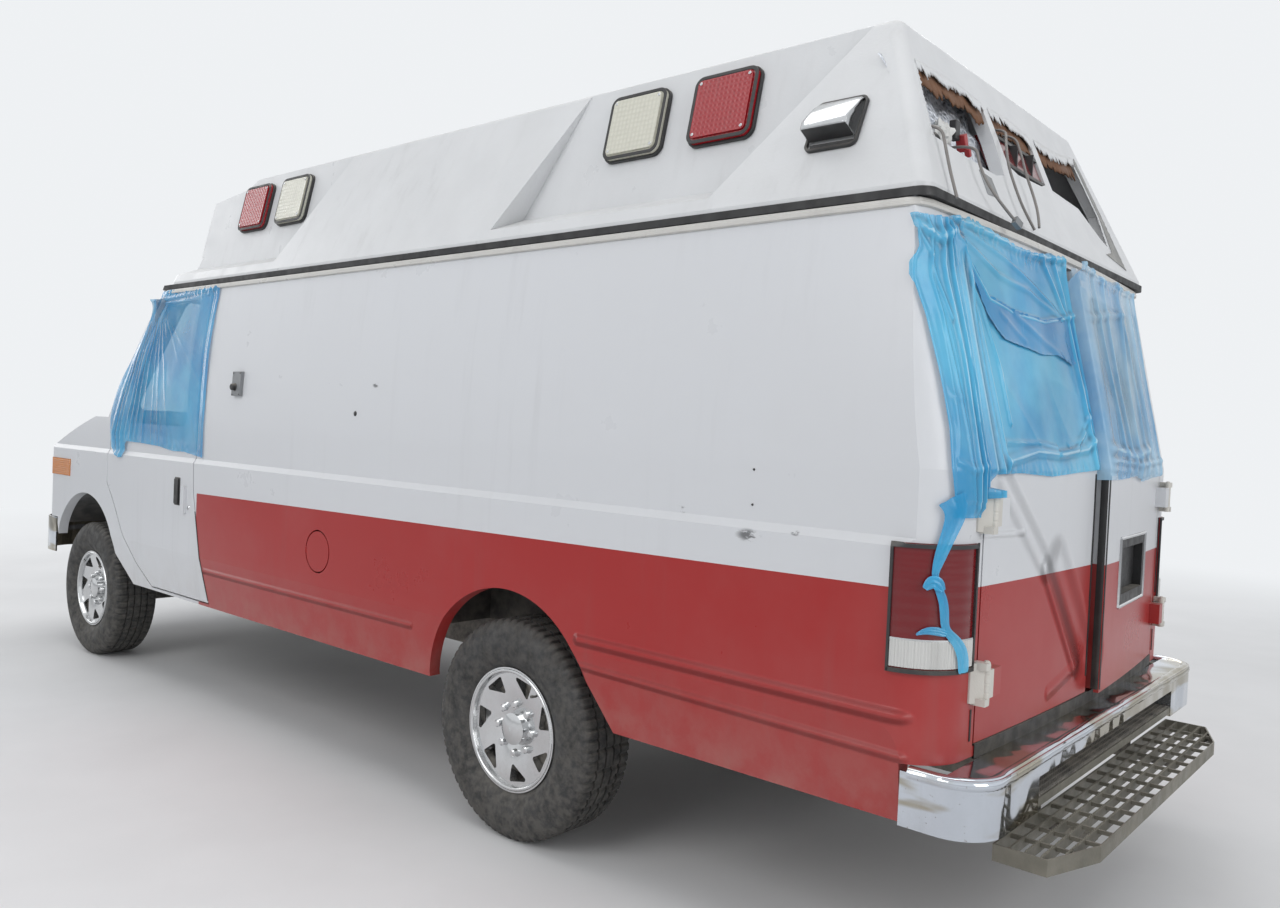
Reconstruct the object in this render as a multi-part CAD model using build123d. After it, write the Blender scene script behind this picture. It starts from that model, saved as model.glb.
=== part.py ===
from build123d import *
from math import atan2, cos, radians, sin, tan
import os

# A long van-bodied ambulance with a raised moulded roof, in millimetres.
# The front faces -Y, the left side is +X, and the tyres stand on Z = 0.

# Overall lengths and the axles.
LENGTH = 6010.0
WHEELBASE = 3505.0
FRONT_OVERHANG = 727.0
FRONT_AXLE_Y = -LENGTH / 2 + FRONT_OVERHANG
REAR_AXLE_Y = FRONT_AXLE_Y + WHEELBASE

# Wheels and tyres, with the tyre drawn at its loaded radius.
TYRE_R = 370.0
TYRE_WIDTH = 240.0
TYRE_BEAD_R = 208.3
TYRE_SHOULDER = 26.0
RIM_R = 208.0
RIM_WIDTH = 196.0
RIM_WALL = 9.0
WHEEL_FACE_X = 62.0
WHEEL_FACE_THICKNESS = 10.0
COVER_R = 206.0
COVER_SLOTS = 7
COVER_SLOT_OUT_R = 180.0
COVER_SLOT_IN_R = 118.0
COVER_SLOT_ANGLE = 15.0
COVER_SLOT_FILLET = 7.0
COVER_SLOT_CUT = 60.0
LUG_COUNT = 8
LUG_PCD = 165.1
LUG_R = 12.5
LUG_HEIGHT = 24.0
HUB_CAP_R = 55.0
HUB_CAP_HEIGHT = 34.0
HUB_CAP_DOME = 9.0
SPINDLE_R = 28.0
RUNNING_FIT = 0.05

# Body walls and their cross-section.
HALF_WIDTH = 1005.0
TURN_UNDER = 27.0
SILL_HALF_WIDTH = HALF_WIDTH - TURN_UNDER
SILL_Z = 470.0
WALL = 50.0
TURN_UNDER_Z = 700.0
LOWER_CREASE_Z = 1140.0
CREASE_STEP = 13.0
CREASE_STEP_HEIGHT = 22.0
UPPER_CREASE_Z = 1320.0
TUMBLEHOME = 75.0
GUTTER_HALF_WIDTH = HALF_WIDTH - TUMBLEHOME
GUTTER_Z = 2000.0
SIDE_BULGE = 14.0
FRONT_TRACK = 2 * (HALF_WIDTH - 140)
REAR_TRACK = 2 * (HALF_WIDTH - 135)
PANEL_GAP = 7.0
SEAT_GAP = 0.3
HINGE_PIN_R = PANEL_GAP / 2 - SEAT_GAP
DOOR_SKIN = 15.0
DOOR_CORE_INSET = 8.0

# Nose, bonnet and windscreen.
NOSE_SETBACK = 80.0
NOSE_Y = -LENGTH / 2 + NOSE_SETBACK
NOSE_CORNER_R = 250.0
NOSE_TOP_Z = 1120.0
BONNET_MID_Z = 1238.0
COWL_BEHIND_AXLE = 63.0
COWL_Y = FRONT_AXLE_Y + COWL_BEHIND_AXLE
COWL_Z = 1335.0
BONNET_MID_Y = (NOSE_Y + COWL_Y) / 2 + 10
COWL_LIP = 4.0
SCREEN_SLOPE = 0.768
SCREEN_SWEEP = 140.0
SCREEN_HALF_WIDTH = HALF_WIDTH - 105
SCREEN_GLASS = 8.0

# Rear of the body, upright below the belt and leaning forward above it.
REAR_SETBACK = 265.0
REAR_Y = LENGTH / 2 - REAR_SETBACK
REAR_CROWN = 25.0
REAR_CORNER_R = 145.0
REAR_BELT_Z = 1330.0
REAR_LEAN = 0.215
REAR_PANEL_Y = REAR_Y - 200

# Cab doors.
DOOR_BEHIND_AXLE = 273.0
DOOR_LENGTH = 1015.0
DOOR_FRONT_Y = FRONT_AXLE_Y + DOOR_BEHIND_AXLE
DOOR_REAR_TOP_Y = DOOR_FRONT_Y + DOOR_LENGTH
DOOR_REAR_BELT_Y = DOOR_REAR_TOP_Y - 35
DOOR_REAR_LOW_Y = DOOR_REAR_TOP_Y + 110
DOOR_TOP_FRONT_Y = DOOR_FRONT_Y + 535
DOOR_LOW_Z = 490.0
DOOR_TOP_Z = 1972.0
DOOR_BELT_Z = 1310.0
WINDOW_TOP_Z = 1930.0

# Rear doors, hung on proud hinges.
REAR_DOOR_HALF_WIDTH = HALF_WIDTH - 205
REAR_DOOR_LOW_Z = 650.0
REAR_DOOR_TOP_Z = 1955.0
REAR_HINGE_X = REAR_DOOR_HALF_WIDTH + 12
REAR_HINGE_Y = REAR_Y + 32
REAR_HINGE_R = 9.0
REAR_HINGE_HEIGHT = 70.0
REAR_HINGE_Z = (807.0, 1230.0)
REAR_HINGE_CAP = 18.0
REAR_DOOR_AJAR = 2.5
REAR_WINDOW_LOW_Z = 1400.0
REAR_WINDOW_TOP_Z = 1880.0
REAR_WINDOW_MARGIN = 105.0

# Side cargo doors on the right.
SIDE_DOOR_LENGTH = 1200.0
SIDE_DOOR_FRONT_Y = DOOR_REAR_TOP_Y + 210
SIDE_DOOR_SPLIT_Y = SIDE_DOOR_FRONT_Y + SIDE_DOOR_LENGTH / 2
SIDE_DOOR_REAR_Y = SIDE_DOOR_FRONT_Y + SIDE_DOOR_LENGTH
SIDE_DOOR_LOW_Z = 520.0
SIDE_DOOR_TOP_Z = 1930.0
SIDE_SPLIT_GAP = 9.0

# Raised roof: skirt, sloping sides, a lower front step and a leaning rear.
ROOF_FLANGE_Z = 2035.0
ROOF_TOP_Z = 2560.0
ROOF_BASE_HALF_WIDTH = GUTTER_HALF_WIDTH + 4
ROOF_TOP_HALF_WIDTH = ROOF_BASE_HALF_WIDTH - 239
ROOF_FRONT_Y = COWL_Y + 735
ROOF_REAR_BASE_Y = REAR_Y - 128
ROOF_REAR_TOP_Y = ROOF_REAR_BASE_Y - 221
ROOF_WALL = 34.0
ROOF_EDGE_R = 42.0
ROOF_STEP_FRONT_Z = ROOF_TOP_Z - 120
ROOF_STEP_REAR_Z = ROOF_TOP_Z - 48
ROOF_STEP_Y = ROOF_FRONT_Y + 330
ROOF_STEP_END_Y = ROOF_STEP_Y + 100
ROOF_VISOR_Y = ROOF_FRONT_Y - 245
ROOF_VISOR_TOP_Z = ROOF_FLANGE_Z + 105
SEAM_HEIGHT = 22.0

# Steeper lamp panels let into the roof sides.
LAMP_PANEL_LOW_Z = ROOF_FLANGE_Z + 90
LAMP_PANEL_LOW_X = ROOF_TOP_HALF_WIDTH + 95
LAMP_PANEL_SILL_Z = ROOF_FLANGE_Z + 36

# Roof lamps: name, Y of the centre.
ROOF_LAMPS = (
    ("red", ROOF_FRONT_Y + 487),
    ("clear", ROOF_FRONT_Y + 833),
    ("clear", ROOF_REAR_BASE_Y - 1131),
    ("red", ROOF_REAR_BASE_Y - 774),
)
ROOF_LAMP_Z = ROOF_TOP_Z - 168
ROOF_LAMP_WIDTH = 236.0
ROOF_LAMP_HEIGHT = 222.0
ROOF_LAMP_DEPTH = 24.0
ROOF_LAMP_CORNER_R = 30.0
ROOF_LAMP_LENS_INSET = 15.0
ROOF_LAMP_LENS_RISE = 8.0
SCENE_LAMP_Y = ROOF_REAR_BASE_Y - 316
SCENE_LAMP_Z = ROOF_FLANGE_Z + 205
SCENE_LAMP_WIDTH = 152.0
SCENE_LAMP_HEIGHT = 158.0
SCENE_LAMP_TOP_DEPTH = 14.0
SCENE_LAMP_DEPTH = 62.0
SCENE_LAMP_PLATE = 7.0

# Chassis.
RAIL_X = 430.0
RAIL_WIDTH = 70.0
RAIL_HEIGHT = 145.0
RAIL_LOW_Z = 450.0
FLOOR_Z = 650.0
FLOOR_THICKNESS = 30.0

# Steering.
KINGPIN_X = FRONT_TRACK / 2 - 65
KINGPIN_R = 20.0

# Rear bumper and step.
BUMPER_FACE_Y = REAR_Y + 118
BUMPER_HALF_WIDTH = HALF_WIDTH - 5
BUMPER_LOW_Z = 470.0
BUMPER_TOP_Z = 612.0
BUMPER_WALL = 8.0
BUMPER_CORNER_R = 120.0
BUMPER_RECESS_HALF_WIDTH = BUMPER_HALF_WIDTH - 350
BUMPER_RECESS_DEPTH = 62.0
STEP_HALF_WIDTH = BUMPER_HALF_WIDTH - 190
STEP_INNER_Y = BUMPER_FACE_Y - 50
STEP_Z = 420.0
STEP_DEPTH = 42.0
STEP_PLATE = 4.0
STEP_CHAMFER_X = 190.0
STEP_CHAMFER_Y = 65.0
BAR_PITCH = 38.0
CROSS_BAR_PITCH = 100.0


def box(x0, x1, y0, y1, z0, z1):
    """Box between two corners."""
    centre = Pos((x0 + x1) / 2, (y0 + y1) / 2, (z0 + z1) / 2)
    return centre * Box(abs(x1 - x0), abs(y1 - y0), abs(z1 - z0))


def prism_x(outline, x0, x1):
    """Outline in Y and Z, drawn out along X."""
    return extrude(Plane.YZ.offset(x0) * outline, x1 - x0)


def prism_y(outline, y0, y1):
    """Outline in X and Z, drawn out along Y."""
    return extrude(Plane.XZ.offset(-y1) * outline, y1 - y0)


def prism_z(outline, z0, z1):
    """Outline in X and Y, drawn out along Z."""
    return extrude(Plane.XY.offset(z0) * outline, z1 - z0)


def polygon(*points):
    """Face with straight edges through the points."""
    return make_face(Polyline(*points, close=True))


def rod(x, y, z, radius, length, direction):
    """Cylinder about a centre, along a direction."""
    return Plane((x, y, z), z_dir=direction) * Cylinder(radius, length)


def grown(outline, amount):
    """Outline moved outwards by an amount, with sharp corners."""
    return offset(outline, amount=amount, kind=Kind.INTERSECTION)


def mirrored(shape):
    """The same shape on the other side of the vehicle."""
    return mirror(shape, about=Plane.YZ)


def save(node, shape):
    """One STEP file for each node."""
    export_step(shape, f"parts/{node}.step")


def body_section(inset):
    """Cross-section of the body in X and Z, moved inwards by the inset."""
    low = SILL_Z if inset <= 0 else SILL_Z - WALL
    top = GUTTER_Z + WALL + 10 - inset
    waist = HALF_WIDTH - inset
    upper = waist - CREASE_STEP
    gutter = GUTTER_HALF_WIDTH - inset
    mid_x = (upper + gutter) / 2 + SIDE_BULGE
    mid_z = (UPPER_CREASE_Z + GUTTER_Z) / 2
    lines = [
        Line((0, low), (SILL_HALF_WIDTH - inset, low)),
        Line((SILL_HALF_WIDTH - inset, low), (waist, TURN_UNDER_Z)),
        Line((waist, TURN_UNDER_Z), (waist, LOWER_CREASE_Z)),
        Line((waist, LOWER_CREASE_Z), (upper, LOWER_CREASE_Z + CREASE_STEP_HEIGHT)),
        Line((upper, LOWER_CREASE_Z + CREASE_STEP_HEIGHT), (upper, UPPER_CREASE_Z)),
        ThreePointArc((upper, UPPER_CREASE_Z), (mid_x, mid_z), (gutter, GUTTER_Z)),
        Line((gutter, GUTTER_Z), (gutter - 8, top)),
        Line((gutter - 8, top), (0, top)),
        Line((0, top), (0, low)),
    ]
    half = make_face(lines)
    return half + mirror(half, about=Plane.YZ)


def body_plan(inset):
    """Plan of the body in X and Y: rounded nose, rounded rear corners, crowned rear."""
    side = HALF_WIDTH + 40 - inset
    front = NOSE_Y + inset
    nose_r = NOSE_CORNER_R + 40 - inset
    corner_r = REAR_CORNER_R - inset
    edge = HALF_WIDTH - inset
    rear = REAR_Y - inset
    lines = [
        Line((0, front), (side - nose_r, front)),
        RadiusArc((side - nose_r, front), (side, front + nose_r), -nose_r),
        Line((side, front + nose_r), (side, rear - corner_r - 60)),
        Line((side, rear - corner_r - 60), (edge, rear - corner_r - 20)),
        Line((edge, rear - corner_r - 20), (edge, rear - corner_r)),
        RadiusArc((edge, rear - corner_r), (edge - corner_r, rear), -corner_r),
        ThreePointArc((edge - corner_r, rear), (0, rear + REAR_CROWN), (corner_r - edge, rear)),
    ]
    left = lines[:6]
    right = [mirror(line, about=Plane.YZ) for line in left]
    return make_face([*left, lines[6], *right])


def screen_region(shift):
    """Everything ahead of the windscreen's face, moved back by the shift."""
    y = COWL_Y + shift
    wide = SCREEN_HALF_WIDTH + 300
    rise = ROOF_FLANGE_Z + 150 - COWL_Z
    side_y = y + SCREEN_SWEEP * (wide / SCREEN_HALF_WIDTH) ** 2
    lines = [
        ThreePointArc((-wide, side_y), (0, y), (wide, side_y)),
        Line((wide, side_y), (wide, NOSE_Y - 1500)),
        Line((wide, NOSE_Y - 1500), (-wide, NOSE_Y - 1500)),
        Line((-wide, NOSE_Y - 1500), (-wide, side_y)),
    ]
    face = Plane.XY.offset(COWL_Z) * make_face(lines)
    slant = Vector(0, SCREEN_SLOPE, 1)
    return extrude(face, rise * slant.length, dir=slant.normalized())


def bonnet_region(drop):
    """What lies above the bonnet's face and below the foot of the windscreen."""
    lines = [
        Line((NOSE_Y - 50, NOSE_TOP_Z - 8 - drop), (NOSE_Y + 45, NOSE_TOP_Z - drop)),
        ThreePointArc(
            (NOSE_Y + 45, NOSE_TOP_Z - drop),
            (BONNET_MID_Y, BONNET_MID_Z - drop),
            (COWL_Y, COWL_Z - drop),
        ),
        Line((COWL_Y, COWL_Z - drop), (COWL_Y + 300, COWL_Z + 30 - drop)),
        Line((COWL_Y + 300, COWL_Z + 30 - drop), (COWL_Y + 300, COWL_Z + 400)),
        Line((COWL_Y + 300, COWL_Z + 400), (NOSE_Y - 50, COWL_Z + 400)),
        Line((NOSE_Y - 50, COWL_Z + 400), (NOSE_Y - 50, NOSE_TOP_Z - 8 - drop)),
    ]
    ahead = prism_x(make_face(lines), -HALF_WIDTH - 60, HALF_WIDTH + 60)
    cowl_back = DOOR_FRONT_Y - PANEL_GAP if drop > 0 else COWL_Y - COWL_LIP
    return ahead & box(-HALF_WIDTH - 60, HALF_WIDTH + 60, -LENGTH / 2 - 400, cowl_back, 900, COWL_Z)


def envelope(inset):
    """Solid body outline moved inwards by the inset, before any opening."""
    length = LENGTH + 400
    solid = prism_y(body_section(inset), -length / 2, length / 2)
    plan = body_plan(inset)
    lower = prism_z(plan, SILL_Z - 100, REAR_BELT_Z)
    rise = GUTTER_Z + 120 - REAR_BELT_Z
    slant = Vector(0, -REAR_LEAN, 1)
    upper = extrude(Plane.XY.offset(REAR_BELT_Z) * plan, rise * slant.length, dir=slant.normalized())
    solid = (solid & lower) + (solid & upper)
    solid = solid - screen_region(1.26 * inset) - bonnet_region(inset)
    return solid


OUTER = envelope(0)
INNER = envelope(WALL)
SKIN_BACK = envelope(DOOR_SKIN)
BODY_BOX = box(-HALF_WIDTH - 95, HALF_WIDTH + 95, -LENGTH / 2 - 95, LENGTH / 2 - 105, SILL_Z - 5, GUTTER_Z)
SHELL = (OUTER - INNER) & BODY_BOX
SKIN = (OUTER - SKIN_BACK) & BODY_BOX
CORE = (SKIN_BACK - INNER) & BODY_BOX


def arch(axle_y, top_z, half_width, trail):
    """Wheel arch outline in Y and Z, with a sloping trailing edge."""
    base = SILL_Z - 80
    lines = [
        Line((axle_y - half_width, base), (axle_y - half_width, TYRE_R + 120)),
        ThreePointArc(
            (axle_y - half_width, TYRE_R + 120),
            (axle_y - 0.08 * half_width, top_z),
            (axle_y + half_width * 0.86, TYRE_R + 240),
        ),
        Line((axle_y + half_width * 0.86, TYRE_R + 240), (axle_y + half_width + trail, base)),
        Line((axle_y + half_width + trail, base), (axle_y - half_width, base)),
    ]
    return make_face(lines)


FRONT_ARCH = arch(FRONT_AXLE_Y, 905.0, 440.0, 250.0)
REAR_ARCH = arch(REAR_AXLE_Y, 845.0, 425.0, 110.0)

CAB_DOOR = polygon(
    (DOOR_FRONT_Y, 985),
    (DOOR_FRONT_Y, DOOR_BELT_Z + 30),
    (DOOR_FRONT_Y + 100, DOOR_BELT_Z + 90),
    (DOOR_TOP_FRONT_Y, DOOR_TOP_Z),
    (DOOR_REAR_TOP_Y, DOOR_TOP_Z),
    (DOOR_REAR_BELT_Y, 1200),
    (DOOR_REAR_BELT_Y + 12, 1000),
    (DOOR_REAR_LOW_Y, DOOR_LOW_Z),
    (DOOR_FRONT_Y + 525, DOOR_LOW_Z),
    (DOOR_FRONT_Y + 365, DOOR_LOW_Z + 100),
    (DOOR_FRONT_Y + 205, DOOR_LOW_Z + 245),
    (DOOR_FRONT_Y + 95, DOOR_LOW_Z + 390),
)
CAB_WINDOW = polygon(
    (DOOR_FRONT_Y + 175, DOOR_BELT_Z),
    (DOOR_TOP_FRONT_Y - 5, WINDOW_TOP_Z),
    (DOOR_REAR_TOP_Y - 130, WINDOW_TOP_Z),
    (DOOR_REAR_BELT_Y - 110, DOOR_BELT_Z),
)
CAB_WINDOW = fillet(CAB_WINDOW.vertices(), 34)


def both(shape):
    """A shape together with its mirror image."""
    return shape + mirrored(shape)


# Doorways are the door outlines grown by the panel gap.
CAB_DOORWAY = grown(CAB_DOOR, PANEL_GAP)
SIDE_DOORWAY = polygon(
    (SIDE_DOOR_FRONT_Y, SIDE_DOOR_LOW_Z),
    (SIDE_DOOR_FRONT_Y, SIDE_DOOR_TOP_Z),
    (SIDE_DOOR_REAR_Y, SIDE_DOOR_TOP_Z),
    (SIDE_DOOR_REAR_Y, SIDE_DOOR_LOW_Z),
)
OUT = HALF_WIDTH + 100


# Body sides, from the cab doorway to the rear corner.
FUEL_Y = DOOR_REAR_TOP_Y + 1067
FUEL_Z = 842.0
FUEL_R = 82.0
FUEL_FLAP = 12.0
FUEL_CUP_DEPTH = 34.0
FUEL_GAP = 6.0
PIN_LOW_Z = 1000.0
PIN_TOP_Z = 1130.0
side_region = box(0, OUT, DOOR_REAR_TOP_Y - 60, REAR_PANEL_Y, SILL_Z - 5, GUTTER_Z)
HINGE_WEB = 1.5


def pin_z(x, y, z0, z1, toward_x, toward_y):
    """Upright hinge pin with a web that joins it to the panel beside it."""
    pin = rod(x, y, (z0 + z1) / 2, HINGE_PIN_R, z1 - z0, (0, 0, 1))
    web_x = x + toward_x * (HINGE_PIN_R + HINGE_WEB + 4)
    web_y = y + toward_y * (PANEL_GAP / 2 + 3)
    web = box(min(x - 2, web_x), max(x - 1, web_x), min(y, web_y), max(y, web_y), z0, z1)
    return pin + web


plain_side = (SHELL & side_region) - prism_x(CAB_DOORWAY, 0, OUT) - prism_x(REAR_ARCH, 0, OUT)
fuel_cup = rod(
    HALF_WIDTH - FUEL_CUP_DEPTH / 2 + 4, FUEL_Y, FUEL_Z, FUEL_R + FUEL_GAP, FUEL_CUP_DEPTH + 8, (1, 0, 0)
)
FUEL_HINGE_Y = FUEL_Y - FUEL_R - HINGE_PIN_R - SEAT_GAP
fuel_pin = rod(HALF_WIDTH, FUEL_HINGE_Y, FUEL_Z, HINGE_PIN_R, 24, (0, 0, 1))
fuel_pin = fuel_pin + box(
    HALF_WIDTH - 8, HALF_WIDTH, FUEL_HINGE_Y - 6, FUEL_HINGE_Y, FUEL_Z - 12, FUEL_Z + 12
)
save("left_side_panel", (plain_side - fuel_cup) + fuel_pin)
right_side = mirrored(plain_side) - prism_x(SIDE_DOORWAY, -OUT, 0)
for pin_y, toward in ((SIDE_DOOR_FRONT_Y + PANEL_GAP / 2, -1), (SIDE_DOOR_REAR_Y - PANEL_GAP / 2, 1)):
    right_side = right_side + mirrored(pin_z(HALF_WIDTH, pin_y, PIN_LOW_Z, PIN_TOP_Z, -1, toward))
save("right_side_panel", right_side)

# Fuel flap: a round disc with its hinge pin at the front edge.
flap = rod(HALF_WIDTH - FUEL_FLAP / 2, FUEL_Y, FUEL_Z, FUEL_R, FUEL_FLAP, (1, 0, 0))
save("fuel_flap", flap)

# Side cargo doors on the right, front leaf and rear leaf.
LEAVES = (
    ("side_door_front", SIDE_DOOR_FRONT_Y, SIDE_DOOR_SPLIT_Y),
    ("side_door_rear", SIDE_DOOR_SPLIT_Y, SIDE_DOOR_REAR_Y),
)
for node, front, rear in LEAVES:
    half_gap = SIDE_SPLIT_GAP / 2
    leaf_front = front + (PANEL_GAP if front == SIDE_DOOR_FRONT_Y else half_gap)
    leaf_rear = rear - (PANEL_GAP if rear == SIDE_DOOR_REAR_Y else half_gap)
    low = SIDE_DOOR_LOW_Z + PANEL_GAP
    top = SIDE_DOOR_TOP_Z - PANEL_GAP
    inset = DOOR_CORE_INSET
    skin = SKIN & box(-OUT, 0, leaf_front, leaf_rear, low, top)
    core = CORE & box(-OUT, 0, leaf_front + inset, leaf_rear - inset, low + inset, top - inset)
    save(node, skin + core)

# Cab doors.
HANDLE_Y = DOOR_REAR_TOP_Y - 105
HANDLE_Z = 962.0
HANDLE_LENGTH = 135.0
HANDLE_WIDTH = 34.0
HANDLE_STAND = 15.0
cab_door = SKIN & prism_x(CAB_DOOR, 0, OUT)
cab_door = cab_door + (CORE & prism_x(grown(CAB_DOOR, -DOOR_CORE_INSET), 0, OUT))
cab_door = cab_door - prism_x(CAB_WINDOW, 0, OUT)
handle = box(
    HALF_WIDTH - 6,
    HALF_WIDTH + HANDLE_STAND,
    HANDLE_Y - HANDLE_WIDTH / 2,
    HANDLE_Y + HANDLE_WIDTH / 2,
    HANDLE_Z - HANDLE_LENGTH / 2,
    HANDLE_Z + HANDLE_LENGTH / 2,
)
cab_door = cab_door + handle
save("cab_door_left", cab_door)
save("cab_door_right", mirrored(cab_door))
pane_band = envelope(18) - envelope(24)
PANE_GAP = 0.3
pane = pane_band & prism_x(grown(CAB_WINDOW, -PANE_GAP), 0, OUT)
save("cab_glass_right", mirrored(pane))

# Front wings with the nose panel and sills.
BONNET_REAR_HALF = HALF_WIDTH - 215
BONNET_PLAN = polygon(
    (-BONNET_REAR_HALF, COWL_Y - 25),
    (BONNET_REAR_HALF, COWL_Y - 25),
    (BONNET_REAR_HALF - 20, NOSE_Y + 200),
    (BONNET_REAR_HALF - 90, NOSE_Y - 40),
    (90 - BONNET_REAR_HALF, NOSE_Y - 40),
    (20 - BONNET_REAR_HALF, NOSE_Y + 200),
)
BONNET_LOW_Z = 1075.0
NOSE_OPEN_Z = 736.0
NOSE_OPEN_Y = NOSE_Y + 235
GRILLE_HALF_WIDTH = HALF_WIDTH - 585
GRILLE_LOW_Z = 700.0
GRILLE_TOP_Z = 1062.0
HEADLAMP_INNER_X = GRILLE_HALF_WIDTH + 12
HEADLAMP_OUTER_X = HALF_WIDTH - 245
HEADLAMP_LOW_Z = 820.0
CORNER_LAMP_INNER_X = HEADLAMP_OUTER_X + 12
CORNER_LAMP_REAR_Y = NOSE_Y + 405
CORNER_LAMP_LOW_Z = 985.0
LINER_INNER_X = HALF_WIDTH - 445
LINER_OUTER_X = HALF_WIDTH - WALL - SEAT_GAP
LINER_WALL = 6.0
LINER_LOW_Z = 706.0
front_region = box(-OUT, OUT, -LENGTH / 2, DOOR_REAR_TOP_Y - 60, SILL_Z - 5, COWL_Z + 5)
wings = SHELL & front_region
wings = wings - prism_x(CAB_DOORWAY, -OUT, OUT) - prism_x(FRONT_ARCH, -OUT, OUT)
wings = wings - prism_z(grown(BONNET_PLAN, PANEL_GAP), BONNET_LOW_Z - PANEL_GAP, COWL_Z + 200)
wings = wings - box(-OUT, OUT, -LENGTH / 2, NOSE_OPEN_Y, SILL_Z - 5, NOSE_OPEN_Z)
for side in (-1, 1):
    pin = pin_z(HALF_WIDTH, DOOR_FRONT_Y - PANEL_GAP / 2, PIN_LOW_Z, PIN_TOP_Z, -1, -1)
    wings = wings + (pin if side > 0 else mirrored(pin))
BONNET_HINGE_Y = COWL_Y - 25 + PANEL_GAP / 2
BONNET_HINGE_Z = COWL_Z - 3
BONNET_PIN_R = 4.3
BONNET_PIN_HALF = BONNET_REAR_HALF - 90
bonnet_pin = rod(0, BONNET_HINGE_Y, BONNET_HINGE_Z, BONNET_PIN_R, 2 * BONNET_PIN_HALF, (1, 0, 0))
bonnet_pin = bonnet_pin + box(
    -BONNET_PIN_HALF, BONNET_PIN_HALF, BONNET_HINGE_Y, BONNET_HINGE_Y + PANEL_GAP, BONNET_HINGE_Z - 10, BONNET_HINGE_Z - 1
)
wings = wings + bonnet_pin
wings = wings - box(
    -GRILLE_HALF_WIDTH, GRILLE_HALF_WIDTH, NOSE_Y - 50, NOSE_Y + 120, GRILLE_LOW_Z, GRILLE_TOP_Z
)
headlamp_box = box(
    HEADLAMP_INNER_X, HEADLAMP_OUTER_X, NOSE_Y - 60, NOSE_Y + 140, HEADLAMP_LOW_Z, GRILLE_TOP_Z
)
corner_box = box(
    CORNER_LAMP_INNER_X, OUT, NOSE_Y - 60, CORNER_LAMP_REAR_Y, CORNER_LAMP_LOW_Z, GRILLE_TOP_Z + 20
)
wings = wings - both(headlamp_box) - both(corner_box)
liner = prism_x(grown(FRONT_ARCH, LINER_WALL), LINER_INNER_X, LINER_OUTER_X)
liner = liner - prism_x(FRONT_ARCH, LINER_INNER_X + LINER_WALL, LINER_OUTER_X + 50)
liner = liner & box(0, OUT, -LENGTH / 2, FRONT_AXLE_Y + 1278, LINER_LOW_Z, 1000)
save("front_wings", wings)
save("wheel_liners", both(liner))
save("bonnet", SHELL & prism_z(BONNET_PLAN, BONNET_LOW_Z, COWL_Z + 100))

# Lamps in the nose.
LENS_PROUD = 4.0
LENS_DEPTH = 30.0
lens_band = envelope(-LENS_PROUD) - envelope(LENS_DEPTH)


def lens(region):
    """Lamp lens that fills an opening in the body with a fine gap all round."""
    return lens_band & region


def shrunk_box(x0, x1, y0, y1, z0, z1, gap):
    """Box drawn in by a gap on every side."""
    return box(x0 + gap, x1 - gap, y0 + gap, y1 - gap, z0 + gap, z1 - gap)


headlamp = lens(
    shrunk_box(
        HEADLAMP_INNER_X, HEADLAMP_OUTER_X, NOSE_Y - 60, NOSE_Y + 140, HEADLAMP_LOW_Z, GRILLE_TOP_Z, SEAT_GAP
    )
)
corner_lamp = lens(
    shrunk_box(
        CORNER_LAMP_INNER_X,
        OUT,
        NOSE_Y - 60,
        CORNER_LAMP_REAR_Y,
        CORNER_LAMP_LOW_Z,
        GRILLE_TOP_Z + 20,
        SEAT_GAP,
    )
)
save("headlamps", both(headlamp))
save("corner_lamps", both(corner_lamp))

# Grille: a frame with three bars and two posts.
GRILLE_DEPTH = 40.0
GRILLE_FRAME = 28.0
GRILLE_BAR = 34.0
gx = GRILLE_HALF_WIDTH - SEAT_GAP
gz0 = GRILLE_LOW_Z + SEAT_GAP
gz1 = GRILLE_TOP_Z - SEAT_GAP
grille = box(-gx, gx, NOSE_Y, NOSE_Y + GRILLE_DEPTH, gz0, gz1)
grille = grille - box(
    -gx + GRILLE_FRAME, gx - GRILLE_FRAME, NOSE_Y - 9, NOSE_Y + 99, gz0 + GRILLE_FRAME, gz1 - GRILLE_FRAME
)
for row in (1, 2, 3):
    bar_z = gz0 + (gz1 - gz0) * row / 4
    grille = grille + box(-gx, gx, NOSE_Y, NOSE_Y + GRILLE_DEPTH, bar_z - GRILLE_BAR / 2, bar_z + GRILLE_BAR / 2)
for post_x in (-gx / 3, gx / 3):
    grille = grille + box(post_x - 9, post_x + 9, NOSE_Y + 12, NOSE_Y + GRILLE_DEPTH, gz0, gz1)
save("grille", grille)

# Cab frame: windscreen pillars and header.
SCREEN_LOW_HALF = HALF_WIDTH - 137
SCREEN_TOP_HALF = HALF_WIDTH - 205
SCREEN_OPENING = polygon(
    (-SCREEN_LOW_HALF, COWL_Z + 45), (SCREEN_LOW_HALF, COWL_Z + 45), (SCREEN_TOP_HALF, GUTTER_Z - 38), (-SCREEN_TOP_HALF, GUTTER_Z - 38)
)
SCREEN_OPENING = fillet(SCREEN_OPENING.vertices(), 50)
cab_region = box(-OUT, OUT, NOSE_Y, DOOR_REAR_TOP_Y - 60, COWL_Z + 5, GUTTER_Z)
cab_frame = (SHELL & cab_region) - prism_x(CAB_DOORWAY, -OUT, OUT)
cab_frame = cab_frame - prism_y(SCREEN_OPENING, COWL_Y - 185, COWL_Y + 965)
save("cab_frame", cab_frame)
screen_band = envelope(8) - envelope(8 + SCREEN_GLASS)
screen = screen_band & prism_y(grown(SCREEN_OPENING, -PANE_GAP), COWL_Y - 185, COWL_Y + 965)
save("windscreen", screen)

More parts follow.
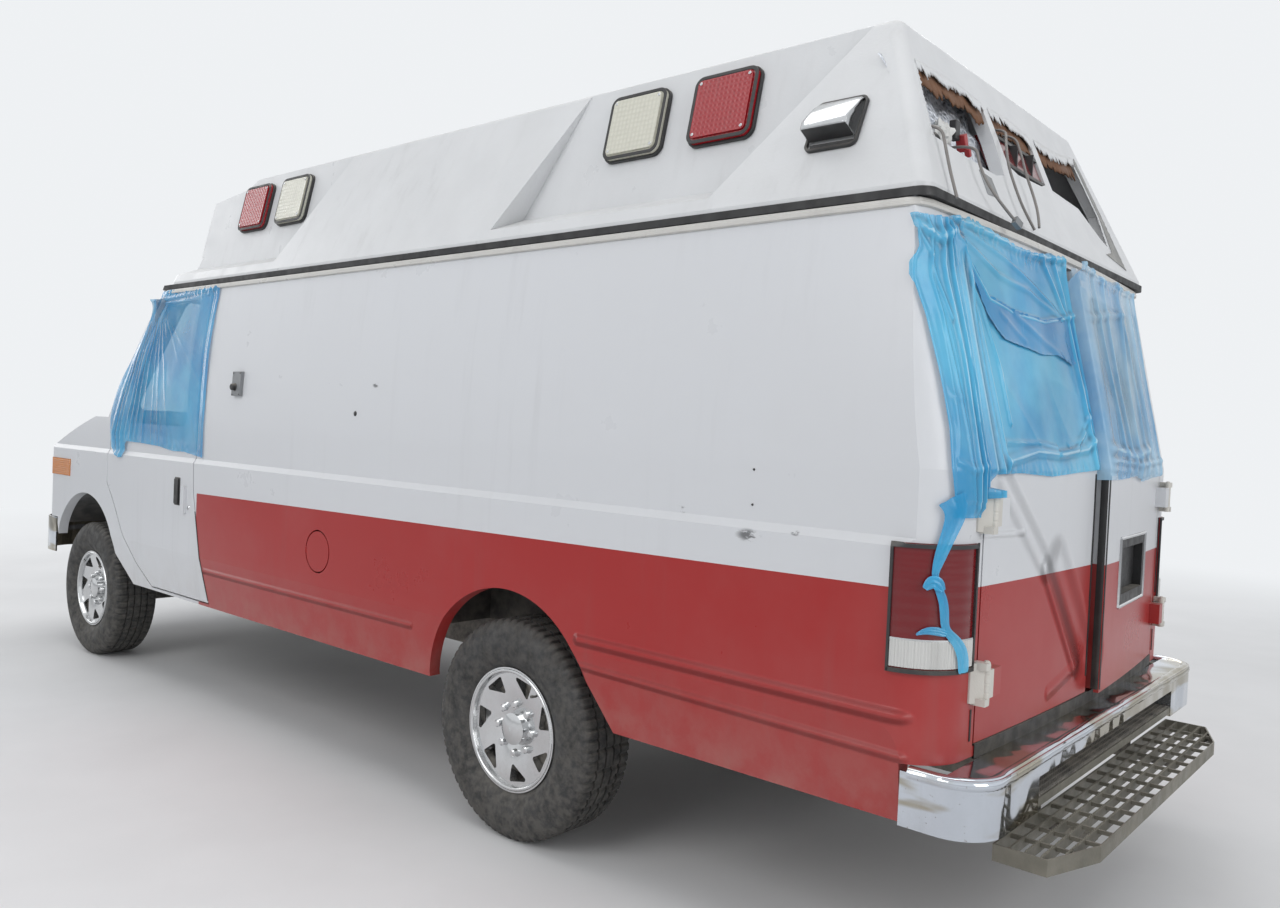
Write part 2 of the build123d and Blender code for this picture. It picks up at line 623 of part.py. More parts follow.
# Rear frame: corner panels, header and sill around the rear doorway.
TAIL_LAMP_INNER_X = REAR_DOOR_HALF_WIDTH + 38
TAIL_LAMP_FRONT_Y = REAR_Y - 142
TAIL_LAMP_LOW_Z = 838.0
TAIL_LAMP_TOP_Z = 1152.0
rear_region = box(-OUT, OUT, REAR_PANEL_Y, LENGTH / 2, SILL_Z - 5, GUTTER_Z)
REAR_DOORWAY = polygon(
    (-REAR_DOOR_HALF_WIDTH - PANEL_GAP, REAR_DOOR_LOW_Z - PANEL_GAP),
    (REAR_DOOR_HALF_WIDTH + PANEL_GAP, REAR_DOOR_LOW_Z - PANEL_GAP),
    (REAR_DOOR_HALF_WIDTH + PANEL_GAP, REAR_DOOR_TOP_Z + PANEL_GAP),
    (-REAR_DOOR_HALF_WIDTH - PANEL_GAP, REAR_DOOR_TOP_Z + PANEL_GAP),
)
tail_box = box(TAIL_LAMP_INNER_X, OUT, TAIL_LAMP_FRONT_Y, LENGTH / 2, TAIL_LAMP_LOW_Z, TAIL_LAMP_TOP_Z)
REAR_OPEN_Y = REAR_Y - 100
REAR_OPEN_Z = 618.0
rear_frame = (SHELL & rear_region) - prism_y(REAR_DOORWAY, REAR_Y - 440, LENGTH / 2) - both(tail_box)
rear_frame = rear_frame - box(-OUT, OUT, REAR_OPEN_Y, LENGTH / 2, SILL_Z - 5, REAR_OPEN_Z)
for hinge_z in REAR_HINGE_Z:
    for end in (-1, 1):
        cap_z = hinge_z + end * (REAR_HINGE_HEIGHT / 2 + 0.5 + REAR_HINGE_CAP / 2)
        cap = rod(REAR_HINGE_X, REAR_HINGE_Y, cap_z, REAR_HINGE_R, REAR_HINGE_CAP, (0, 0, 1))
        cap = cap + box(
            REAR_HINGE_X,
            REAR_HINGE_X + 24,
            REAR_Y - 6,
            REAR_HINGE_Y + REAR_HINGE_R,
            cap_z - REAR_HINGE_CAP / 2,
            cap_z + REAR_HINGE_CAP / 2,
        )
        rear_frame = rear_frame + both(cap)
save("rear_frame", rear_frame)
tail_lamp = lens(
    shrunk_box(
        TAIL_LAMP_INNER_X, OUT, TAIL_LAMP_FRONT_Y, LENGTH / 2, TAIL_LAMP_LOW_Z, TAIL_LAMP_TOP_Z, SEAT_GAP
    )
)
save("tail_lamps", both(tail_lamp))

# Rear doors with their windows and plate recess; the right one stands ajar.
REAR_GAP_X = 6.0
REAR_GAP_TOP_X = 14.0
PLATE_X = -375.0
PLATE_Z = 1006.0
PLATE_WIDTH = 330.0
PLATE_HEIGHT = 170.0
door_outline = polygon(
    (REAR_GAP_X, REAR_DOOR_LOW_Z),
    (REAR_DOOR_HALF_WIDTH, REAR_DOOR_LOW_Z),
    (REAR_DOOR_HALF_WIDTH, REAR_DOOR_TOP_Z),
    (REAR_GAP_TOP_X, REAR_DOOR_TOP_Z),
    (REAR_GAP_X, REAR_BELT_Z),
)
window_outline = polygon(
    (REAR_WINDOW_MARGIN, REAR_WINDOW_LOW_Z),
    (REAR_DOOR_HALF_WIDTH - REAR_WINDOW_MARGIN, REAR_WINDOW_LOW_Z),
    (REAR_DOOR_HALF_WIDTH - REAR_WINDOW_MARGIN, REAR_WINDOW_TOP_Z),
    (REAR_WINDOW_MARGIN, REAR_WINDOW_TOP_Z),
)
window_outline = fillet(window_outline.vertices(), 40)
rear_door = SKIN & prism_y(door_outline, REAR_Y - 290, LENGTH / 2)
rear_door = rear_door + (CORE & prism_y(grown(door_outline, -DOOR_CORE_INSET), REAR_Y - 290, LENGTH / 2))
rear_door = rear_door - prism_y(window_outline, REAR_Y - 290, LENGTH / 2)
for hinge_z in REAR_HINGE_Z:
    low = hinge_z - REAR_HINGE_HEIGHT / 2
    high = hinge_z + REAR_HINGE_HEIGHT / 2
    foot_x = REAR_DOOR_HALF_WIDTH - 60
    foot = box(foot_x, REAR_DOOR_HALF_WIDTH - 3, REAR_Y - 5, REAR_HINGE_Y + REAR_HINGE_R, low, high)
    strap_y = REAR_HINGE_Y - REAR_HINGE_R
    strap = box(foot_x, REAR_HINGE_X, strap_y, REAR_HINGE_Y + REAR_HINGE_R, low, high)
    barrel = rod(REAR_HINGE_X, REAR_HINGE_Y, hinge_z, REAR_HINGE_R, REAR_HINGE_HEIGHT, (0, 0, 1))
    rear_door = rear_door + foot + strap + barrel
plate_hole = box(
    PLATE_X - PLATE_WIDTH / 2,
    PLATE_X + PLATE_WIDTH / 2,
    REAR_Y - 12,
    LENGTH / 2,
    PLATE_Z - PLATE_HEIGHT / 2,
    PLATE_Z + PLATE_HEIGHT / 2,
)
right_pivot = Pos(-REAR_HINGE_X, REAR_HINGE_Y, 0)


def ajar(shape):
    """A right rear door piece turned out to where it stands."""
    return right_pivot * Rot(0, 0, REAR_DOOR_AJAR) * right_pivot.inverse() * shape


save("rear_door_left", rear_door)
save("rear_door_right", ajar(mirrored(rear_door) - plate_hole))

# Raised roof.
ROOF_LOW_Z = GUTTER_Z + SEAM_HEIGHT


def roof_block(inset):
    """Solid outline of the raised roof, moved inwards by the inset."""
    base_x = ROOF_BASE_HALF_WIDTH - inset
    top_x = ROOF_TOP_HALF_WIDTH - inset * 0.8
    front = ROOF_FRONT_Y + inset
    rear_base = ROOF_REAR_BASE_Y - inset
    rear_top = ROOF_REAR_TOP_Y - inset
    top = ROOF_TOP_Z - inset
    across = polygon(
        (-base_x, ROOF_LOW_Z - max(inset, 0)),
        (base_x, ROOF_LOW_Z - max(inset, 0)),
        (base_x, ROOF_FLANGE_Z),
        (top_x, top),
        (-top_x, top),
        (-base_x, ROOF_FLANGE_Z),
    )
    along = polygon(
        (front, ROOF_LOW_Z - max(inset, 0)),
        (rear_base, ROOF_LOW_Z - max(inset, 0)),
        (rear_base, ROOF_FLANGE_Z),
        (rear_top, top),
        (front, top),
    )
    block = prism_y(across, front, rear_base) & prism_x(along, -base_x, base_x)
    upright = [e for e in block.edges() if abs(e.tangent_at(0.5).Z) > 0.5]
    block = fillet(upright, max(ROOF_EDGE_R - inset, 8))
    rim = [e for e in block.edges() if e.center().Z > top - 1]
    block = fillet(rim, max(ROOF_EDGE_R - inset, 8) * 0.8)
    step = polygon(
        (ROOF_FRONT_Y - 300, ROOF_STEP_FRONT_Z - inset),
        (ROOF_STEP_Y, ROOF_STEP_REAR_Z - inset),
        (ROOF_STEP_END_Y, ROOF_TOP_Z - inset),
        (ROOF_STEP_END_Y, ROOF_TOP_Z + 200),
        (ROOF_FRONT_Y - 300, ROOF_TOP_Z + 200),
    )
    block = block - prism_x(step, -OUT, OUT)
    visor = polygon(
        (ROOF_VISOR_Y + inset, ROOF_LOW_Z - max(inset, 0)),
        (ROOF_VISOR_Y + inset, ROOF_FLANGE_Z + 25 - inset),
        (ROOF_FRONT_Y + inset, ROOF_VISOR_TOP_Z - inset),
        (ROOF_FRONT_Y + 60 + inset, ROOF_VISOR_TOP_Z - inset),
        (ROOF_FRONT_Y + 60 + inset, ROOF_LOW_Z - max(inset, 0)),
    )
    visor_x = ROOF_BASE_HALF_WIDTH - 50 - inset
    block = block + prism_x(visor, -visor_x, visor_x) - screen_region(1.26 * inset)
    return block


def lamp_recess(shrink):
    """Cut that leaves the steeper lamp panels in one roof side."""
    low = (LAMP_PANEL_LOW_X - shrink, LAMP_PANEL_LOW_Z - shrink * 0.3)
    top = (ROOF_TOP_HALF_WIDTH - shrink, ROOF_TOP_Z)
    sill = (ROOF_BASE_HALF_WIDTH - 18 - shrink, LAMP_PANEL_SILL_Z - shrink)
    wedge = polygon(top, low, sill, (OUT, sill[1]), (OUT, ROOF_TOP_Z))
    rear_window = polygon(
        (ROOF_REAR_BASE_Y - 1645 - shrink, LAMP_PANEL_SILL_Z - shrink),
        (ROOF_REAR_BASE_Y - 687 + shrink, LAMP_PANEL_SILL_Z - shrink),
        (ROOF_REAR_BASE_Y - 288 + shrink, ROOF_TOP_Z),
        (ROOF_REAR_BASE_Y - 1380 - shrink, ROOF_TOP_Z),
    )
    front_window = polygon(
        (ROOF_FRONT_Y - 200, LAMP_PANEL_SILL_Z - shrink),
        (ROOF_FRONT_Y + 981 + shrink, LAMP_PANEL_SILL_Z - shrink),
        (ROOF_FRONT_Y + 1260 + shrink, ROOF_TOP_Z),
        (ROOF_FRONT_Y - 200, ROOF_TOP_Z),
    )
    wedge_bar = prism_y(wedge, ROOF_FRONT_Y - 300, ROOF_REAR_BASE_Y)
    return wedge_bar & (prism_x(rear_window, 0, OUT) + prism_x(front_window, 0, OUT))


roof_outer = roof_block(0) - both(lamp_recess(0))
roof_inner = roof_block(ROOF_WALL) - both(lamp_recess(ROOF_WALL))
roof = roof_outer - roof_inner

# Torn openings in the rear of the roof: corner points in X and Z.
BRAKE_TOP_Z = 2329.0
TORN_OPENINGS = (
    ((712, 2425), (745, 2330), (785, 2190), (600, 2180), (380, 2172), (300, 2190), (270, 2300), (262, 2428), (420, 2440)),
    ((215, 2425), (220, 2240), (150, 2225), (-60, 2235), (-110, 2250), (-120, 2420), (60, 2436)),
    ((-175, 2422), (-170, 2245), (-420, 2232), (-560, 2150), (-640, 2120), (-670, 2250), (-600, 2460), (-400, 2430)),
)
for points in TORN_OPENINGS:
    roof = roof - prism_y(polygon(*points), ROOF_REAR_TOP_Y - 91, ROOF_REAR_BASE_Y + 88)

# Loose wires: name, then the route's points from the clip inside the roof to the hanging end.
WIRE_R = 4.0
WIRES = (
    ("loose_wire_1", ((765, 2480, 2225), (765, 2558, 2225), (785, 2585, 2148), (808, 2612, 2075), (826, 2640, 2008))),
    (
        "loose_wire_2",
        ((545, 2480, 2222), (545, 2562, 2222), (585, 2590, 2150), (580, 2622, 2085), (540, 2650, 2035), (502, 2662, 2011)),
    ),
    (
        "loose_wire_3",
        (
            (190, 2420, 2366),
            (190, 2500, 2366),
            (258, 2530, 2300),
            (300, 2556, 2222),
            (322, 2590, 2145),
            (325, 2620, 2075),
            (300, 2645, 2020),
        ),
    ),
    (
        "loose_wire_4",
        (
            (120, 2420, 2366),
            (120, 2498, 2366),
            (150, 2535, 2292),
            (168, 2562, 2218),
            (176, 2592, 2146),
            (200, 2618, 2082),
            (236, 2634, 2040),
        ),
    ),
)
CLIP_HALF = 10.0
CLIP_DEPTH = 40.0
CLIP_FOOT_LOW_Z = 2150.0
CLIP_FOOT_TOP_Z = 2165.0
CLIP_FOOT_Y = 2530.0
CLIP_HEAD_Z = 2450.0
for _, points in WIRES:
    clip_x, clip_y, clip_z = points[0]
    hangs_from_header = clip_z > BRAKE_TOP_Z
    clip_low = clip_z - CLIP_HALF if hangs_from_header else CLIP_FOOT_LOW_Z
    clip_top = CLIP_HEAD_Z if hangs_from_header else clip_z + CLIP_HALF
    clip = box(clip_x - CLIP_HALF, clip_x + CLIP_HALF, clip_y - CLIP_DEPTH, clip_y, clip_low, clip_top)
    if not hangs_from_header:
        clip = clip + box(
            clip_x - CLIP_HALF,
            clip_x + CLIP_HALF,
            clip_y - CLIP_DEPTH,
            CLIP_FOOT_Y,
            CLIP_FOOT_LOW_Z,
            CLIP_FOOT_TOP_Z,
        )
    roof = roof + clip
save("raised_roof", roof)


def wire_radii(points):
    """Bend radius at each inner point, from the shorter run and the turn."""
    radii = []
    for before, here, after in zip(points, points[1:], points[2:]):
        run_in = Vector(*here) - Vector(*before)
        run_out = Vector(*after) - Vector(*here)
        half_turn = radians(run_in.get_angle(run_out)) / 2
        radii.append(0.45 * min(run_in.length, run_out.length) / tan(half_turn))
    return radii


for node, points in WIRES:
    radii = wire_radii(points)
    route = FilletPolyline(*points, radius=radii)
    wire = sweep(Plane(points[0], z_dir=(0, 1, 0)) * Circle(WIRE_R), path=route)
    save(node, wire)
    print(node, "bend radii", [round(r) for r in radii], "length", round(route.length), "volume", round(wire.volume))

# Connector on the end of the second wire.
PLUG_SIZE = (22.0, 14.0, 30.0)
plug_start, plug_end = WIRES[1][1][-2:]
plug_plane = Plane(plug_end, z_dir=Vector(*plug_end) - Vector(*plug_start))
save("wire_plug", plug_plane * Pos(0, 0, PLUG_SIZE[2] / 2) * Box(*PLUG_SIZE))

# Rubber seam between the body and the roof.
seam = box(
    -ROOF_BASE_HALF_WIDTH - 6,
    ROOF_BASE_HALF_WIDTH + 6,
    ROOF_VISOR_Y,
    ROOF_REAR_BASE_Y + 8,
    GUTTER_Z,
    ROOF_LOW_Z,
)
seam = fillet(seam.edges().filter_by(Axis.Z), 40)
seam = seam - box(
    -ROOF_BASE_HALF_WIDTH + ROOF_WALL,
    ROOF_BASE_HALF_WIDTH - ROOF_WALL,
    ROOF_VISOR_Y + ROOF_WALL,
    ROOF_REAR_BASE_Y - ROOF_WALL,
    GUTTER_Z - 1,
    ROOF_LOW_Z + 1,
)
save("roof_seam", seam - screen_region(0))

# Roof lamps on the lamp panels.
panel_rise = ROOF_TOP_Z - LAMP_PANEL_LOW_Z
panel_run = LAMP_PANEL_LOW_X - ROOF_TOP_HALF_WIDTH
panel_tilt = atan2(panel_run, panel_rise)
panel_normal = (cos(panel_tilt), 0, sin(panel_tilt))


def on_panel(y, z, lift):
    """Plane on a lamp panel, lifted off it."""
    x = ROOF_TOP_HALF_WIDTH + (ROOF_TOP_Z - z) * panel_run / panel_rise
    origin = Vector(x, y, z) + Vector(*panel_normal) * lift
    return Plane(origin, x_dir=(0, 1, 0), z_dir=panel_normal)


lamp_face = RectangleRounded(ROOF_LAMP_WIDTH, ROOF_LAMP_HEIGHT, ROOF_LAMP_CORNER_R)
lens_face = RectangleRounded(
    ROOF_LAMP_WIDTH - 2 * ROOF_LAMP_LENS_INSET, ROOF_LAMP_HEIGHT - 2 * ROOF_LAMP_LENS_INSET, ROOF_LAMP_CORNER_R / 2
)
lamps = {"red": [], "clear": []}
for colour, lamp_y in ROOF_LAMPS:
    lamp_plane = on_panel(lamp_y, ROOF_LAMP_Z, SEAT_GAP)
    lamp = extrude(lamp_plane * lamp_face, ROOF_LAMP_DEPTH)
    lamp = lamp + extrude(lamp_plane * lens_face, ROOF_LAMP_DEPTH + ROOF_LAMP_LENS_RISE)
    lamps[colour].append(both(lamp))
save("roof_lamps_red", lamps["red"][0] + lamps["red"][1])
save("roof_lamps_clear", lamps["clear"][0] + lamps["clear"][1])

# Hooded side lights near the rear of the roof.
side_rise = ROOF_TOP_Z - ROOF_FLANGE_Z
side_run = ROOF_BASE_HALF_WIDTH - ROOF_TOP_HALF_WIDTH
side_tilt = atan2(side_run, side_rise)
side_normal = (cos(side_tilt), 0, sin(side_tilt))
scene_x = ROOF_TOP_HALF_WIDTH + (ROOF_TOP_Z - SCENE_LAMP_Z) * side_run / side_rise
scene_origin = Vector(scene_x, SCENE_LAMP_Y, SCENE_LAMP_Z) + Vector(*side_normal) * SEAT_GAP
scene_plane = Plane(scene_origin, x_dir=(0, 1, 0), z_dir=side_normal)
scene = extrude(scene_plane * RectangleRounded(SCENE_LAMP_WIDTH, SCENE_LAMP_HEIGHT, 18), SCENE_LAMP_PLATE)
hood_half = SCENE_LAMP_WIDTH / 2 - 8
hood_top = SCENE_LAMP_HEIGHT / 2 - 8
hood_outline = polygon(
    (-hood_top, 0), (hood_top, 0), (hood_top, SCENE_LAMP_TOP_DEPTH), (20 - hood_top, SCENE_LAMP_DEPTH), (-hood_top, SCENE_LAMP_DEPTH)
)
hood_plane = Plane(
    scene_origin - Vector(0, hood_half, 0), x_dir=scene_plane.y_dir, z_dir=scene_plane.x_dir
)
scene = scene + extrude(hood_plane * hood_outline, 2 * hood_half)
save("scene_lights", both(scene))

# Centre brake lamp: a back plate against the roof's inside, and a lens out through the gap.
BRAKE_LAMP_X = 48.0
BRAKE_LAMP_Z = 2290.0
BRAKE_LAMP_WIDTH = 300.0
BRAKE_LAMP_HEIGHT = 78.0
BRAKE_LAMP_SINK = 6.0
plate_half = BRAKE_LAMP_WIDTH / 2 + 50
plate_band = roof_block(ROOF_WALL + SEAT_GAP) - roof_block(ROOF_WALL + SEAT_GAP + 12)
brake_plate = plate_band & box(
    BRAKE_LAMP_X - plate_half,
    BRAKE_LAMP_X + plate_half,
    ROOF_REAR_TOP_Y - 91,
    ROOF_REAR_BASE_Y + 88,
    BRAKE_LAMP_Z - 50,
    BRAKE_LAMP_Z + 50,
)
brake_body = (roof_block(BRAKE_LAMP_SINK) - roof_block(ROOF_WALL + SEAT_GAP + 6)) & box(
    BRAKE_LAMP_X - BRAKE_LAMP_WIDTH / 2,
    BRAKE_LAMP_X + BRAKE_LAMP_WIDTH / 2,
    ROOF_REAR_TOP_Y - 91,
    ROOF_REAR_BASE_Y + 88,
    BRAKE_LAMP_Z - BRAKE_LAMP_HEIGHT / 2,
    BRAKE_LAMP_Z + BRAKE_LAMP_HEIGHT / 2,
)
save("roof_brake_lamp", brake_plate + brake_body)

# Chassis frame: two boxed rails with cross members, out to the bumpers.
RAIL_FRONT_Y = -LENGTH / 2 + BUMPER_WALL + SEAT_GAP
RAIL_REAR_Y = BUMPER_FACE_Y - BUMPER_RECESS_DEPTH - BUMPER_WALL - SEAT_GAP
RAIL_TOP_Z = RAIL_LOW_Z + RAIL_HEIGHT
rail = box(
    RAIL_X - RAIL_WIDTH / 2, RAIL_X + RAIL_WIDTH / 2, RAIL_FRONT_Y, RAIL_REAR_Y, RAIL_LOW_Z, RAIL_TOP_Z
)
frame = both(rail)
CROSS_MEMBERS = (
    NOSE_Y + 65,
    FRONT_AXLE_Y - 172,
    FRONT_AXLE_Y + 578,
    FRONT_AXLE_Y + 1578,
    REAR_AXLE_Y - 727,
    REAR_AXLE_Y + 623,
    REAR_Y - 140,
)
CROSS_HALF = 35.0
CROSS_INSET = 20.0
for cross_y in CROSS_MEMBERS:
    frame = frame + box(
        -RAIL_X, RAIL_X, cross_y - CROSS_HALF, cross_y + CROSS_HALF, RAIL_LOW_Z + CROSS_INSET, RAIL_TOP_Z - CROSS_INSET
    )
MOUNT_PADS = (FRONT_AXLE_Y + 828, FRONT_AXLE_Y + 1978, REAR_AXLE_Y - 327, REAR_Y - 440)
for pad_y in MOUNT_PADS:
    pad = rod(RAIL_X, pad_y, (RAIL_TOP_Z + FLOOR_Z - SEAT_GAP) / 2, 32, FLOOR_Z - SEAT_GAP - RAIL_TOP_Z, (0, 0, 1))
    frame = frame + both(pad)
JACK_PADS = (FRONT_AXLE_Y + 578, REAR_AXLE_Y + 973)
JACK_PAD_HALF = 30.0
JACK_PAD_HEIGHT = 10.0
for pad_y in JACK_PADS:
    frame = frame + both(
        box(
            RAIL_X - JACK_PAD_HALF,
            RAIL_X + JACK_PAD_HALF,
            pad_y - JACK_PAD_HALF,
            pad_y + JACK_PAD_HALF,
            RAIL_LOW_Z - JACK_PAD_HEIGHT,
            RAIL_LOW_Z,
        )
    )
STEP_ARM_HALF = 15.0
STEP_ARM_DEPTH = 18.0
step_arm_x = (RAIL_X - STEP_ARM_HALF, RAIL_X + STEP_ARM_HALF)
step_low_z = STEP_Z - STEP_DEPTH - SEAT_GAP
step_arm = box(*step_arm_x, RAIL_REAR_Y - 80, RAIL_REAR_Y, step_low_z - STEP_ARM_DEPTH, RAIL_LOW_Z + 2)
step_arm = step_arm + box(
    *step_arm_x, RAIL_REAR_Y - 80, LENGTH / 2 - STEP_CHAMFER_Y, step_low_z - STEP_ARM_DEPTH, step_low_z
)
frame = frame + both(step_arm)
save("chassis_frame", frame)

# Engine on the second cross member, and the fuel tank between the rails.
ENGINE_LOW_Z = RAIL_TOP_Z - CROSS_INSET + SEAT_GAP
ENGINE_HALF_WIDTH = 330.0
ENGINE_TOP_Z = 1040.0
save(
    "engine_block",
    box(-ENGINE_HALF_WIDTH, ENGINE_HALF_WIDTH, FRONT_AXLE_Y - 482, FRONT_AXLE_Y + 248, ENGINE_LOW_Z, ENGINE_TOP_Z),
)
TANK_OUTER_X = RAIL_X - RAIL_WIDTH / 2 - SEAT_GAP
TANK_LENGTH = 480.0
tank_front = REAR_AXLE_Y - 667
save("fuel_tank", box(60, TANK_OUTER_X, tank_front, tank_front + TANK_LENGTH, RAIL_LOW_Z - 40, RAIL_TOP_Z + 5))

# Floor with the bulkhead and rear wheel boxes.
FLOOR_HALF_WIDTH = HALF_WIDTH - WALL - 6.3
CAB_FLOOR_HALF_WIDTH = HALF_WIDTH - 80
FLOOR_TOP_Z = FLOOR_Z + FLOOR_THICKNESS
BULKHEAD_Y = DOOR_FRONT_Y - 5
CAB_FLOOR_Y = BULKHEAD_Y + 420
CAB_FLOOR_REAR_Y = DOOR_REAR_TOP_Y + 130
BULKHEAD_WALL = 20.0
WHEEL_BOX_X = HALF_WIDTH - 305
FOOTWELL_HALF_WIDTH = LINER_INNER_X - 15
rear_floor_x = HALF_WIDTH - REAR_CORNER_R
rear_floor_y = REAR_Y - WALL - SEAT_GAP
floor = box(-FLOOR_HALF_WIDTH, FLOOR_HALF_WIDTH, CAB_FLOOR_REAR_Y, REAR_PANEL_Y, FLOOR_Z, FLOOR_TOP_Z)
floor = floor + box(-rear_floor_x, rear_floor_x, REAR_PANEL_Y, rear_floor_y, FLOOR_Z, FLOOR_TOP_Z)
floor = floor + box(-CAB_FLOOR_HALF_WIDTH, CAB_FLOOR_HALF_WIDTH, CAB_FLOOR_Y, CAB_FLOOR_REAR_Y, FLOOR_Z, FLOOR_TOP_Z)
floor = floor + box(-FOOTWELL_HALF_WIDTH, FOOTWELL_HALF_WIDTH, BULKHEAD_Y, CAB_FLOOR_Y, FLOOR_Z, FLOOR_TOP_Z)
wheel_box = box(WHEEL_BOX_X - 10, FLOOR_HALF_WIDTH, REAR_AXLE_Y - 440, REAR_AXLE_Y + 520, FLOOR_Z, 890)
wheel_hole = box(WHEEL_BOX_X, OUT, REAR_AXLE_Y - 430, REAR_AXLE_Y + 510, FLOOR_Z - 50, 880)
floor = floor + both(wheel_box) - both(wheel_hole)
floor = floor + box(
    -FOOTWELL_HALF_WIDTH, FOOTWELL_HALF_WIDTH, BULKHEAD_Y, BULKHEAD_Y + BULKHEAD_WALL, FLOOR_Z, 1000
)
floor = floor + box(75 - HALF_WIDTH, HALF_WIDTH - 75, BULKHEAD_Y, BULKHEAD_Y + BULKHEAD_WALL, 930, 1280)
save("floor_pan", floor)

# Axles.
rear_tube = rod(0, REAR_AXLE_Y, TYRE_R, 45, REAR_TRACK - 260, (1, 0, 0))
rear_axle = rear_tube + rod(0, REAR_AXLE_Y, TYRE_R, 135, 210, (0, 1, 0))
rear_axle = rear_axle + rod(0, REAR_AXLE_Y, TYRE_R, SPINDLE_R, 2 * (REAR_TRACK / 2 + WHEEL_FACE_X), (1, 0, 0))
spring_half = 32.0
spring = box(
    RAIL_X - spring_half,
    RAIL_X + spring_half,
    REAR_AXLE_Y - 720,
    REAR_AXLE_Y + 720,
    TYRE_R + 40,
    RAIL_LOW_Z - SEAT_GAP,
)
save("rear_axle", rear_axle + both(spring))
EYE_HALF_HEIGHT = 40.0
front_axle = box(160 - KINGPIN_X, KINGPIN_X - 160, FRONT_AXLE_Y - 32, FRONT_AXLE_Y + 32, TYRE_R - 90, TYRE_R - 30)
arm = box(KINGPIN_X - 200, KINGPIN_X - 22, FRONT_AXLE_Y - 30, FRONT_AXLE_Y + 30, TYRE_R - 38, TYRE_R + 34)
arm = arm + box(KINGPIN_X - 240, KINGPIN_X - 140, FRONT_AXLE_Y - 30, FRONT_AXLE_Y + 30, TYRE_R - 90, TYRE_R + 34)
COIL_R = 48.0
coil_low = TYRE_R - 32
coil = rod(RAIL_X, FRONT_AXLE_Y, (coil_low + RAIL_LOW_Z - SEAT_GAP) / 2, COIL_R, RAIL_LOW_Z - SEAT_GAP - coil_low, (0, 0, 1))
eye = rod(KINGPIN_X, FRONT_AXLE_Y, TYRE_R, 36, 2 * EYE_HALF_HEIGHT, (0, 0, 1))
front_axle = front_axle + both(arm + eye) + both(coil)
front_axle = front_axle - both(rod(KINGPIN_X, FRONT_AXLE_Y, TYRE_R, KINGPIN_R + RUNNING_FIT, 200, (0, 0, 1)))
save("front_axle", front_axle)

# Steering knuckles with kingpin, fork, backing plate and spindle.
FORK_GAP = 0.3
fork_low = EYE_HALF_HEIGHT + FORK_GAP
knuckle = rod(KINGPIN_X, FRONT_AXLE_Y, TYRE_R, KINGPIN_R, 2 * (fork_low + 20), (0, 0, 1))
for sign in (-1, 1):
    arm_z = TYRE_R + sign * (fork_low + 12)
    fork = box(KINGPIN_X - 24, KINGPIN_X + 62, FRONT_AXLE_Y - 26, FRONT_AXLE_Y + 26, arm_z - 12, arm_z + 12)
    knuckle = knuckle + fork
knuckle = knuckle + rod(KINGPIN_X + 54, FRONT_AXLE_Y, TYRE_R, 150, 12, (1, 0, 0))
front_wheel_x = FRONT_TRACK / 2
spindle_end = front_wheel_x + WHEEL_FACE_X
spindle_mid = (KINGPIN_X + 54 + spindle_end) / 2
knuckle = knuckle + rod(spindle_mid, FRONT_AXLE_Y, TYRE_R, SPINDLE_R, spindle_end - KINGPIN_X - 54, (1, 0, 0))
save("knuckle_left", knuckle)
save("knuckle_right", mirrored(knuckle))


def tyre():
    """Tyre profile turned about X, centred on the origin."""
    w = TYRE_WIDTH / 2
    rim_w = RIM_WIDTH / 2
    outline = [
        Line((TYRE_BEAD_R, -rim_w + 8), (TYRE_BEAD_R, rim_w - 8)),
        Line((TYRE_BEAD_R, rim_w - 8), (TYRE_BEAD_R + 14, rim_w + 4)),
        ThreePointArc((TYRE_BEAD_R + 14, rim_w + 4), (TYRE_R - 85, w), (TYRE_R - TYRE_SHOULDER, w - 14)),
        ThreePointArc((TYRE_R - TYRE_SHOULDER, w - 14), (TYRE_R - 7, w - 22), (TYRE_R, w - 42)),
        Line((TYRE_R, w - 42), (TYRE_R, -w + 42)),
        ThreePointArc((TYRE_R, -w + 42), (TYRE_R - 7, -w + 22), (TYRE_R - TYRE_SHOULDER, -w + 14)),
        ThreePointArc((TYRE_R - TYRE_SHOULDER, -w + 14), (TYRE_R - 85, -w), (TYRE_BEAD_R + 14, -rim_w - 4)),
        Line((TYRE_BEAD_R + 14, -rim_w - 4), (TYRE_BEAD_R, -rim_w + 8)),
    ]
    profile = Plane.XZ * make_face(outline)
    ring = revolve(profile, Axis.Z)
    return Rot(0, 90, 0) * ring


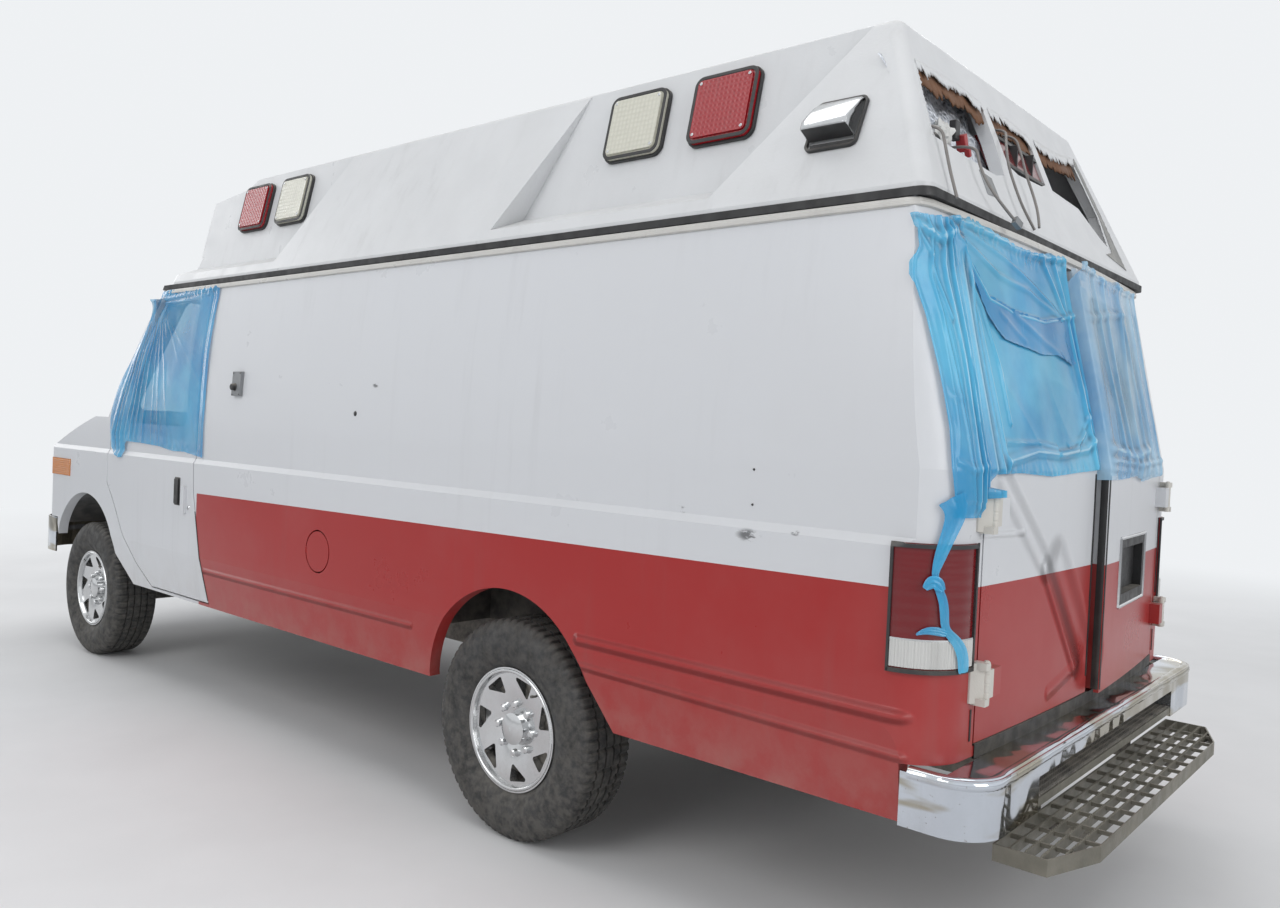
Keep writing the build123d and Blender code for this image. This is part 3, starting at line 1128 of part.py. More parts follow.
def wheel():
    """Rim with a dished cover: bright ring, slots, nuts and domed cap, outer face towards +X."""
    rim_w = RIM_WIDTH / 2
    barrel = rod(0, 0, 0, RIM_R, RIM_WIDTH, (1, 0, 0)) - rod(0, 0, 0, RIM_R - RIM_WALL, RIM_WIDTH + 2, (1, 0, 0))
    disc_back = WHEEL_FACE_X - WHEEL_FACE_THICKNESS
    cap_top = WHEEL_FACE_X + HUB_CAP_HEIGHT
    dome_r = HUB_CAP_R - 2
    ball_r = (dome_r**2 + HUB_CAP_DOME**2) / (2 * HUB_CAP_DOME)
    dome_mid = cap_top - ball_r + (ball_r**2 - dome_r**2 / 4) ** 0.5
    outline = [
        Line((0, disc_back), (COVER_R - 3, disc_back)),
        Line((COVER_R - 3, disc_back), (COVER_R - 3, rim_w - 2)),
        ThreePointArc((COVER_R - 3, rim_w - 2), (COVER_R - 9, rim_w + 4), (COVER_R - 15, rim_w)),
        Line((COVER_R - 15, rim_w), (COVER_R - 20, rim_w - 14)),
        ThreePointArc((COVER_R - 20, rim_w - 14), (COVER_SLOT_IN_R, WHEEL_FACE_X + 14), (HUB_CAP_R, WHEEL_FACE_X)),
        Line((HUB_CAP_R, WHEEL_FACE_X), (dome_r, cap_top - HUB_CAP_DOME)),
        ThreePointArc((dome_r, cap_top - HUB_CAP_DOME), (dome_r / 2, dome_mid), (0, cap_top)),
        Line((0, cap_top), (0, disc_back)),
    ]
    cover = revolve(Plane.XZ * make_face(outline), Axis.Z)
    body = barrel + Rot(0, 90, 0) * cover
    for index in range(LUG_COUNT):
        angle = radians(360 * index / LUG_COUNT)
        y = LUG_PCD / 2 * cos(angle)
        z = LUG_PCD / 2 * sin(angle)
        nut = rod(WHEEL_FACE_X + LUG_HEIGHT / 2, y, z, LUG_R, LUG_HEIGHT, (1, 0, 0))
        body = body + chamfer(nut.edges().sort_by(Axis.X)[-1], LUG_R / 3)
    slot_outline = polygon(
        (COVER_SLOT_OUT_R * cos(radians(-COVER_SLOT_ANGLE)), COVER_SLOT_OUT_R * sin(radians(-COVER_SLOT_ANGLE))),
        (COVER_SLOT_OUT_R * cos(radians(COVER_SLOT_ANGLE)), COVER_SLOT_OUT_R * sin(radians(COVER_SLOT_ANGLE))),
        (COVER_SLOT_IN_R * cos(radians(-COVER_SLOT_ANGLE)), COVER_SLOT_IN_R * sin(radians(-COVER_SLOT_ANGLE))),
    )
    slot_outline = fillet(slot_outline.vertices(), COVER_SLOT_FILLET)
    slot = extrude(Plane.YZ.offset(disc_back - 1) * slot_outline, COVER_SLOT_CUT)
    for index in range(COVER_SLOTS):
        body = body - Rot(360 * (index + 0.5) / COVER_SLOTS, 0, 0) * slot
    bore_end = WHEEL_FACE_X + WHEEL_FACE_THICKNESS
    body = body - rod((disc_back + bore_end) / 2 - 1, 0, 0, SPINDLE_R + RUNNING_FIT, bore_end - disc_back + 2, (1, 0, 0))
    return body


TYRE = tyre()
WHEEL = wheel()
CORNERS = (
    ("front_left", FRONT_TRACK / 2, FRONT_AXLE_Y),
    ("front_right", -FRONT_TRACK / 2, FRONT_AXLE_Y),
    ("rear_left", REAR_TRACK / 2, REAR_AXLE_Y),
    ("rear_right", -REAR_TRACK / 2, REAR_AXLE_Y),
)
for name, wheel_x, axle_y in CORNERS:
    place = Pos(wheel_x, axle_y, TYRE_R)
    turned = WHEEL if wheel_x > 0 else mirrored(WHEEL)
    save("tyre_" + name, place * TYRE)
    save("wheel_" + name, place * turned)

# Front bumper.
FRONT_BUMPER_LOW_Z = 530.0
FRONT_BUMPER_TOP_Z = 730.0
FRONT_BUMPER_END_Y = NOSE_Y + 201


def front_bumper_face(inset):
    """Plan of the front bumper, moved inwards by the inset."""
    half = BUMPER_HALF_WIDTH - inset
    front = -LENGTH / 2 + inset
    back = FRONT_BUMPER_END_Y + 74
    shape = polygon((-half, back), (half, back), (half, front), (-half, front))
    corners = [v for v in shape.vertices() if v.Y < front + 1]
    return fillet(corners, 190 - inset)


front_bumper = prism_z(front_bumper_face(0), FRONT_BUMPER_LOW_Z, FRONT_BUMPER_TOP_Z)
front_bumper = front_bumper - prism_z(front_bumper_face(BUMPER_WALL), FRONT_BUMPER_LOW_Z - 1, FRONT_BUMPER_TOP_Z + 1)
front_bumper = front_bumper - box(-OUT, OUT, FRONT_BUMPER_END_Y, FRONT_BUMPER_END_Y + 224, 400, 800)
save("front_bumper", front_bumper)

# Rear bumper with its stepped middle.


def rear_bumper_face(inset):
    """Plan of the rear bumper, moved inwards by the inset."""
    half = BUMPER_HALF_WIDTH - inset
    rear = BUMPER_FACE_Y - inset
    shape = polygon((-half, REAR_Y - 120), (half, REAR_Y - 120), (half, rear), (-half, rear))
    corners = [v for v in shape.vertices() if v.Y > rear - 1]
    return fillet(corners, BUMPER_CORNER_R - inset)


rear_bumper = prism_z(rear_bumper_face(0), BUMPER_LOW_Z, BUMPER_TOP_Z)
rear_bumper = rear_bumper - prism_z(rear_bumper_face(BUMPER_WALL), BUMPER_LOW_Z - 1, BUMPER_TOP_Z - BUMPER_WALL)
rear_bumper = rear_bumper - box(-OUT, OUT, REAR_Y - 240, REAR_Y + 12, BUMPER_TOP_Z - BUMPER_WALL - 1, BUMPER_TOP_Z + 1)
rear_bumper = rear_bumper & box(-OUT, OUT, REAR_OPEN_Y + PANEL_GAP, LENGTH / 2, 400, 700)
RECESS_TOP_Z = 560.0
recess_back_y = BUMPER_FACE_Y - BUMPER_RECESS_DEPTH
rear_bumper = rear_bumper - box(
    -BUMPER_RECESS_HALF_WIDTH, BUMPER_RECESS_HALF_WIDTH, recess_back_y, LENGTH / 2, 400, RECESS_TOP_Z
)
tray_half = BUMPER_RECESS_HALF_WIDTH + BUMPER_WALL
tray = box(-tray_half, tray_half, recess_back_y - BUMPER_WALL, BUMPER_FACE_Y, BUMPER_LOW_Z, RECESS_TOP_Z + BUMPER_WALL)
tray = tray - box(
    -BUMPER_RECESS_HALF_WIDTH, BUMPER_RECESS_HALF_WIDTH, recess_back_y, LENGTH / 2, 400, RECESS_TOP_Z
)
rear_bumper = rear_bumper + tray
save("rear_bumper", rear_bumper)
TREAD_LOW_Z = 480.0
TREAD_DEPTH = 22.0
tread = box(
    -BUMPER_RECESS_HALF_WIDTH + SEAT_GAP,
    BUMPER_RECESS_HALF_WIDTH - SEAT_GAP,
    recess_back_y + SEAT_GAP,
    BUMPER_FACE_Y - 2,
    TREAD_LOW_Z,
    TREAD_LOW_Z + TREAD_DEPTH,
)

# Folding rear step: a rim plate around serrated bars.
STEP_OUTLINE = polygon(
    (-STEP_HALF_WIDTH, STEP_INNER_Y),
    (STEP_HALF_WIDTH, STEP_INNER_Y),
    (STEP_HALF_WIDTH, LENGTH / 2 - STEP_CHAMFER_Y),
    (STEP_HALF_WIDTH - STEP_CHAMFER_X, LENGTH / 2),
    (-STEP_HALF_WIDTH + STEP_CHAMFER_X, LENGTH / 2),
    (-STEP_HALF_WIDTH, LENGTH / 2 - STEP_CHAMFER_Y),
)
step = prism_z(STEP_OUTLINE, STEP_Z - STEP_DEPTH, STEP_Z)
step = step - prism_z(grown(STEP_OUTLINE, -STEP_PLATE), STEP_Z - STEP_DEPTH - 1, STEP_Z + 1)
inside = prism_z(grown(STEP_OUTLINE, -STEP_PLATE + 1), STEP_Z - 28, STEP_Z - 1)
bars = None
for index in range(1, 5):
    bar_y = STEP_INNER_Y + BAR_PITCH * index
    bar = box(-STEP_HALF_WIDTH, STEP_HALF_WIDTH, bar_y - 2.5, bar_y + 2.5, STEP_Z - 28, STEP_Z - 1)
    bars = bar if bars is None else bars + bar
for index in range(-7, 8):
    bar_x = CROSS_BAR_PITCH * index
    bars = bars + box(bar_x - 4, bar_x + 4, STEP_INNER_Y, LENGTH / 2, STEP_Z - 14, STEP_Z - 4)
save("rear_step", step + (bars & inside) + tread)

# Cab furniture.
seat_z = FLOOR_TOP_Z + SEAT_GAP
SEAT_X = 500.0
SEAT_HALF_WIDTH = 250.0
SEAT_CUSHION_Z = 900.0
SEAT_BACK_TOP_Z = 1560.0
seat_front = DOOR_REAR_TOP_Y - 570
seat_back = DOOR_REAR_TOP_Y - 20
seat_x = (SEAT_X - SEAT_HALF_WIDTH, SEAT_X + SEAT_HALF_WIDTH)
seat = box(*seat_x, seat_front, seat_back - 50, SEAT_CUSHION_Z, SEAT_CUSHION_Z + 110)
seat = seat + box(*seat_x, seat_back - 120, seat_back, SEAT_CUSHION_Z + 110, SEAT_BACK_TOP_Z)
seat = seat + box(seat_x[0] + 50, seat_x[1] - 50, seat_front + 60, seat_back - 90, seat_z, SEAT_CUSHION_Z)
save("cab_seats", both(seat))
DASH_REAR_Y = DOOR_FRONT_Y + 215
dash = box(125 - HALF_WIDTH, HALF_WIDTH - 125, BULKHEAD_Y + BULKHEAD_WALL + SEAT_GAP, DASH_REAR_Y, 1000, 1290)
save("dashboard", dash)
wheel_plane = Plane((480, DASH_REAR_Y + 150, 1200), z_dir=(0, 0.5, 0.866))
steering = wheel_plane * Torus(185, 14)
steering = steering + wheel_plane * Pos(0, 0, -95) * Cylinder(22, 210)
steering = steering + wheel_plane * Box(360, 30, 12)
steering = steering - box(-900, 900, BULKHEAD_Y - 90, DASH_REAR_Y + SEAT_GAP, 900, 1300)
save("steering_wheel", steering)
PARTITION_HALF = HALF_WIDTH - 137
PARTITION_Y = DOOR_REAR_TOP_Y + 30
save("cab_partition", box(-PARTITION_HALF, PARTITION_HALF, PARTITION_Y, PARTITION_Y + 30, seat_z, WINDOW_TOP_Z))

# Shore power inlet on the left side.
INLET_Y = DOOR_REAR_TOP_Y + 348
INLET_Z = 1520.0
INLET_DEPTH = 16.0
inlet_band = envelope(-INLET_DEPTH) - envelope(-SEAT_GAP)
save("power_inlet", inlet_band & box(0, OUT, INLET_Y - 37, INLET_Y + 37, INLET_Z - 55, INLET_Z + 55))

# Plastic film taped over the cab window and the rear of the body.
FILM_LIFT = 0.3
FILM_THICKNESS = 2.5
film_band = envelope(-FILM_LIFT - FILM_THICKNESS) - envelope(-FILM_LIFT)
cab_film = film_band & prism_x(
    polygon(
        (DOOR_FRONT_Y + 12, 1170),
        (DOOR_FRONT_Y + 305, 1208),
        (DOOR_REAR_TOP_Y + 52, 1179),
        (DOOR_REAR_TOP_Y + 58, 1985),
        (DOOR_TOP_FRONT_Y - 90, 1985),
        (DOOR_FRONT_Y + 20, 1400),
        (DOOR_FRONT_Y + 12, 1350),
    ),
    0,
    OUT,
)
save("film_cab_left", cab_film)
FILM_EDGE_X = REAR_DOOR_HALF_WIDTH - 10
rear_film_left = film_band & prism_y(
    polygon((8, 1330), (350, 1320), (FILM_EDGE_X, 1275), (FILM_EDGE_X, 1990), (16, 1990)), REAR_Y - 340, LENGTH / 2
)
save("film_rear_left", rear_film_left)
rear_film_right = film_band & prism_y(
    polygon((-8, 1330), (-420, 1300), (-FILM_EDGE_X, 1310), (-FILM_EDGE_X, 1990), (-16, 1990)), REAR_Y - 340, LENGTH / 2
)
save("film_rear_right", ajar(rear_film_right))
corner_film = film_band & box(REAR_DOOR_HALF_WIDTH + 40, OUT, REAR_Y - 150, LENGTH / 2, 1250, 1990)
save("film_rear_corner", corner_film)
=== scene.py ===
# %% [markdown]
# # A van ambulance with a raised roof
# A long steel van body carries a tall moulded roof. It is white above and red below, years old and dusty,
# with its side and rear glass gone and blue plastic film taped over the holes. The CAD solids hold every
# size. Here they get their finish, and the thin things that solids can't show: film, wires, torn edges,
# lamp lenses, bright wheel covers and the dirt of a storage yard.

# %% Load the frame
import itertools
import math
import random
import bpy
import bmesh
from mathutils import Matrix, Vector, noise
from mathutils.bvhtree import BVHTree


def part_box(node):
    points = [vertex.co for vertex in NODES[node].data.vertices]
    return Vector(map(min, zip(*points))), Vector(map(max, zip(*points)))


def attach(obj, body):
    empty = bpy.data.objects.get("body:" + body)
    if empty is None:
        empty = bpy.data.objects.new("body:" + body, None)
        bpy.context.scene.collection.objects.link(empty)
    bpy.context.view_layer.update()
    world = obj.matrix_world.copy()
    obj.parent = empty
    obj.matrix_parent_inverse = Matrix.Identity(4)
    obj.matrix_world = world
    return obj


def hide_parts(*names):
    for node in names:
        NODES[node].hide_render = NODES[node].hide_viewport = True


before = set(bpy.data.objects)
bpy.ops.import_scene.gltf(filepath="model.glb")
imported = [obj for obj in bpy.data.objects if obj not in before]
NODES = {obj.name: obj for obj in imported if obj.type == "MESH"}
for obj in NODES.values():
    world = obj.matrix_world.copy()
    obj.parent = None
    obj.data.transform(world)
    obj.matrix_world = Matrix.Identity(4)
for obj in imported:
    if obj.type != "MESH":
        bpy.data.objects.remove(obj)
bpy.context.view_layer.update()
random.seed(7)

# %% [markdown]
# ## The camera
# A photograph of a long straight body gives two vanishing points: one where the lines along the body meet,
# one where the lines across it meet. Together with the middle of the picture they fix the lens and the
# direction of view. This is surer than turning a camera by eye.

# %% Camera from two vanishing points
IMAGE_WIDTH = 1280.0
IMAGE_HEIGHT = 908.0
SENSOR_MM = 36.0
FRONT_VANISHING = (-529.0, 378.0)
RIGHT_VANISHING = (1515.0, 467.0)
CAMERA_AT = Vector((3.2562, 3.7283, 1.3957))


def picture_ray(point, focal):
    """Direction in camera space of a pixel, for a focal length in pixels."""
    return Vector((point[0] - IMAGE_WIDTH / 2, IMAGE_HEIGHT / 2 - point[1], -focal)).normalized()


mid_x, mid_y = IMAGE_WIDTH / 2, IMAGE_HEIGHT / 2
focal = math.sqrt(
    -(FRONT_VANISHING[0] - mid_x) * (RIGHT_VANISHING[0] - mid_x)
    - (FRONT_VANISHING[1] - mid_y) * (RIGHT_VANISHING[1] - mid_y)
)
to_front = picture_ray(FRONT_VANISHING, focal)
to_right = picture_ray(RIGHT_VANISHING, focal)
to_right = (to_right - to_front * to_right.dot(to_front)).normalized()
axis_x, axis_y = -to_right, -to_front
axis_z = axis_x.cross(axis_y)
camera_turn = Matrix((axis_x, axis_y, axis_z))
camera_data = bpy.data.cameras.new("camera")
camera_data.sensor_width = SENSOR_MM
camera_data.lens = focal / IMAGE_WIDTH * SENSOR_MM
camera = bpy.data.objects.new("camera", camera_data)
camera.matrix_world = Matrix.Translation(CAMERA_AT) @ camera_turn.to_4x4()
bpy.context.scene.collection.objects.link(camera)
bpy.context.scene.camera = camera
print("lens", round(camera_data.lens, 2), "mm")

# %% [markdown]
# ## Mesh pieces
# Small parts are collected into one mesh by kind: boxes, rods and turned rings. One mesh is lighter than
# a hundred objects, and a bevel on all its edges catches the light as pressed or moulded edges do.


# %% Builder for small parts
BLOCK_FACES = [(0, 1, 2, 3), (4, 7, 6, 5), (0, 4, 5, 1), (1, 5, 6, 2), (2, 6, 7, 3), (3, 7, 4, 0)]
BOX_FACES = [(0, 1, 3, 2), (4, 6, 7, 5), (0, 4, 5, 1), (2, 3, 7, 6), (0, 2, 6, 4), (1, 5, 7, 3)]
DOUBLES_WITHIN = 0.00005


def ring_faces(rings, sides, closed=False):
    """Faces between rings of points listed ring by ring. Closed joins the last ring to the first."""
    return [(ring * sides + side, ring * sides + (side + 1) % sides,
             (ring + 1) % rings * sides + (side + 1) % sides, (ring + 1) % rings * sides + side)
            for ring in range(rings if closed else rings - 1) for side in range(sides)]


def tube_faces(rings, sides):
    """Faces of a tube with closed ends."""
    ends = [tuple(range(sides)), tuple(range((rings - 1) * sides, rings * sides))]
    return ring_faces(rings, sides) + ends


def grid_faces(rows, columns):
    """Faces of a grid with a number of fields each way, its points listed row by row."""
    wide = columns + 1
    firsts = [row * wide + column for row in range(rows) for column in range(columns)]
    return [(first, first + 1, first + wide + 1, first + wide) for first in firsts]


class Parts:
    """Collects boxes, rods, turned forms and strips into one mesh."""

    def __init__(self):
        self.points = []
        self.faces = []

    def add(self, points, faces):
        first = len(self.points)
        self.points += [Vector(point) for point in points]
        self.faces += [tuple(first + index for index in face) for face in faces]

    def block(self, near, far):
        """A closed block between two faces of four corners."""
        self.add([*near, *far], BLOCK_FACES)

    def box(self, low, high, turn=None):
        """A box between two corners, turned about its middle."""
        corners = [Vector(corner) for corner in itertools.product(*zip(low, high))]
        if turn is not None:
            middle = sum(corners, Vector()) / 8
            corners = [middle + turn @ (corner - middle) for corner in corners]
        self.add(corners, BOX_FACES)

    def turned(self, profile, centre, axis, steps=48, closed=False):
        """A profile of (radius, distance along the axis), turned about the axis."""
        turn = Vector((0, 0, 1)).rotation_difference(Vector(axis)).to_matrix()
        points = []
        for radius, along in profile:
            for step in range(steps):
                angle = 2 * math.pi * step / steps
                ring_point = Vector((radius * math.cos(angle), radius * math.sin(angle), along))
                points.append(Vector(centre) + turn @ ring_point)
        self.add(points, ring_faces(len(profile), steps, closed))

    def rod(self, start, end, radius, sides=16):
        """A round rod with closed ends."""
        start, end = Vector(start), Vector(end)
        length = (end - start).length
        profile = [(0.0001, 0), (radius, 0), (radius, length), (0.0001, length)]
        self.turned(profile, start, (end - start) / length, sides)

    def object(self, name, body, material, bevel=0.0, smooth=30):
        """The finished object, riding on a body."""
        return mesh_piece(name, self.points, self.faces, body, material, bevel, smooth)


def mesh_piece(name, points, faces, body, material, bevel=0.0, smooth=30):
    """A mesh object with a material, soft shading and a small bevel, riding on a body."""
    mesh = bpy.data.meshes.new(name)
    mesh.from_pydata([tuple(point) for point in points], [], faces)
    mesh.update()
    shape = bpy.data.objects.new(name, mesh)
    bpy.context.scene.collection.objects.link(shape)
    work = bmesh.new()
    work.from_mesh(mesh)
    bmesh.ops.remove_doubles(work, verts=work.verts, dist=DOUBLES_WITHIN)
    bmesh.ops.recalc_face_normals(work, faces=work.faces)
    work.to_mesh(mesh)
    work.free()
    if bevel:
        modifier = shape.modifiers.new("bevel", "BEVEL")
        modifier.width = bevel
        modifier.segments = 2
        modifier.limit_method = "ANGLE"
    mesh.materials.append(material)
    for polygon in mesh.polygons:
        polygon.use_smooth = True
    mesh.set_sharp_from_angle(angle=math.radians(smooth))
    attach(shape, body)
    return shape


def give_wall(shape, thickness):
    """Thickness for a piece that is a bare surface."""
    shape.modifiers.new("wall", "SOLIDIFY").thickness = thickness


def rough(x, y, z):
    """Smooth noise at a point, the same in every run."""
    return noise.noise(Vector((x, y, z)))

# %% [markdown]
# ## Shared effects for the finishes
# Dirt, dust and wear fall on every surface by the same causes: mud is thrown up from the road, dust settles
# on what faces up, rain leaves streaks below ledges. Each cause is one node group with named inputs, so
# paint, rubber and chrome get the same weather in their own amounts.


# %% Tools for node groups
def new_group(name, inputs, outputs):
    """An empty shader node group with float, vector or colour sockets."""
    group = bpy.data.node_groups.new(name, "ShaderNodeTree")
    for label, kind, value in inputs:
        socket = group.interface.new_socket(label, in_out="INPUT", socket_type=kind)
        socket.default_value = value
    for label, kind in outputs:
        group.interface.new_socket(label, in_out="OUTPUT", socket_type=kind)
    return group, group.nodes.new("NodeGroupInput"), group.nodes.new("NodeGroupOutput")


def set_inputs(tree, node, inputs):
    """Fills a node's inputs, each with a value or another node's socket."""
    for key, value in inputs.items():
        if isinstance(value, bpy.types.NodeSocket):
            tree.links.new(value, node.inputs[key])
        else:
            node.inputs[key].default_value = value
    return node


def join(tree, node_type, inputs, **settings):
    """A node with its settings and inputs."""
    node = tree.nodes.new(node_type)
    for key, value in settings.items():
        setattr(node, key, value)
    return set_inputs(tree, node, inputs)


def math_node(tree, operation, first, second=0.0, clamp=False):
    """The result of a maths node on two values."""
    node = join(tree, "ShaderNodeMath", {0: first, 1: second}, operation=operation, use_clamp=clamp)
    return node.outputs[0]


def product(tree, first, second, clamp=False):
    """Two values multiplied."""
    return math_node(tree, "MULTIPLY", first, second, clamp)


def vector_node(tree, operation, *vectors):
    """The result of a vector maths node: a number for a length, distance or dot product, else a vector."""
    node = join(tree, "ShaderNodeVectorMath", dict(enumerate(vectors)), operation=operation)
    return node.outputs[1 if operation in ("LENGTH", "DISTANCE", "DOT_PRODUCT") else 0]


def axes(tree, vector):
    """The three numbers of a vector."""
    return join(tree, "ShaderNodeSeparateXYZ", {0: vector}).outputs


def blend_colour(tree, share, first, second):
    """The result of a colour mix."""
    node = tree.nodes.new("ShaderNodeMix")
    node.data_type = "RGBA"
    return set_inputs(tree, node, {0: share, 6: first, 7: second}).outputs[2]


def span(tree, value, low, high, out_low=0.0, out_high=1.0, kind="SMOOTHSTEP"):
    """A value mapped smoothly from one range to another."""
    inputs = {"Value": value, "From Min": low, "From Max": high, "To Min": out_low, "To Max": out_high}
    return join(tree, "ShaderNodeMapRange", inputs, interpolation_type=kind).outputs[0]


def place(tree):
    """Object coordinates, which are metres in the vehicle's own frame."""
    return tree.nodes.new("ShaderNodeTexCoord").outputs["Object"]


def stretched(tree, factors):
    """Object coordinates multiplied by three factors."""
    return join(tree, "ShaderNodeMapping", {"Vector": place(tree), "Scale": factors}).outputs[0]


def grain(tree, scale, detail=4.0, roughness=0.55, stretch=None):
    """Noise over the vehicle, in repeats per metre. A factor below 1 draws it out along its axis."""
    vector = stretched(tree, stretch) if stretch else place(tree)
    inputs = {"Vector": vector, "Scale": scale, "Detail": detail, "Roughness": roughness}
    return join(tree, "ShaderNodeTexNoise", inputs).outputs[0]


# %% Road dirt, settled dust, rain streaks and scuffs
FLOAT, VECTOR, COLOUR = "NodeSocketFloat", "NodeSocketVector", "NodeSocketColor"

ROAD_DIRT, given, out = new_group(
    "Road dirt", [("Top", FLOAT, 0.9), ("Scale", FLOAT, 9.0)], [("Mask", FLOAT)]
)
height = axes(ROAD_DIRT, place(ROAD_DIRT))[2]
speckle = grain(ROAD_DIRT, given.outputs["Scale"], 6.0, 0.65)
share_up = math_node(ROAD_DIRT, "DIVIDE", height, given.outputs["Top"])
low_down = math_node(ROAD_DIRT, "SUBTRACT", 1.0, share_up, True)
raised = product(ROAD_DIRT, low_down, span(ROAD_DIRT, speckle, 0.30, 0.72, 0.15, 1.5), True)
ROAD_DIRT.links.new(raised, out.inputs["Mask"])

SETTLED_DUST, given, out = new_group("Settled dust", [("Scale", FLOAT, 6.0)], [("Mask", FLOAT)])
upward = axes(SETTLED_DUST, SETTLED_DUST.nodes.new("ShaderNodeNewGeometry").outputs["Normal"])[2]
patches = grain(SETTLED_DUST, given.outputs["Scale"], 5.0)
settled = product(
    SETTLED_DUST, span(SETTLED_DUST, upward, 0.15, 0.95), span(SETTLED_DUST, patches, 0.25, 0.7, 0.35, 1.0)
)
SETTLED_DUST.links.new(settled, out.inputs["Mask"])

STREAKS, given, out = new_group("Rain streaks", [("Scale", FLOAT, 14.0)], [("Mask", FLOAT)])
lines = grain(STREAKS, given.outputs["Scale"], 5.0, 0.6, (1.0, 1.0, 0.06))
broad = grain(STREAKS, 1.1, 2.0)
run_off = product(STREAKS, span(STREAKS, lines, 0.5, 0.78), span(STREAKS, broad, 0.38, 0.62))
STREAKS.links.new(run_off, out.inputs["Mask"])

SCUFF, given, out = new_group(
    "Scuff mark",
    [("Centre", VECTOR, (0, 0, 0)), ("Size", VECTOR, (0.1, 0.1, 0.1)), ("Grain", FLOAT, 60.0)],
    [("Mask", FLOAT)],
)
offset = vector_node(SCUFF, "SUBTRACT", place(SCUFF), given.outputs["Centre"])
reach = vector_node(SCUFF, "LENGTH", vector_node(SCUFF, "DIVIDE", offset, given.outputs["Size"]))
broken = grain(SCUFF, given.outputs["Grain"], 6.0, 0.7, (1.0, 0.35, 1.0))
inside = product(SCUFF, span(SCUFF, reach, 1.0, 0.35), span(SCUFF, broken, 0.45, 0.55))
SCUFF.links.new(inside, out.inputs["Mask"])

CREASE, given, out = new_group(
    "Dent crease", [("Start", VECTOR, (0, 0, 0)), ("End", VECTOR, (0, 0, 1)), ("Width", FLOAT, 0.05)],
    [("Height", FLOAT)],
)
line_way = vector_node(CREASE, "SUBTRACT", given.outputs["End"], given.outputs["Start"])
from_start = vector_node(CREASE, "SUBTRACT", place(CREASE), given.outputs["Start"])
squared = vector_node(CREASE, "DOT_PRODUCT", line_way, line_way)
ahead = vector_node(CREASE, "DOT_PRODUCT", from_start, line_way)
share = math_node(CREASE, "DIVIDE", ahead, squared, True)
foot = join(CREASE, "ShaderNodeVectorMath", {0: line_way, "Scale": share}, operation="SCALE").outputs[0]
off_line = vector_node(CREASE, "DISTANCE", from_start, foot)
rounded = span(CREASE, off_line, 0.0, given.outputs["Width"], 1.0, 0.0, "SMOOTHERSTEP")
CREASE.links.new(rounded, out.inputs["Height"])

RIPPLE, given, out = new_group(
    "Sheet ripple", [("Scale", FLOAT, 2.2), ("Fine", FLOAT, 90.0)], [("Height", FLOAT)]
)
wide = grain(RIPPLE, given.outputs["Scale"], 1.0, stretch=(1.0, 1.0, 0.6))
fine = grain(RIPPLE, given.outputs["Fine"], 2.0)
RIPPLE.links.new(math_node(RIPPLE, "ADD", wide, product(RIPPLE, fine, 0.012)), out.inputs["Height"])
print("effects", [group.name for group in bpy.data.node_groups])

# %% [markdown]
# ## The livery
# The red band is masked and sprayed along one nearly level line that starts at the rear edge of the cab
# door and rises four centimetres by the rear corner. Object coordinates are metres on the vehicle, so the
# line is one comparison of height with length, and it meets itself across doors and corners.

# %% Two-tone livery
LIVERY_FRONT_Y = -0.976
LIVERY_Z = 1.0
LIVERY_RISE = 0.0112

LIVERY, given, out = new_group(
    "Two-tone livery",
    [("White", COLOUR, (1, 1, 1, 1)), ("Red", COLOUR, (1, 0, 0, 1))],
    [("Color", COLOUR), ("Mask", FLOAT)],
)
along, up = axes(LIVERY, place(LIVERY))[1:3]
rise = product(LIVERY, math_node(LIVERY, "SUBTRACT", along, LIVERY_FRONT_Y), LIVERY_RISE)
below = math_node(LIVERY, "LESS_THAN", up, math_node(LIVERY, "ADD", rise, LIVERY_Z))
behind = math_node(LIVERY, "GREATER_THAN", along, LIVERY_FRONT_Y)
red_mask = product(LIVERY, below, behind)
LIVERY.links.new(red_mask, out.inputs["Mask"])
two_tone = blend_colour(LIVERY, red_mask, given.outputs["White"], given.outputs["Red"])
LIVERY.links.new(two_tone, out.inputs["Color"])

# %% Materials of the vehicle
WHITE = (0.655, 0.668, 0.69, 1)
RED = (0.36, 0.020, 0.019, 1)
DUST = (0.42, 0.385, 0.33, 1)
GRIME = (0.16, 0.15, 0.14, 1)
FADED = (0.60, 0.585, 0.56, 1)
SCRAPED = (0.09, 0.09, 0.095, 1)
BARE_HINGE = (0.60, 0.58, 0.53, 1)
HINGE_Z = (0.807, 1.230)
HINGE_PAINT_HALF = 0.064
HINGE_PAINT_X, HINGE_PAINT_Y = 0.787, 2.7446


def new_material(name):
    """A material with its Principled shader: (material, tree, shader)."""
    material = bpy.data.materials.new(name)
    material.use_nodes = True
    return material, material.node_tree, material.node_tree.nodes["Principled BSDF"]


def effect(tree, group, output, **inputs):
    """A shared effect placed in a material with its own values."""
    node = tree.nodes.new("ShaderNodeGroup")
    node.node_tree = group
    return set_inputs(tree, node, inputs).outputs[output]


def bump(tree, shader, height, strength, distance):
    """A bump node that feeds the shader's normal."""
    node = join(tree, "ShaderNodeBump", {"Strength": strength, "Distance": distance, "Height": height})
    tree.links.new(node.outputs[0], shader.inputs["Normal"])


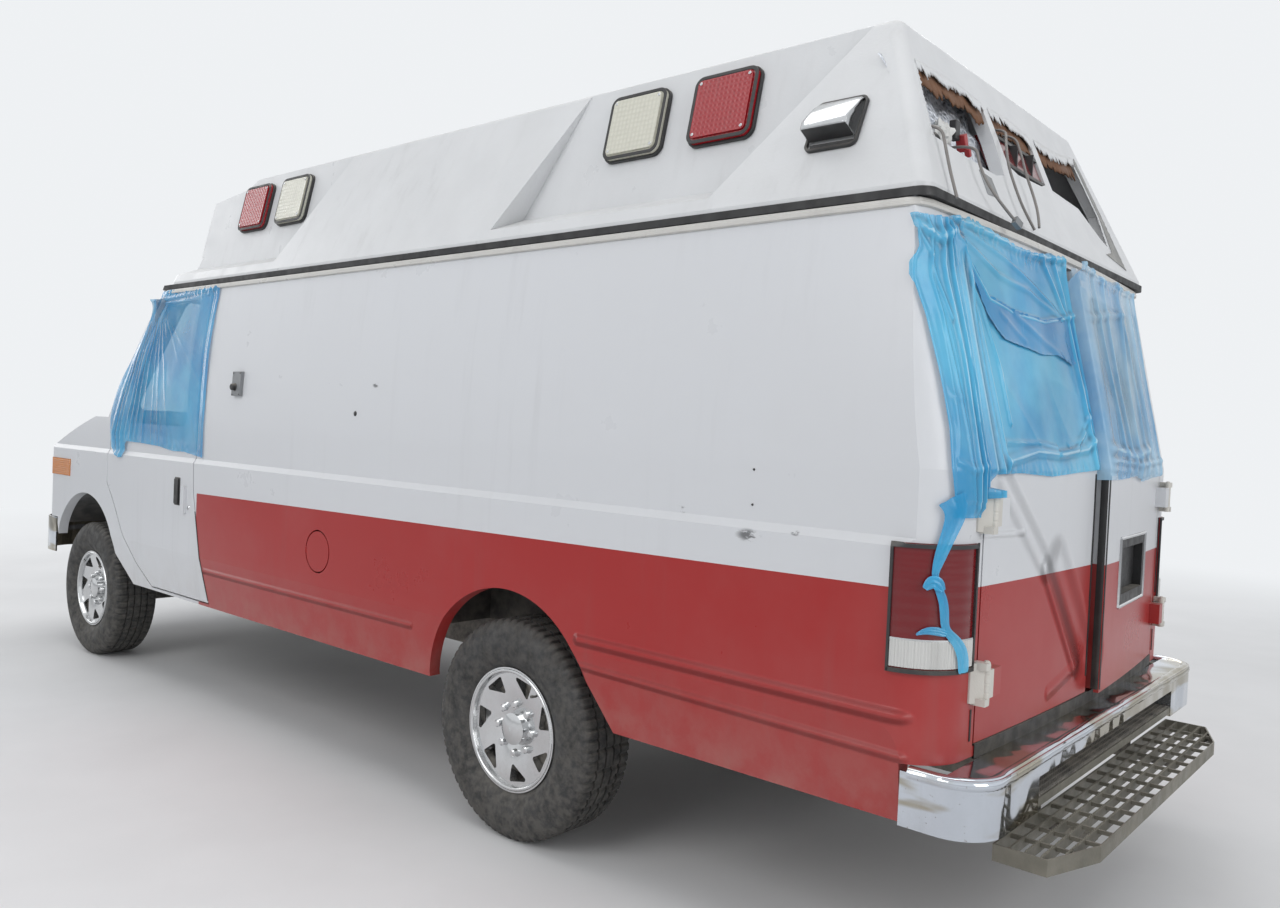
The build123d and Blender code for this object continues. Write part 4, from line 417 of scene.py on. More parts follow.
def weathered(tree, colour, dirt, dust, streaks, top=0.95, dirt_scale=9.0):
    """A colour with road dirt below, dust on top and rain streaks: (colour, how dirty)."""
    dirt_mask = product(tree, effect(tree, ROAD_DIRT, "Mask", Top=top, Scale=dirt_scale), dirt, True)
    dust_mask = product(tree, effect(tree, SETTLED_DUST, "Mask"), dust, True)
    streak_mask = product(tree, effect(tree, STREAKS, "Mask"), streaks, True)
    colour = blend_colour(tree, streak_mask, colour, GRIME)
    colour = blend_colour(tree, dirt_mask, colour, DUST)
    colour = blend_colour(tree, dust_mask, colour, DUST)
    dirty = math_node(tree, "MAXIMUM", math_node(tree, "MAXIMUM", dirt_mask, dust_mask), streak_mask)
    return colour, dirty


def hinge_mask(tree):
    """One where the rear hinges stand off the doors, which keeps them unpainted."""
    x, y, z = axes(tree, place(tree))
    outside = math_node(tree, "GREATER_THAN", math_node(tree, "ABSOLUTE", x), HINGE_PAINT_X)
    on_hinge = product(tree, math_node(tree, "GREATER_THAN", y, HINGE_PAINT_Y), outside)
    levels = []
    for level in HINGE_Z:
        off_level = math_node(tree, "ABSOLUTE", math_node(tree, "SUBTRACT", z, level))
        levels.append(math_node(tree, "LESS_THAN", off_level, HINGE_PAINT_HALF))
    return product(tree, on_hinge, math_node(tree, "MAXIMUM", *levels))


def body_paint(name, colour_pair=None, creases=(), hinges=False):
    """Aged gloss paint over sheet steel: two-tone where a pair of colours is given, else white."""
    material, tree, shader = new_material(name)
    colour = WHITE
    if colour_pair:
        colour = effect(tree, LIVERY, "Color", White=colour_pair[0], Red=colour_pair[1])
    colour = blend_colour(tree, span(tree, grain(tree, 1.3, 5.0, 0.6), 0.35, 0.75, 0.0, 0.06), colour, FADED)
    colour, dirty = weathered(tree, colour, 0.35, 0.22, 0.10, 0.74)
    for centre, size in SCUFFS.values():
        mark = effect(tree, SCUFF, "Mask", Centre=centre, Size=size)
        colour = blend_colour(tree, product(tree, mark, 0.85), colour, SCRAPED)
    if hinges:
        colour = blend_colour(tree, hinge_mask(tree), colour, BARE_HINGE)
    cloudy = span(tree, grain(tree, 2.2, 6.0, 0.65), 0.3, 0.8, 0.27, 0.36)
    set_inputs(tree, shader, {
        "Base Color": colour,
        "Roughness": math_node(tree, "ADD", cloudy, product(tree, dirty, 0.5), True),
        "Specular IOR Level": 0.38,
        "Coat Weight": 0.08,
        "Coat Roughness": 0.12,
    })
    height = product(tree, effect(tree, RIPPLE, "Height"), 0.16)
    for start, end, width, deep in creases:
        fold = effect(tree, CREASE, "Height", Start=start, End=end, Width=width)
        height = math_node(tree, "ADD", height, product(tree, fold, deep))
    bump(tree, shader, height, 1.0, 0.014)
    return material


# %% Marks on the left side
SCUFFS = {
    "scrape above the band": ((1.0, 2.18, 1.123), (0.06, 0.050, 0.022)),
    "chip beside it": ((1.0, 1.935, 1.171), (0.05, 0.030, 0.013)),
    "chip near the corner": ((1.0, 2.325, 1.143), (0.05, 0.016, 0.010)),
    "rub on the upper side": ((0.985, 0.413, 1.520), (0.05, 0.026, 0.014)),
    "dark dot": ((0.985, 0.289, 1.407), (0.05, 0.018, 0.012)),
}
DENTS = (
    ((0.700, 2.762, 1.300), (0.395, 2.762, 1.060), 0.060, 2.0),
    ((0.395, 2.762, 1.060), (0.110, 2.765, 0.745), 0.050, 2.6),
    ((0.300, 2.762, 1.060), (0.050, 2.765, 0.780), 0.110, -3.4),
    ((0.110, 2.765, 0.745), (0.330, 2.762, 0.700), 0.030, 0.8),
    ((0.815, 2.745, 1.170), (0.560, 2.755, 1.165), 0.014, 0.35),
)
SWAGES = (
    ((1.005, 1.560, 0.735), (1.005, 2.760, 0.728), 0.026, 1.3),
    ((1.005, 1.560, 0.655), (1.005, 2.760, 0.628), 0.022, 1.1),
    ((1.005, -0.930, 0.640), (1.005, 0.700, 0.640), 0.022, 1.1),
    ((-1.005, 1.560, 0.735), (-1.005, 2.640, 0.728), 0.016, 0.7),
    ((-1.005, 1.560, 0.655), (-1.005, 2.640, 0.628), 0.014, 0.6),
)
LIVERY_PAINT = body_paint("livery paint", (WHITE, RED), creases=DENTS + SWAGES, hinges=True)
CAB_PAINT = body_paint("cab paint")


# %% Roof shell, rubber, plastics and steels
def simple_finish(name, colour, roughness, dirt=0.4, dust=0.35, streaks=0.1, metal=0.0, scale=60.0,
                  relief=0.001, top=0.95, dirt_scale=14.0):
    """A weathered finish with fine relief: plastic, rubber, steel or vinyl by its values."""
    material, tree, shader = new_material(name)
    darker = tuple(channel * (0.72 if max(colour[:3]) < 0.5 else 0.95) for channel in colour[:3]) + (1,)
    tone = blend_colour(tree, span(tree, grain(tree, scale * 0.15, 4.0), 0.3, 0.7), darker, colour)
    tone, dirty = weathered(tree, tone, dirt, dust, streaks, top, dirt_scale)
    cloudy = grain(tree, scale * 0.4, 5.0)
    uneven = span(tree, cloudy, 0.3, 0.75, roughness * 0.75, min(1.0, roughness * 1.25))
    set_inputs(tree, shader, {
        "Base Color": tone,
        "Roughness": math_node(tree, "ADD", uneven, product(tree, dirty, 0.45), True),
    })
    if metal:
        clean = math_node(tree, "SUBTRACT", metal, product(tree, dirty, 0.8), True)
        tree.links.new(clean, shader.inputs["Metallic"])
    bump(tree, shader, grain(tree, scale * 4.0, 3.0), 0.35, relief)
    return material


ROOF = simple_finish("roof shell", (0.68, 0.69, 0.70, 1), 0.36, 0.0, 0.22, 0.12, scale=26.0)
RUBBER = simple_finish("black rubber", (0.022, 0.022, 0.023, 1), 0.6, 0.3)
BLACK_PLASTIC = simple_finish("black plastic", (0.03, 0.03, 0.031, 1), 0.5, 0.5, 0.45)
GREY_PLASTIC = simple_finish("grey plastic", (0.24, 0.25, 0.26, 1), 0.45, 0.2, 0.3)
BLACK_STEEL = simple_finish("underbody steel", (0.045, 0.043, 0.042, 1), 0.6, 0.85, 0.5, scale=30.0)
STEP_STEEL = simple_finish(
    "step metal", (0.20, 0.19, 0.155, 1), 0.50, 0.25, 0.25, metal=0.6, scale=40.0, relief=0.002
)
ENGINE_IRON = simple_finish("engine iron", (0.09, 0.085, 0.08, 1), 0.65, 0.5, 0.3, metal=0.3)
SEAT_VINYL = simple_finish("seat vinyl", (0.10, 0.10, 0.11, 1), 0.45, 0.0, 0.5, scale=80.0)
WIRE_SHEATH = simple_finish("wire sheath", (0.23, 0.215, 0.205, 1), 0.5, 0.0, 0.2)
TYRE_RUBBER = simple_finish(
    "tyre rubber", (0.024, 0.025, 0.027, 1), 0.72, 0.16, 0.14, scale=70.0, top=1.3, dirt_scale=38.0
)
CHROME = simple_finish(
    "chrome", (0.66, 0.67, 0.68, 1), 0.10, 0.16, 0.12, metal=1.0, scale=22.0, relief=0.0006, top=0.75
)
GREY_PRIMER = simple_finish("grey primer", (0.36, 0.36, 0.35, 1), 0.7, 0.0, 0.2, 0.3)
WOOD = simple_finish("roof board", (0.19, 0.09, 0.045, 1), 0.7, 0.0, 0.2, scale=30.0, relief=0.002)
RED_PLASTIC = simple_finish("red plastic", (0.42, 0.030, 0.035, 1), 0.4, 0.0, 0.2)
PAPER = simple_finish("crumpled wrap", (0.70, 0.70, 0.68, 1), 0.6, 0.0, 0.1, scale=40.0, relief=0.002)
RAIL_PAINT = simple_finish(
    "rail paint", (0.60, 0.59, 0.56, 1), 0.35, 0.0, 0.35, 0.25, scale=50.0, relief=0.0008
)
HINGE_PAINT = simple_finish("hinge paint", (0.62, 0.60, 0.55, 1), 0.4, 0.1, 0.3)


def bumper_chrome():
    """Old chrome: wavy pressed steel with painted reflections in soft level bands, bluish like the sky and
    brown like the ground, and dark pits.
    """
    material, tree, shader = new_material("bumper chrome")
    # Painted reflection: the base colour swings between a bluish sky tone and a brown ground tone in bands.
    reflection_bands = span(tree, grain(tree, 5.0, 3.0, 0.5, (0.5, 0.5, 2.6)), 0.46, 0.56)
    tone = blend_colour(tree, reflection_bands, (0.62, 0.66, 0.72, 1), (0.40, 0.37, 0.30, 1))
    pits = span(tree, grain(tree, 90.0), 0.66, 0.74, 0.0, 0.7)
    tone = blend_colour(tree, pits, tone, (0.14, 0.10, 0.07, 1))
    tone, dirty = weathered(tree, tone, 0.14, 0.12, 0.12, 0.75, 14.0)
    set_inputs(tree, shader, {
        "Base Color": tone,
        "Roughness": math_node(tree, "ADD", product(tree, dirty, 0.4), 0.08, True),
        "Metallic": math_node(tree, "SUBTRACT", 1.0, product(tree, dirty, 0.7), True),
    })
    bump(tree, shader, grain(tree, 4.5, 2.0, 0.4, (1.0, 1.0, 0.6)), 1.0, 0.030)
    return material


BUMPER_CHROME = bumper_chrome()


# %% Lenses and glass
def lens(name, colour, cells, height_factor=1.0, relief=0.0012):
    """A moulded lamp lens: cells under a smooth skin, which a small height factor draws into ribs."""
    material, tree, shader = new_material(name)
    tone, _ = weathered(tree, colour, 0.15, 0.35, 0.25)
    pattern = axes(tree, stretched(tree, (1.0, 1.0, height_factor)))
    waves = [math_node(tree, "SINE", product(tree, across, cells * 2 * math.pi)) for across in pattern[1:3]]
    bump(tree, shader, math_node(tree, "ADD", *waves), 0.55, relief)
    set_inputs(tree, shader, {
        "Base Color": tone, "Roughness": 0.22, "Coat Weight": 0.3, "Coat Roughness": 0.06,
    })
    return material


RED_LENS = lens("red lens", (0.33, 0.008, 0.014, 1), 60.0)
DARK_RED_LENS = lens("dark red lens", (0.16, 0.006, 0.009, 1), 34.0, relief=0.0005)
CLEAR_LENS = lens("clear lens", (0.62, 0.61, 0.52, 1), 60.0)
WHITE_LENS = lens("reversing lens", (0.60, 0.60, 0.58, 1), 90.0, 0.05)
AMBER_LENS = lens("amber lens", (0.62, 0.20, 0.02, 1), 90.0)


def clear_glass(name, tint):
    """Dusty safety glass."""
    material, tree, shader = new_material(name)
    dusty = product(tree, effect(tree, SETTLED_DUST, "Mask", Scale=3.0), 0.2)
    smear = span(tree, grain(tree, 4.0, 5.0), 0.4, 0.75, 0.04, 0.32)
    set_inputs(tree, shader, {
        "Base Color": tint, "Transmission Weight": 0.92, "IOR": 1.45,
        "Roughness": math_node(tree, "ADD", smear, dusty),
    })
    return material


GLASS = clear_glass("glass", (0.55, 0.62, 0.60, 1))

# %% Finishes on the CAD nodes
WHEEL_COVERS = [name for name in NODES if name.startswith("wheel_") and "liners" not in name]
FINISHES = (
    (LIVERY_PAINT, ["left_side_panel", "right_side_panel", "side_door_front", "side_door_rear", "rear_frame",
                    "rear_door_left", "rear_door_right", "fuel_flap"]),
    (CAB_PAINT, ["cab_frame", "front_wings", "bonnet", "cab_door_left", "cab_door_right"]),
    (ROOF, ["raised_roof", "cab_partition"]),
    (RUBBER, ["roof_seam"]),
    (BLACK_STEEL, ["chassis_frame", "floor_pan", "front_axle", "rear_axle", "knuckle_left", "knuckle_right",
                   "fuel_tank"]),
    (BLACK_PLASTIC, ["grille", "dashboard", "steering_wheel", "wheel_liners"]),
    (CHROME, WHEEL_COVERS),
    (TYRE_RUBBER, [name for name in NODES if name.startswith("tyre_")]),
    (RED_LENS, ["roof_lamps_red"]),
    (DARK_RED_LENS, ["roof_brake_lamp", "tail_lamps"]),
    (CLEAR_LENS, ["roof_lamps_clear", "scene_lights"]),
    (WHITE_LENS, ["headlamps"]),
    (AMBER_LENS, ["corner_lamps"]),
    (BUMPER_CHROME, ["front_bumper", "rear_bumper"]),
    (GLASS, ["windscreen", "cab_glass_right"]),
    (STEP_STEEL, ["rear_step"]),
    (GREY_PLASTIC, ["power_inlet", "wire_plug"]),
    (ENGINE_IRON, ["engine_block"]),
    (SEAT_VINYL, ["cab_seats"]),
)
for material, names in FINISHES:
    for name in names:
        NODES[name].data.materials.clear()
        NODES[name].data.materials.append(material)
print("finished nodes", sum(len(names) for _, names in FINISHES))

# %% [markdown]
# ## Loose wires
# Four lamp leads hang out of the torn openings. A wire is a soft curve, so each is one NURBS spline through
# the solid's own route. Its end stands a little off the wall because the sheath is stiff.

# %% Wires from the clips inside the roof
WIRE_DIAMETER = 0.008
WIRE_ROUTES = {
    "loose_wire_1": (
        (0.765, 2.480, 2.225), (0.765, 2.558, 2.225), (0.785, 2.585, 2.148), (0.808, 2.612, 2.075),
        (0.826, 2.640, 2.008),
    ),
    "loose_wire_2": (
        (0.545, 2.480, 2.222), (0.545, 2.562, 2.222), (0.585, 2.590, 2.150), (0.580, 2.622, 2.085),
        (0.540, 2.650, 2.035), (0.502, 2.662, 2.011),
    ),
    "loose_wire_3": (
        (0.190, 2.420, 2.366), (0.190, 2.500, 2.366), (0.258, 2.530, 2.300), (0.300, 2.556, 2.222),
        (0.322, 2.590, 2.145), (0.325, 2.620, 2.075), (0.300, 2.645, 2.020),
    ),
    "loose_wire_4": (
        (0.120, 2.420, 2.366), (0.120, 2.498, 2.366), (0.150, 2.535, 2.292), (0.168, 2.562, 2.218),
        (0.176, 2.592, 2.146), (0.200, 2.618, 2.082), (0.236, 2.634, 2.040),
    ),
}
for name, route in WIRE_ROUTES.items():
    curve = bpy.data.curves.new(name + "_sheath", "CURVE")
    curve.dimensions = "3D"
    spline = curve.splines.new("NURBS")
    spline.points.add(len(route) - 1)
    for point, position in zip(spline.points, route):
        point.co = (*position, 1.0)
    spline.order_u = 3
    spline.use_endpoint_u = True
    curve.bevel_depth = WIRE_DIAMETER / 2
    curve.bevel_resolution = 4
    curve.use_fill_caps = True
    curve.materials.append(WIRE_SHEATH)
    wire = bpy.data.objects.new(name + "_sheath", curve)
    bpy.context.scene.collection.objects.link(wire)
    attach(wire, "body")
    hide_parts(name)

print("wires", len(WIRE_ROUTES))

# %% [markdown]
# ## Placing small things on the body
# Film, torn edges and small fittings lie on the solids, so their points come from the solids: a line is
# cast at chosen nodes, and the piece starts where it meets them. The line runs across the body, or it runs
# from the camera through a point of the picture, which puts a mark where the photograph shows it.

# %% Cast lines at nodes
BESIDE, BEHIND = 1.5, 3.3
TREES = {}


def tree_of(names):
    """A search tree of the surfaces of some nodes, built once."""
    if names not in TREES:
        work = bmesh.new()
        for name in names:
            work.from_mesh(NODES[name].data)
        TREES[names] = BVHTree.FromBMesh(work)
        work.free()
    return TREES[names]


def met(names, start, direction):
    """Where a line first meets some nodes, and the way that surface faces."""
    place_met, faces, _, _ = tree_of(names).ray_cast(Vector(start), Vector(direction).normalized())
    if place_met is None:
        return None, None
    if faces.dot(Vector(direction)) > 0:
        faces = -faces
    return place_met, faces


def met_beside(names, side, y, z):
    """Where a line across from the left (1) or right (-1) meets some nodes."""
    return met(names, (side * BESIDE, y, z), (-side, 0, 0))


def met_behind(names, x, z):
    """Where a line from behind the vehicle meets some nodes."""
    return met(names, (x, BEHIND, z), (0, -1, 0))


def seen_at(pixel, names):
    """Where the view through a point of the picture meets some nodes."""
    return met(names, CAMERA_AT, camera_turn @ picture_ray(pixel, focal))


def along_line(points, share):
    """The point at a share of a polyline's length."""
    lengths = [math.dist(a, b) for a, b in zip(points, points[1:])]
    left = share * sum(lengths)
    index = 0
    while left > lengths[index] and index < len(lengths) - 1:
        left -= lengths[index]
        index += 1
    done = min(1.0, left / lengths[index])
    return tuple(p + (q - p) * done for p, q in zip(points[index], points[index + 1]))


def between_lines(top, foot, u, v):
    """A point between two lines, at a share along both and a share from top to foot."""
    top_along, top_z = along_line(top, u)
    foot_along, foot_z = along_line(foot, u)
    return top_along + (foot_along - top_along) * v, top_z + (foot_z - top_z) * v


def line_distance(point, line):
    """Distance from a flat point to a polyline."""
    best = math.inf
    for (ax, ay), (bx, by) in zip(line, line[1:]):
        dx, dy = bx - ax, by - ay
        share = max(0.0, min(1.0, ((point[0] - ax) * dx + (point[1] - ay) * dy) / (dx * dx + dy * dy)))
        best = min(best, math.hypot(point[0] - ax - share * dx, point[1] - ay - share * dy))
    return best


def neighbours(points, index):
    """The points before and after one in a line, or itself where the line ends."""
    return points[max(0, index - 1)], points[min(len(points) - 1, index + 1)]


print("search ready; the view through the tail lamp meets", seen_at((950, 600), ("tail_lamps",))[0])

# %% [markdown]
# ## Tyres
# A worn all-season tyre: rounded shoulders, three grooves round the tread and cross cuts that break the ribs
# into blocks. The profile is walked round the axle in steps, and each point is pushed in where a groove
# runs, so the tread is real relief that shows at the outline, and the rubber outside it follows the solid.

# %% Tyre with tread relief
TYRE_RADIUS = 0.370
BEAD_RADIUS = 0.2085
GROOVE_DEPTH = 0.0085
GROOVES_AT = (-0.052, -0.018, 0.018, 0.052)
GROOVE_HALF = 0.0045
CUTS_ROUND = 66
STEPS_PER_CUT = 6
STEPS_ROUND = CUTS_ROUND * STEPS_PER_CUT
CUT_DEPTH = 0.006
RIM_RIDGE = 0.0012


def tyre_profile():
    """Points of (distance along the axle, radius) from bead to bead."""
    side = [(-0.090, BEAD_RADIUS), (-0.103, 0.224), (-0.113, 0.245), (-0.1195, 0.272), (-0.1198, 0.288),
            (-0.1185, 0.305), (-0.1145, 0.325), (-0.109, 0.342), (-0.1035, 0.354), (-0.096, 0.3635),
            (-0.086, 0.3685)]
    crown = []
    for centre in GROOVES_AT:
        for x, deep in ((-GROOVE_HALF - 0.003, 0), (-GROOVE_HALF, 0), (-GROOVE_HALF + 0.0012, 1),
                        (GROOVE_HALF - 0.0012, 1), (GROOVE_HALF, 0), (GROOVE_HALF + 0.003, 0)):
            x += centre
            crown.append((x, TYRE_RADIUS - 0.0002 - 0.0016 * (x / 0.078) ** 2 - GROOVE_DEPTH * deep))
    other = [(-x, radius) for x, radius in reversed(side)]
    return side + [(-0.078, 0.3692)] + crown + [(0.078, 0.3692)] + other


def tyre_piece(name, node, body, centre, outward):
    """The tyre round its axle, with cross cuts at the shoulders and between the ribs."""
    profile = tyre_profile()
    turn_start = random.random()
    points = []
    for step in range(STEPS_ROUND):
        angle = 2 * math.pi * (step + turn_start) / STEPS_ROUND
        block, phase = divmod(step, STEPS_PER_CUT)
        even = block % 2 == 0
        for x, radius in profile:
            on_tread = radius > 0.350
            cut = on_tread and phase < 2 and (abs(x) >= 0.03 or even)
            lowered = radius - (CUT_DEPTH if cut else 0.0)
            ridge = RIM_RIDGE if 0.296 < radius < 0.312 and even else 0.0
            flat = x + (ridge if x > 0 else -ridge)
            points.append((centre[0] + outward * flat, centre[1] + lowered * math.cos(angle),
                           centre[2] + lowered * math.sin(angle)))
    faces = ring_faces(STEPS_ROUND, len(profile), closed=True)
    shape = mesh_piece(name, points, faces, body, TYRE_RUBBER, smooth=38)
    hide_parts(node)


WHEELS = {}
for corner in ("front_left", "front_right", "rear_left", "rear_right"):
    low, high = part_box("tyre_" + corner)
    centre = (low + high) / 2
    outward = 1 if centre.x > 0 else -1
    WHEELS[corner] = (centre, outward)
    tyre_piece("tyre_tread_" + corner, "tyre_" + corner, "wheel_" + corner, centre, outward)
print("tyres", {name: [round(v, 3) for v in centre] for name, (centre, _) in WHEELS.items()})

# %% [markdown]
# ## Wheel trim
# The solid has the bright cover, its seven slots and the nuts. Here a drum fills the dark behind the slots,
# and a valve stands in one of them.

# %% Drums and valves behind the covers
DRUM_FACE = 0.046
DRUM_PROFILE = [(0.0301, -0.05), (0.150, -0.05), (0.158, -0.044), (0.158, -0.004), (0.150, 0.0),
                (0.0301, 0.0)]
for corner, (centre, outward) in WHEELS.items():
    drum = Parts()
    drum.turned([(radius, DRUM_FACE + along) for radius, along in DRUM_PROFILE],
                centre, (outward, 0, 0), 40, closed=True)
    drum.object("drum_" + corner, "wheel_" + corner, BLACK_STEEL, 0.0, 35)
    valve = Parts()
    at = Vector((centre.x + outward * 0.070, centre.y + 0.100, centre.z + 0.128))
    neck = at + Vector((outward * 0.024, 0.002, 0.004))
    valve.rod(at, at + Vector((outward * 0.026, 0.002, 0.004)), 0.0042, 12)
    valve.rod(neck, at + Vector((outward * 0.034, 0.003, 0.005)), 0.0052, 10)
    valve.object("valve_" + corner, "wheel_" + corner, BLACK_PLASTIC, 0.0008)

# %% [markdown]
# ## Roof lamps
# Each warning lamp is a moulded lens on a black gasket, held by four screws in its corners. The solid holds
# lens and case in one, so the gasket is a thin frame round the case and the screws are small domes.

# %% Gaskets and screws round the roof lamps
ROOF_BASE_X = 0.934
ROOF_TOP_X = 0.695
ROOF_FLANGE_Z = 2.035
ROOF_TOP_Z = 2.560
PANEL_LOW_X = 0.790
PANEL_LOW_Z = 2.125
PANEL_RUN = (PANEL_LOW_X - ROOF_TOP_X) / (ROOF_TOP_Z - PANEL_LOW_Z)
LAMP_HEIGHT = 0.222
LAMP_WIDTH = 0.236
LAMP_CENTRES = {"roof_lamps_red": (-0.993, 1.838), "roof_lamps_clear": (-0.647, 1.481)}
LAMP_Z = ROOF_TOP_Z - 0.168
LAMP_FRAMES = (
    ((0.001, 0.0305), (0.014, 0.037), 0.0004, 0.014),
    ((-0.020, 0.022), (0.004, 0.032), 0.0245, 0.0275),
)
SCREW_INSET = 0.026
panel_angle = math.atan(PANEL_RUN)


def wall_frame(base, side, angle):
    """For a leaning side wall: a function that places (along, up, out) points, and the way up it."""
    out_way = Vector((side * math.cos(angle), 0, math.sin(angle)))
    up_way = Vector((-side * math.sin(angle), 0, math.cos(angle)))
    return lambda x, y, lift: base + Vector((0, x, 0)) + up_way * y + out_way * lift, up_way


def rounded_rectangle(width, height, radius, steps=6):
    """Points round a rectangle with round corners."""
    points = []
    for corner_x, corner_y, start in ((1, 1, 0), (-1, 1, 90), (-1, -1, 180), (1, -1, 270)):
        for step in range(steps + 1):
            angle = math.radians(start + 90 * step / steps)
            points.append((corner_x * (width / 2 - radius) + radius * math.cos(angle),
                           corner_y * (height / 2 - radius) + radius * math.sin(angle)))
    return points


def frame_between(parts, place_point, inner, outer, low, high):
    """A closed frame between two rectangles of (width, height, corner radius), from one height to another."""
    inside, outside = rounded_rectangle(*inner), rounded_rectangle(*outer)
    rows = ((outside, low), (outside, high), (inside, high), (inside, low))
    points = [place_point(x, y, lift) for outline, lift in rows for x, y in outline]
    parts.add(points, ring_faces(len(rows), len(inside), closed=True))


gaskets = Parts()
screws = Parts()
for centres in LAMP_CENTRES.values():
    for side in (-1, 1):
        for lamp_y in centres:
            base = Vector((side * (ROOF_TOP_X + (ROOF_TOP_Z - LAMP_Z) * PANEL_RUN), lamp_y, LAMP_Z))
            on_lamp, _ = wall_frame(base, side, panel_angle)
            for (less, inner_radius), (more, outer_radius), low, high in LAMP_FRAMES:
                inner = (LAMP_WIDTH + less, LAMP_HEIGHT + less, inner_radius)
                outer = (LAMP_WIDTH + more, LAMP_HEIGHT + more, outer_radius)
                frame_between(gaskets, on_lamp, inner, outer, low, high)
            for corner_x in (-1, 1):
                for corner_y in (-1, 1):
                    x = corner_x * (LAMP_WIDTH / 2 - SCREW_INSET)
                    y = corner_y * (LAMP_HEIGHT / 2 - SCREW_INSET)
                    screws.rod(on_lamp(x, y, 0.030), on_lamp(x, y, 0.0345), 0.0055, 10)
gaskets.object("roof_lamp_gaskets", "body", BLACK_PLASTIC, 0.0012)
screws.object("roof_lamp_screws", "body", CHROME, 0.001)

# %% Hooded side lights: chrome hood over a black lens
HOOD_Y = 2.612 - 0.316
HOOD_Z = ROOF_FLANGE_Z + 0.205
HOOD_HALF = 0.070
HOOD_OUTLINE = [(-0.052, 0.010), (-0.050, 0.061), (-0.030, 0.064), (0.000, 0.053), (0.040, 0.034),
                (0.066, 0.017), (0.072, 0.006)]
SIDE_RUN = (ROOF_BASE_X - ROOF_TOP_X) / (ROOF_TOP_Z - ROOF_FLANGE_Z)
side_angle = math.atan(SIDE_RUN)
hoods, lenses, plates = Parts(), Parts(), Parts()
for side in (-1, 1):
    base = Vector((side * (ROOF_TOP_X + (ROOF_TOP_Z - HOOD_Z) * SIDE_RUN), HOOD_Y, HOOD_Z))
    on_side, up_way = wall_frame(base, side, side_angle)
    points = []
    arches = ((-HOOD_HALF, 0.0), (-HOOD_HALF + 0.004, 0.0035), (-HOOD_HALF + 0.014, 0.0055),
              (HOOD_HALF - 0.014, 0.0055), (HOOD_HALF - 0.004, 0.0035), (HOOD_HALF, 0.0))
    for x, swell in arches:
        points += [on_side(x, y, lift + swell) for y, lift in HOOD_OUTLINE]
    count = len(HOOD_OUTLINE)
    faces = grid_faces(len(arches) - 1, count - 1)
    for row, x in ((0, -HOOD_HALF), (len(arches) - 1, HOOD_HALF)):
        foot = len(points)
        points += [on_side(x, y, 0.006) for y, _ in HOOD_OUTLINE]
        faces += [(row * count + step, row * count + step + 1, foot + step + 1, foot + step)
                  for step in range(count - 1)]
    hoods.add(points, faces)
    lens_half = HOOD_HALF - 0.003
    corners = [on_side(-lens_half, -0.0535, 0.010), on_side(lens_half, -0.0535, 0.010),
               on_side(lens_half, -0.0520, 0.060), on_side(-lens_half, -0.0520, 0.060)]
    lenses.block(corners, [point + up_way * 0.012 for point in corners])
    frame_between(plates, on_side, (0.144, 0.150, 0.014), (0.160, 0.166, 0.022), 0.0004, 0.011)
    lip, lip_half = on_side(0, -0.068, 0.0), Vector((0.003, 0.066, 0.010))
    plates.box(lip - lip_half, lip + lip_half)
hoods_made = hoods.object("scene_light_hoods", "body", CHROME, 0.001, 40)
give_wall(hoods_made, 0.0014)
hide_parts("scene_lights")
lenses.object("scene_light_lenses", "body", BLACK_PLASTIC, 0.001)
plates.object("scene_light_gaskets", "body", BLACK_PLASTIC, 0.0015)

# %% [markdown]
# ## Plastic film
# Blue wrapping film stands in for the broken windows. It is thin, it clings, and it is pulled tight between
# the places where it is taped, so it shows long straight folds that fan out of its corners, and a gathered
# edge. A cloth simulation makes soft round folds, and stretched film has sharp ones. So each sheet is a grid
# laid on the body, and each fold is a line with a width and a height that lifts the grid.

# %% Film material
# Painted light on the film: SHADED_FOLD darkens the hollows beside folds as painted shade; LIT_FOLD and
# LIT_CREASE are painted highlights on folds and fine creases.
SHADED_FOLD = 0.35
LIT_FOLD = (0.50, 0.78, 0.92, 1)
LIT_CREASE = (0.42, 0.74, 0.88, 1)


def film_material(name, deep, light, cover):
    """Thin blue film: partly clear, with painted shade in the hollows beside its folds and painted highlights
    on its folds and creases.
    """
    material, tree, shader = new_material(name)
    cloud = grain(tree, 3.2)
    creases = grain(tree, 24.0, 3.0, stretch=(1.0, 1.0, 0.25))
    fold = tree.nodes.new("ShaderNodeAttribute")
    fold.attribute_name = "fold"
    fold_light_mark = fold.outputs["Fac"]
    # The fold attribute carries painted light: below 0 it paints shade beside folds, above 0.35 a highlight
    # on them. The crease noise paints thin highlights.
    shaded = tuple(channel * SHADED_FOLD for channel in deep[:3]) + (1,)
    tone = blend_colour(tree, span(tree, cloud, 0.34, 0.68), deep, light)
    tone = blend_colour(tree, span(tree, fold_light_mark, 0.0, -1.0, 0.0, 0.85), tone, shaded)
    tone = blend_colour(tree, span(tree, fold_light_mark, 0.35, 1.0, 0.0, 0.75), tone, LIT_FOLD)
    tone = blend_colour(tree, span(tree, creases, 0.66, 0.86, 0.0, 0.25), tone, LIT_CREASE)
    tone, dirty = weathered(tree, tone, 0.10, 0.25, 0.10)
    thin = span(tree, grain(tree, 3.0, 3.0), 0.32, 0.70, cover - 0.08, cover + 0.08)
    set_inputs(tree, shader, {
        "Base Color": tone,
        "Alpha": math_node(tree, "ADD", thin, product(tree, dirty, 0.15), True),
        "Roughness": span(tree, creases, 0.35, 0.7, 0.12, 0.24),
        "Specular IOR Level": 0.35,
        "Coat Weight": 0.25,
        "Coat Roughness": 0.08,
        "IOR": 1.5,
    })
    bump(tree, shader, grain(tree, 16.0, stretch=(1.0, 1.0, 0.45)), 0.40, 0.0040)
    return material


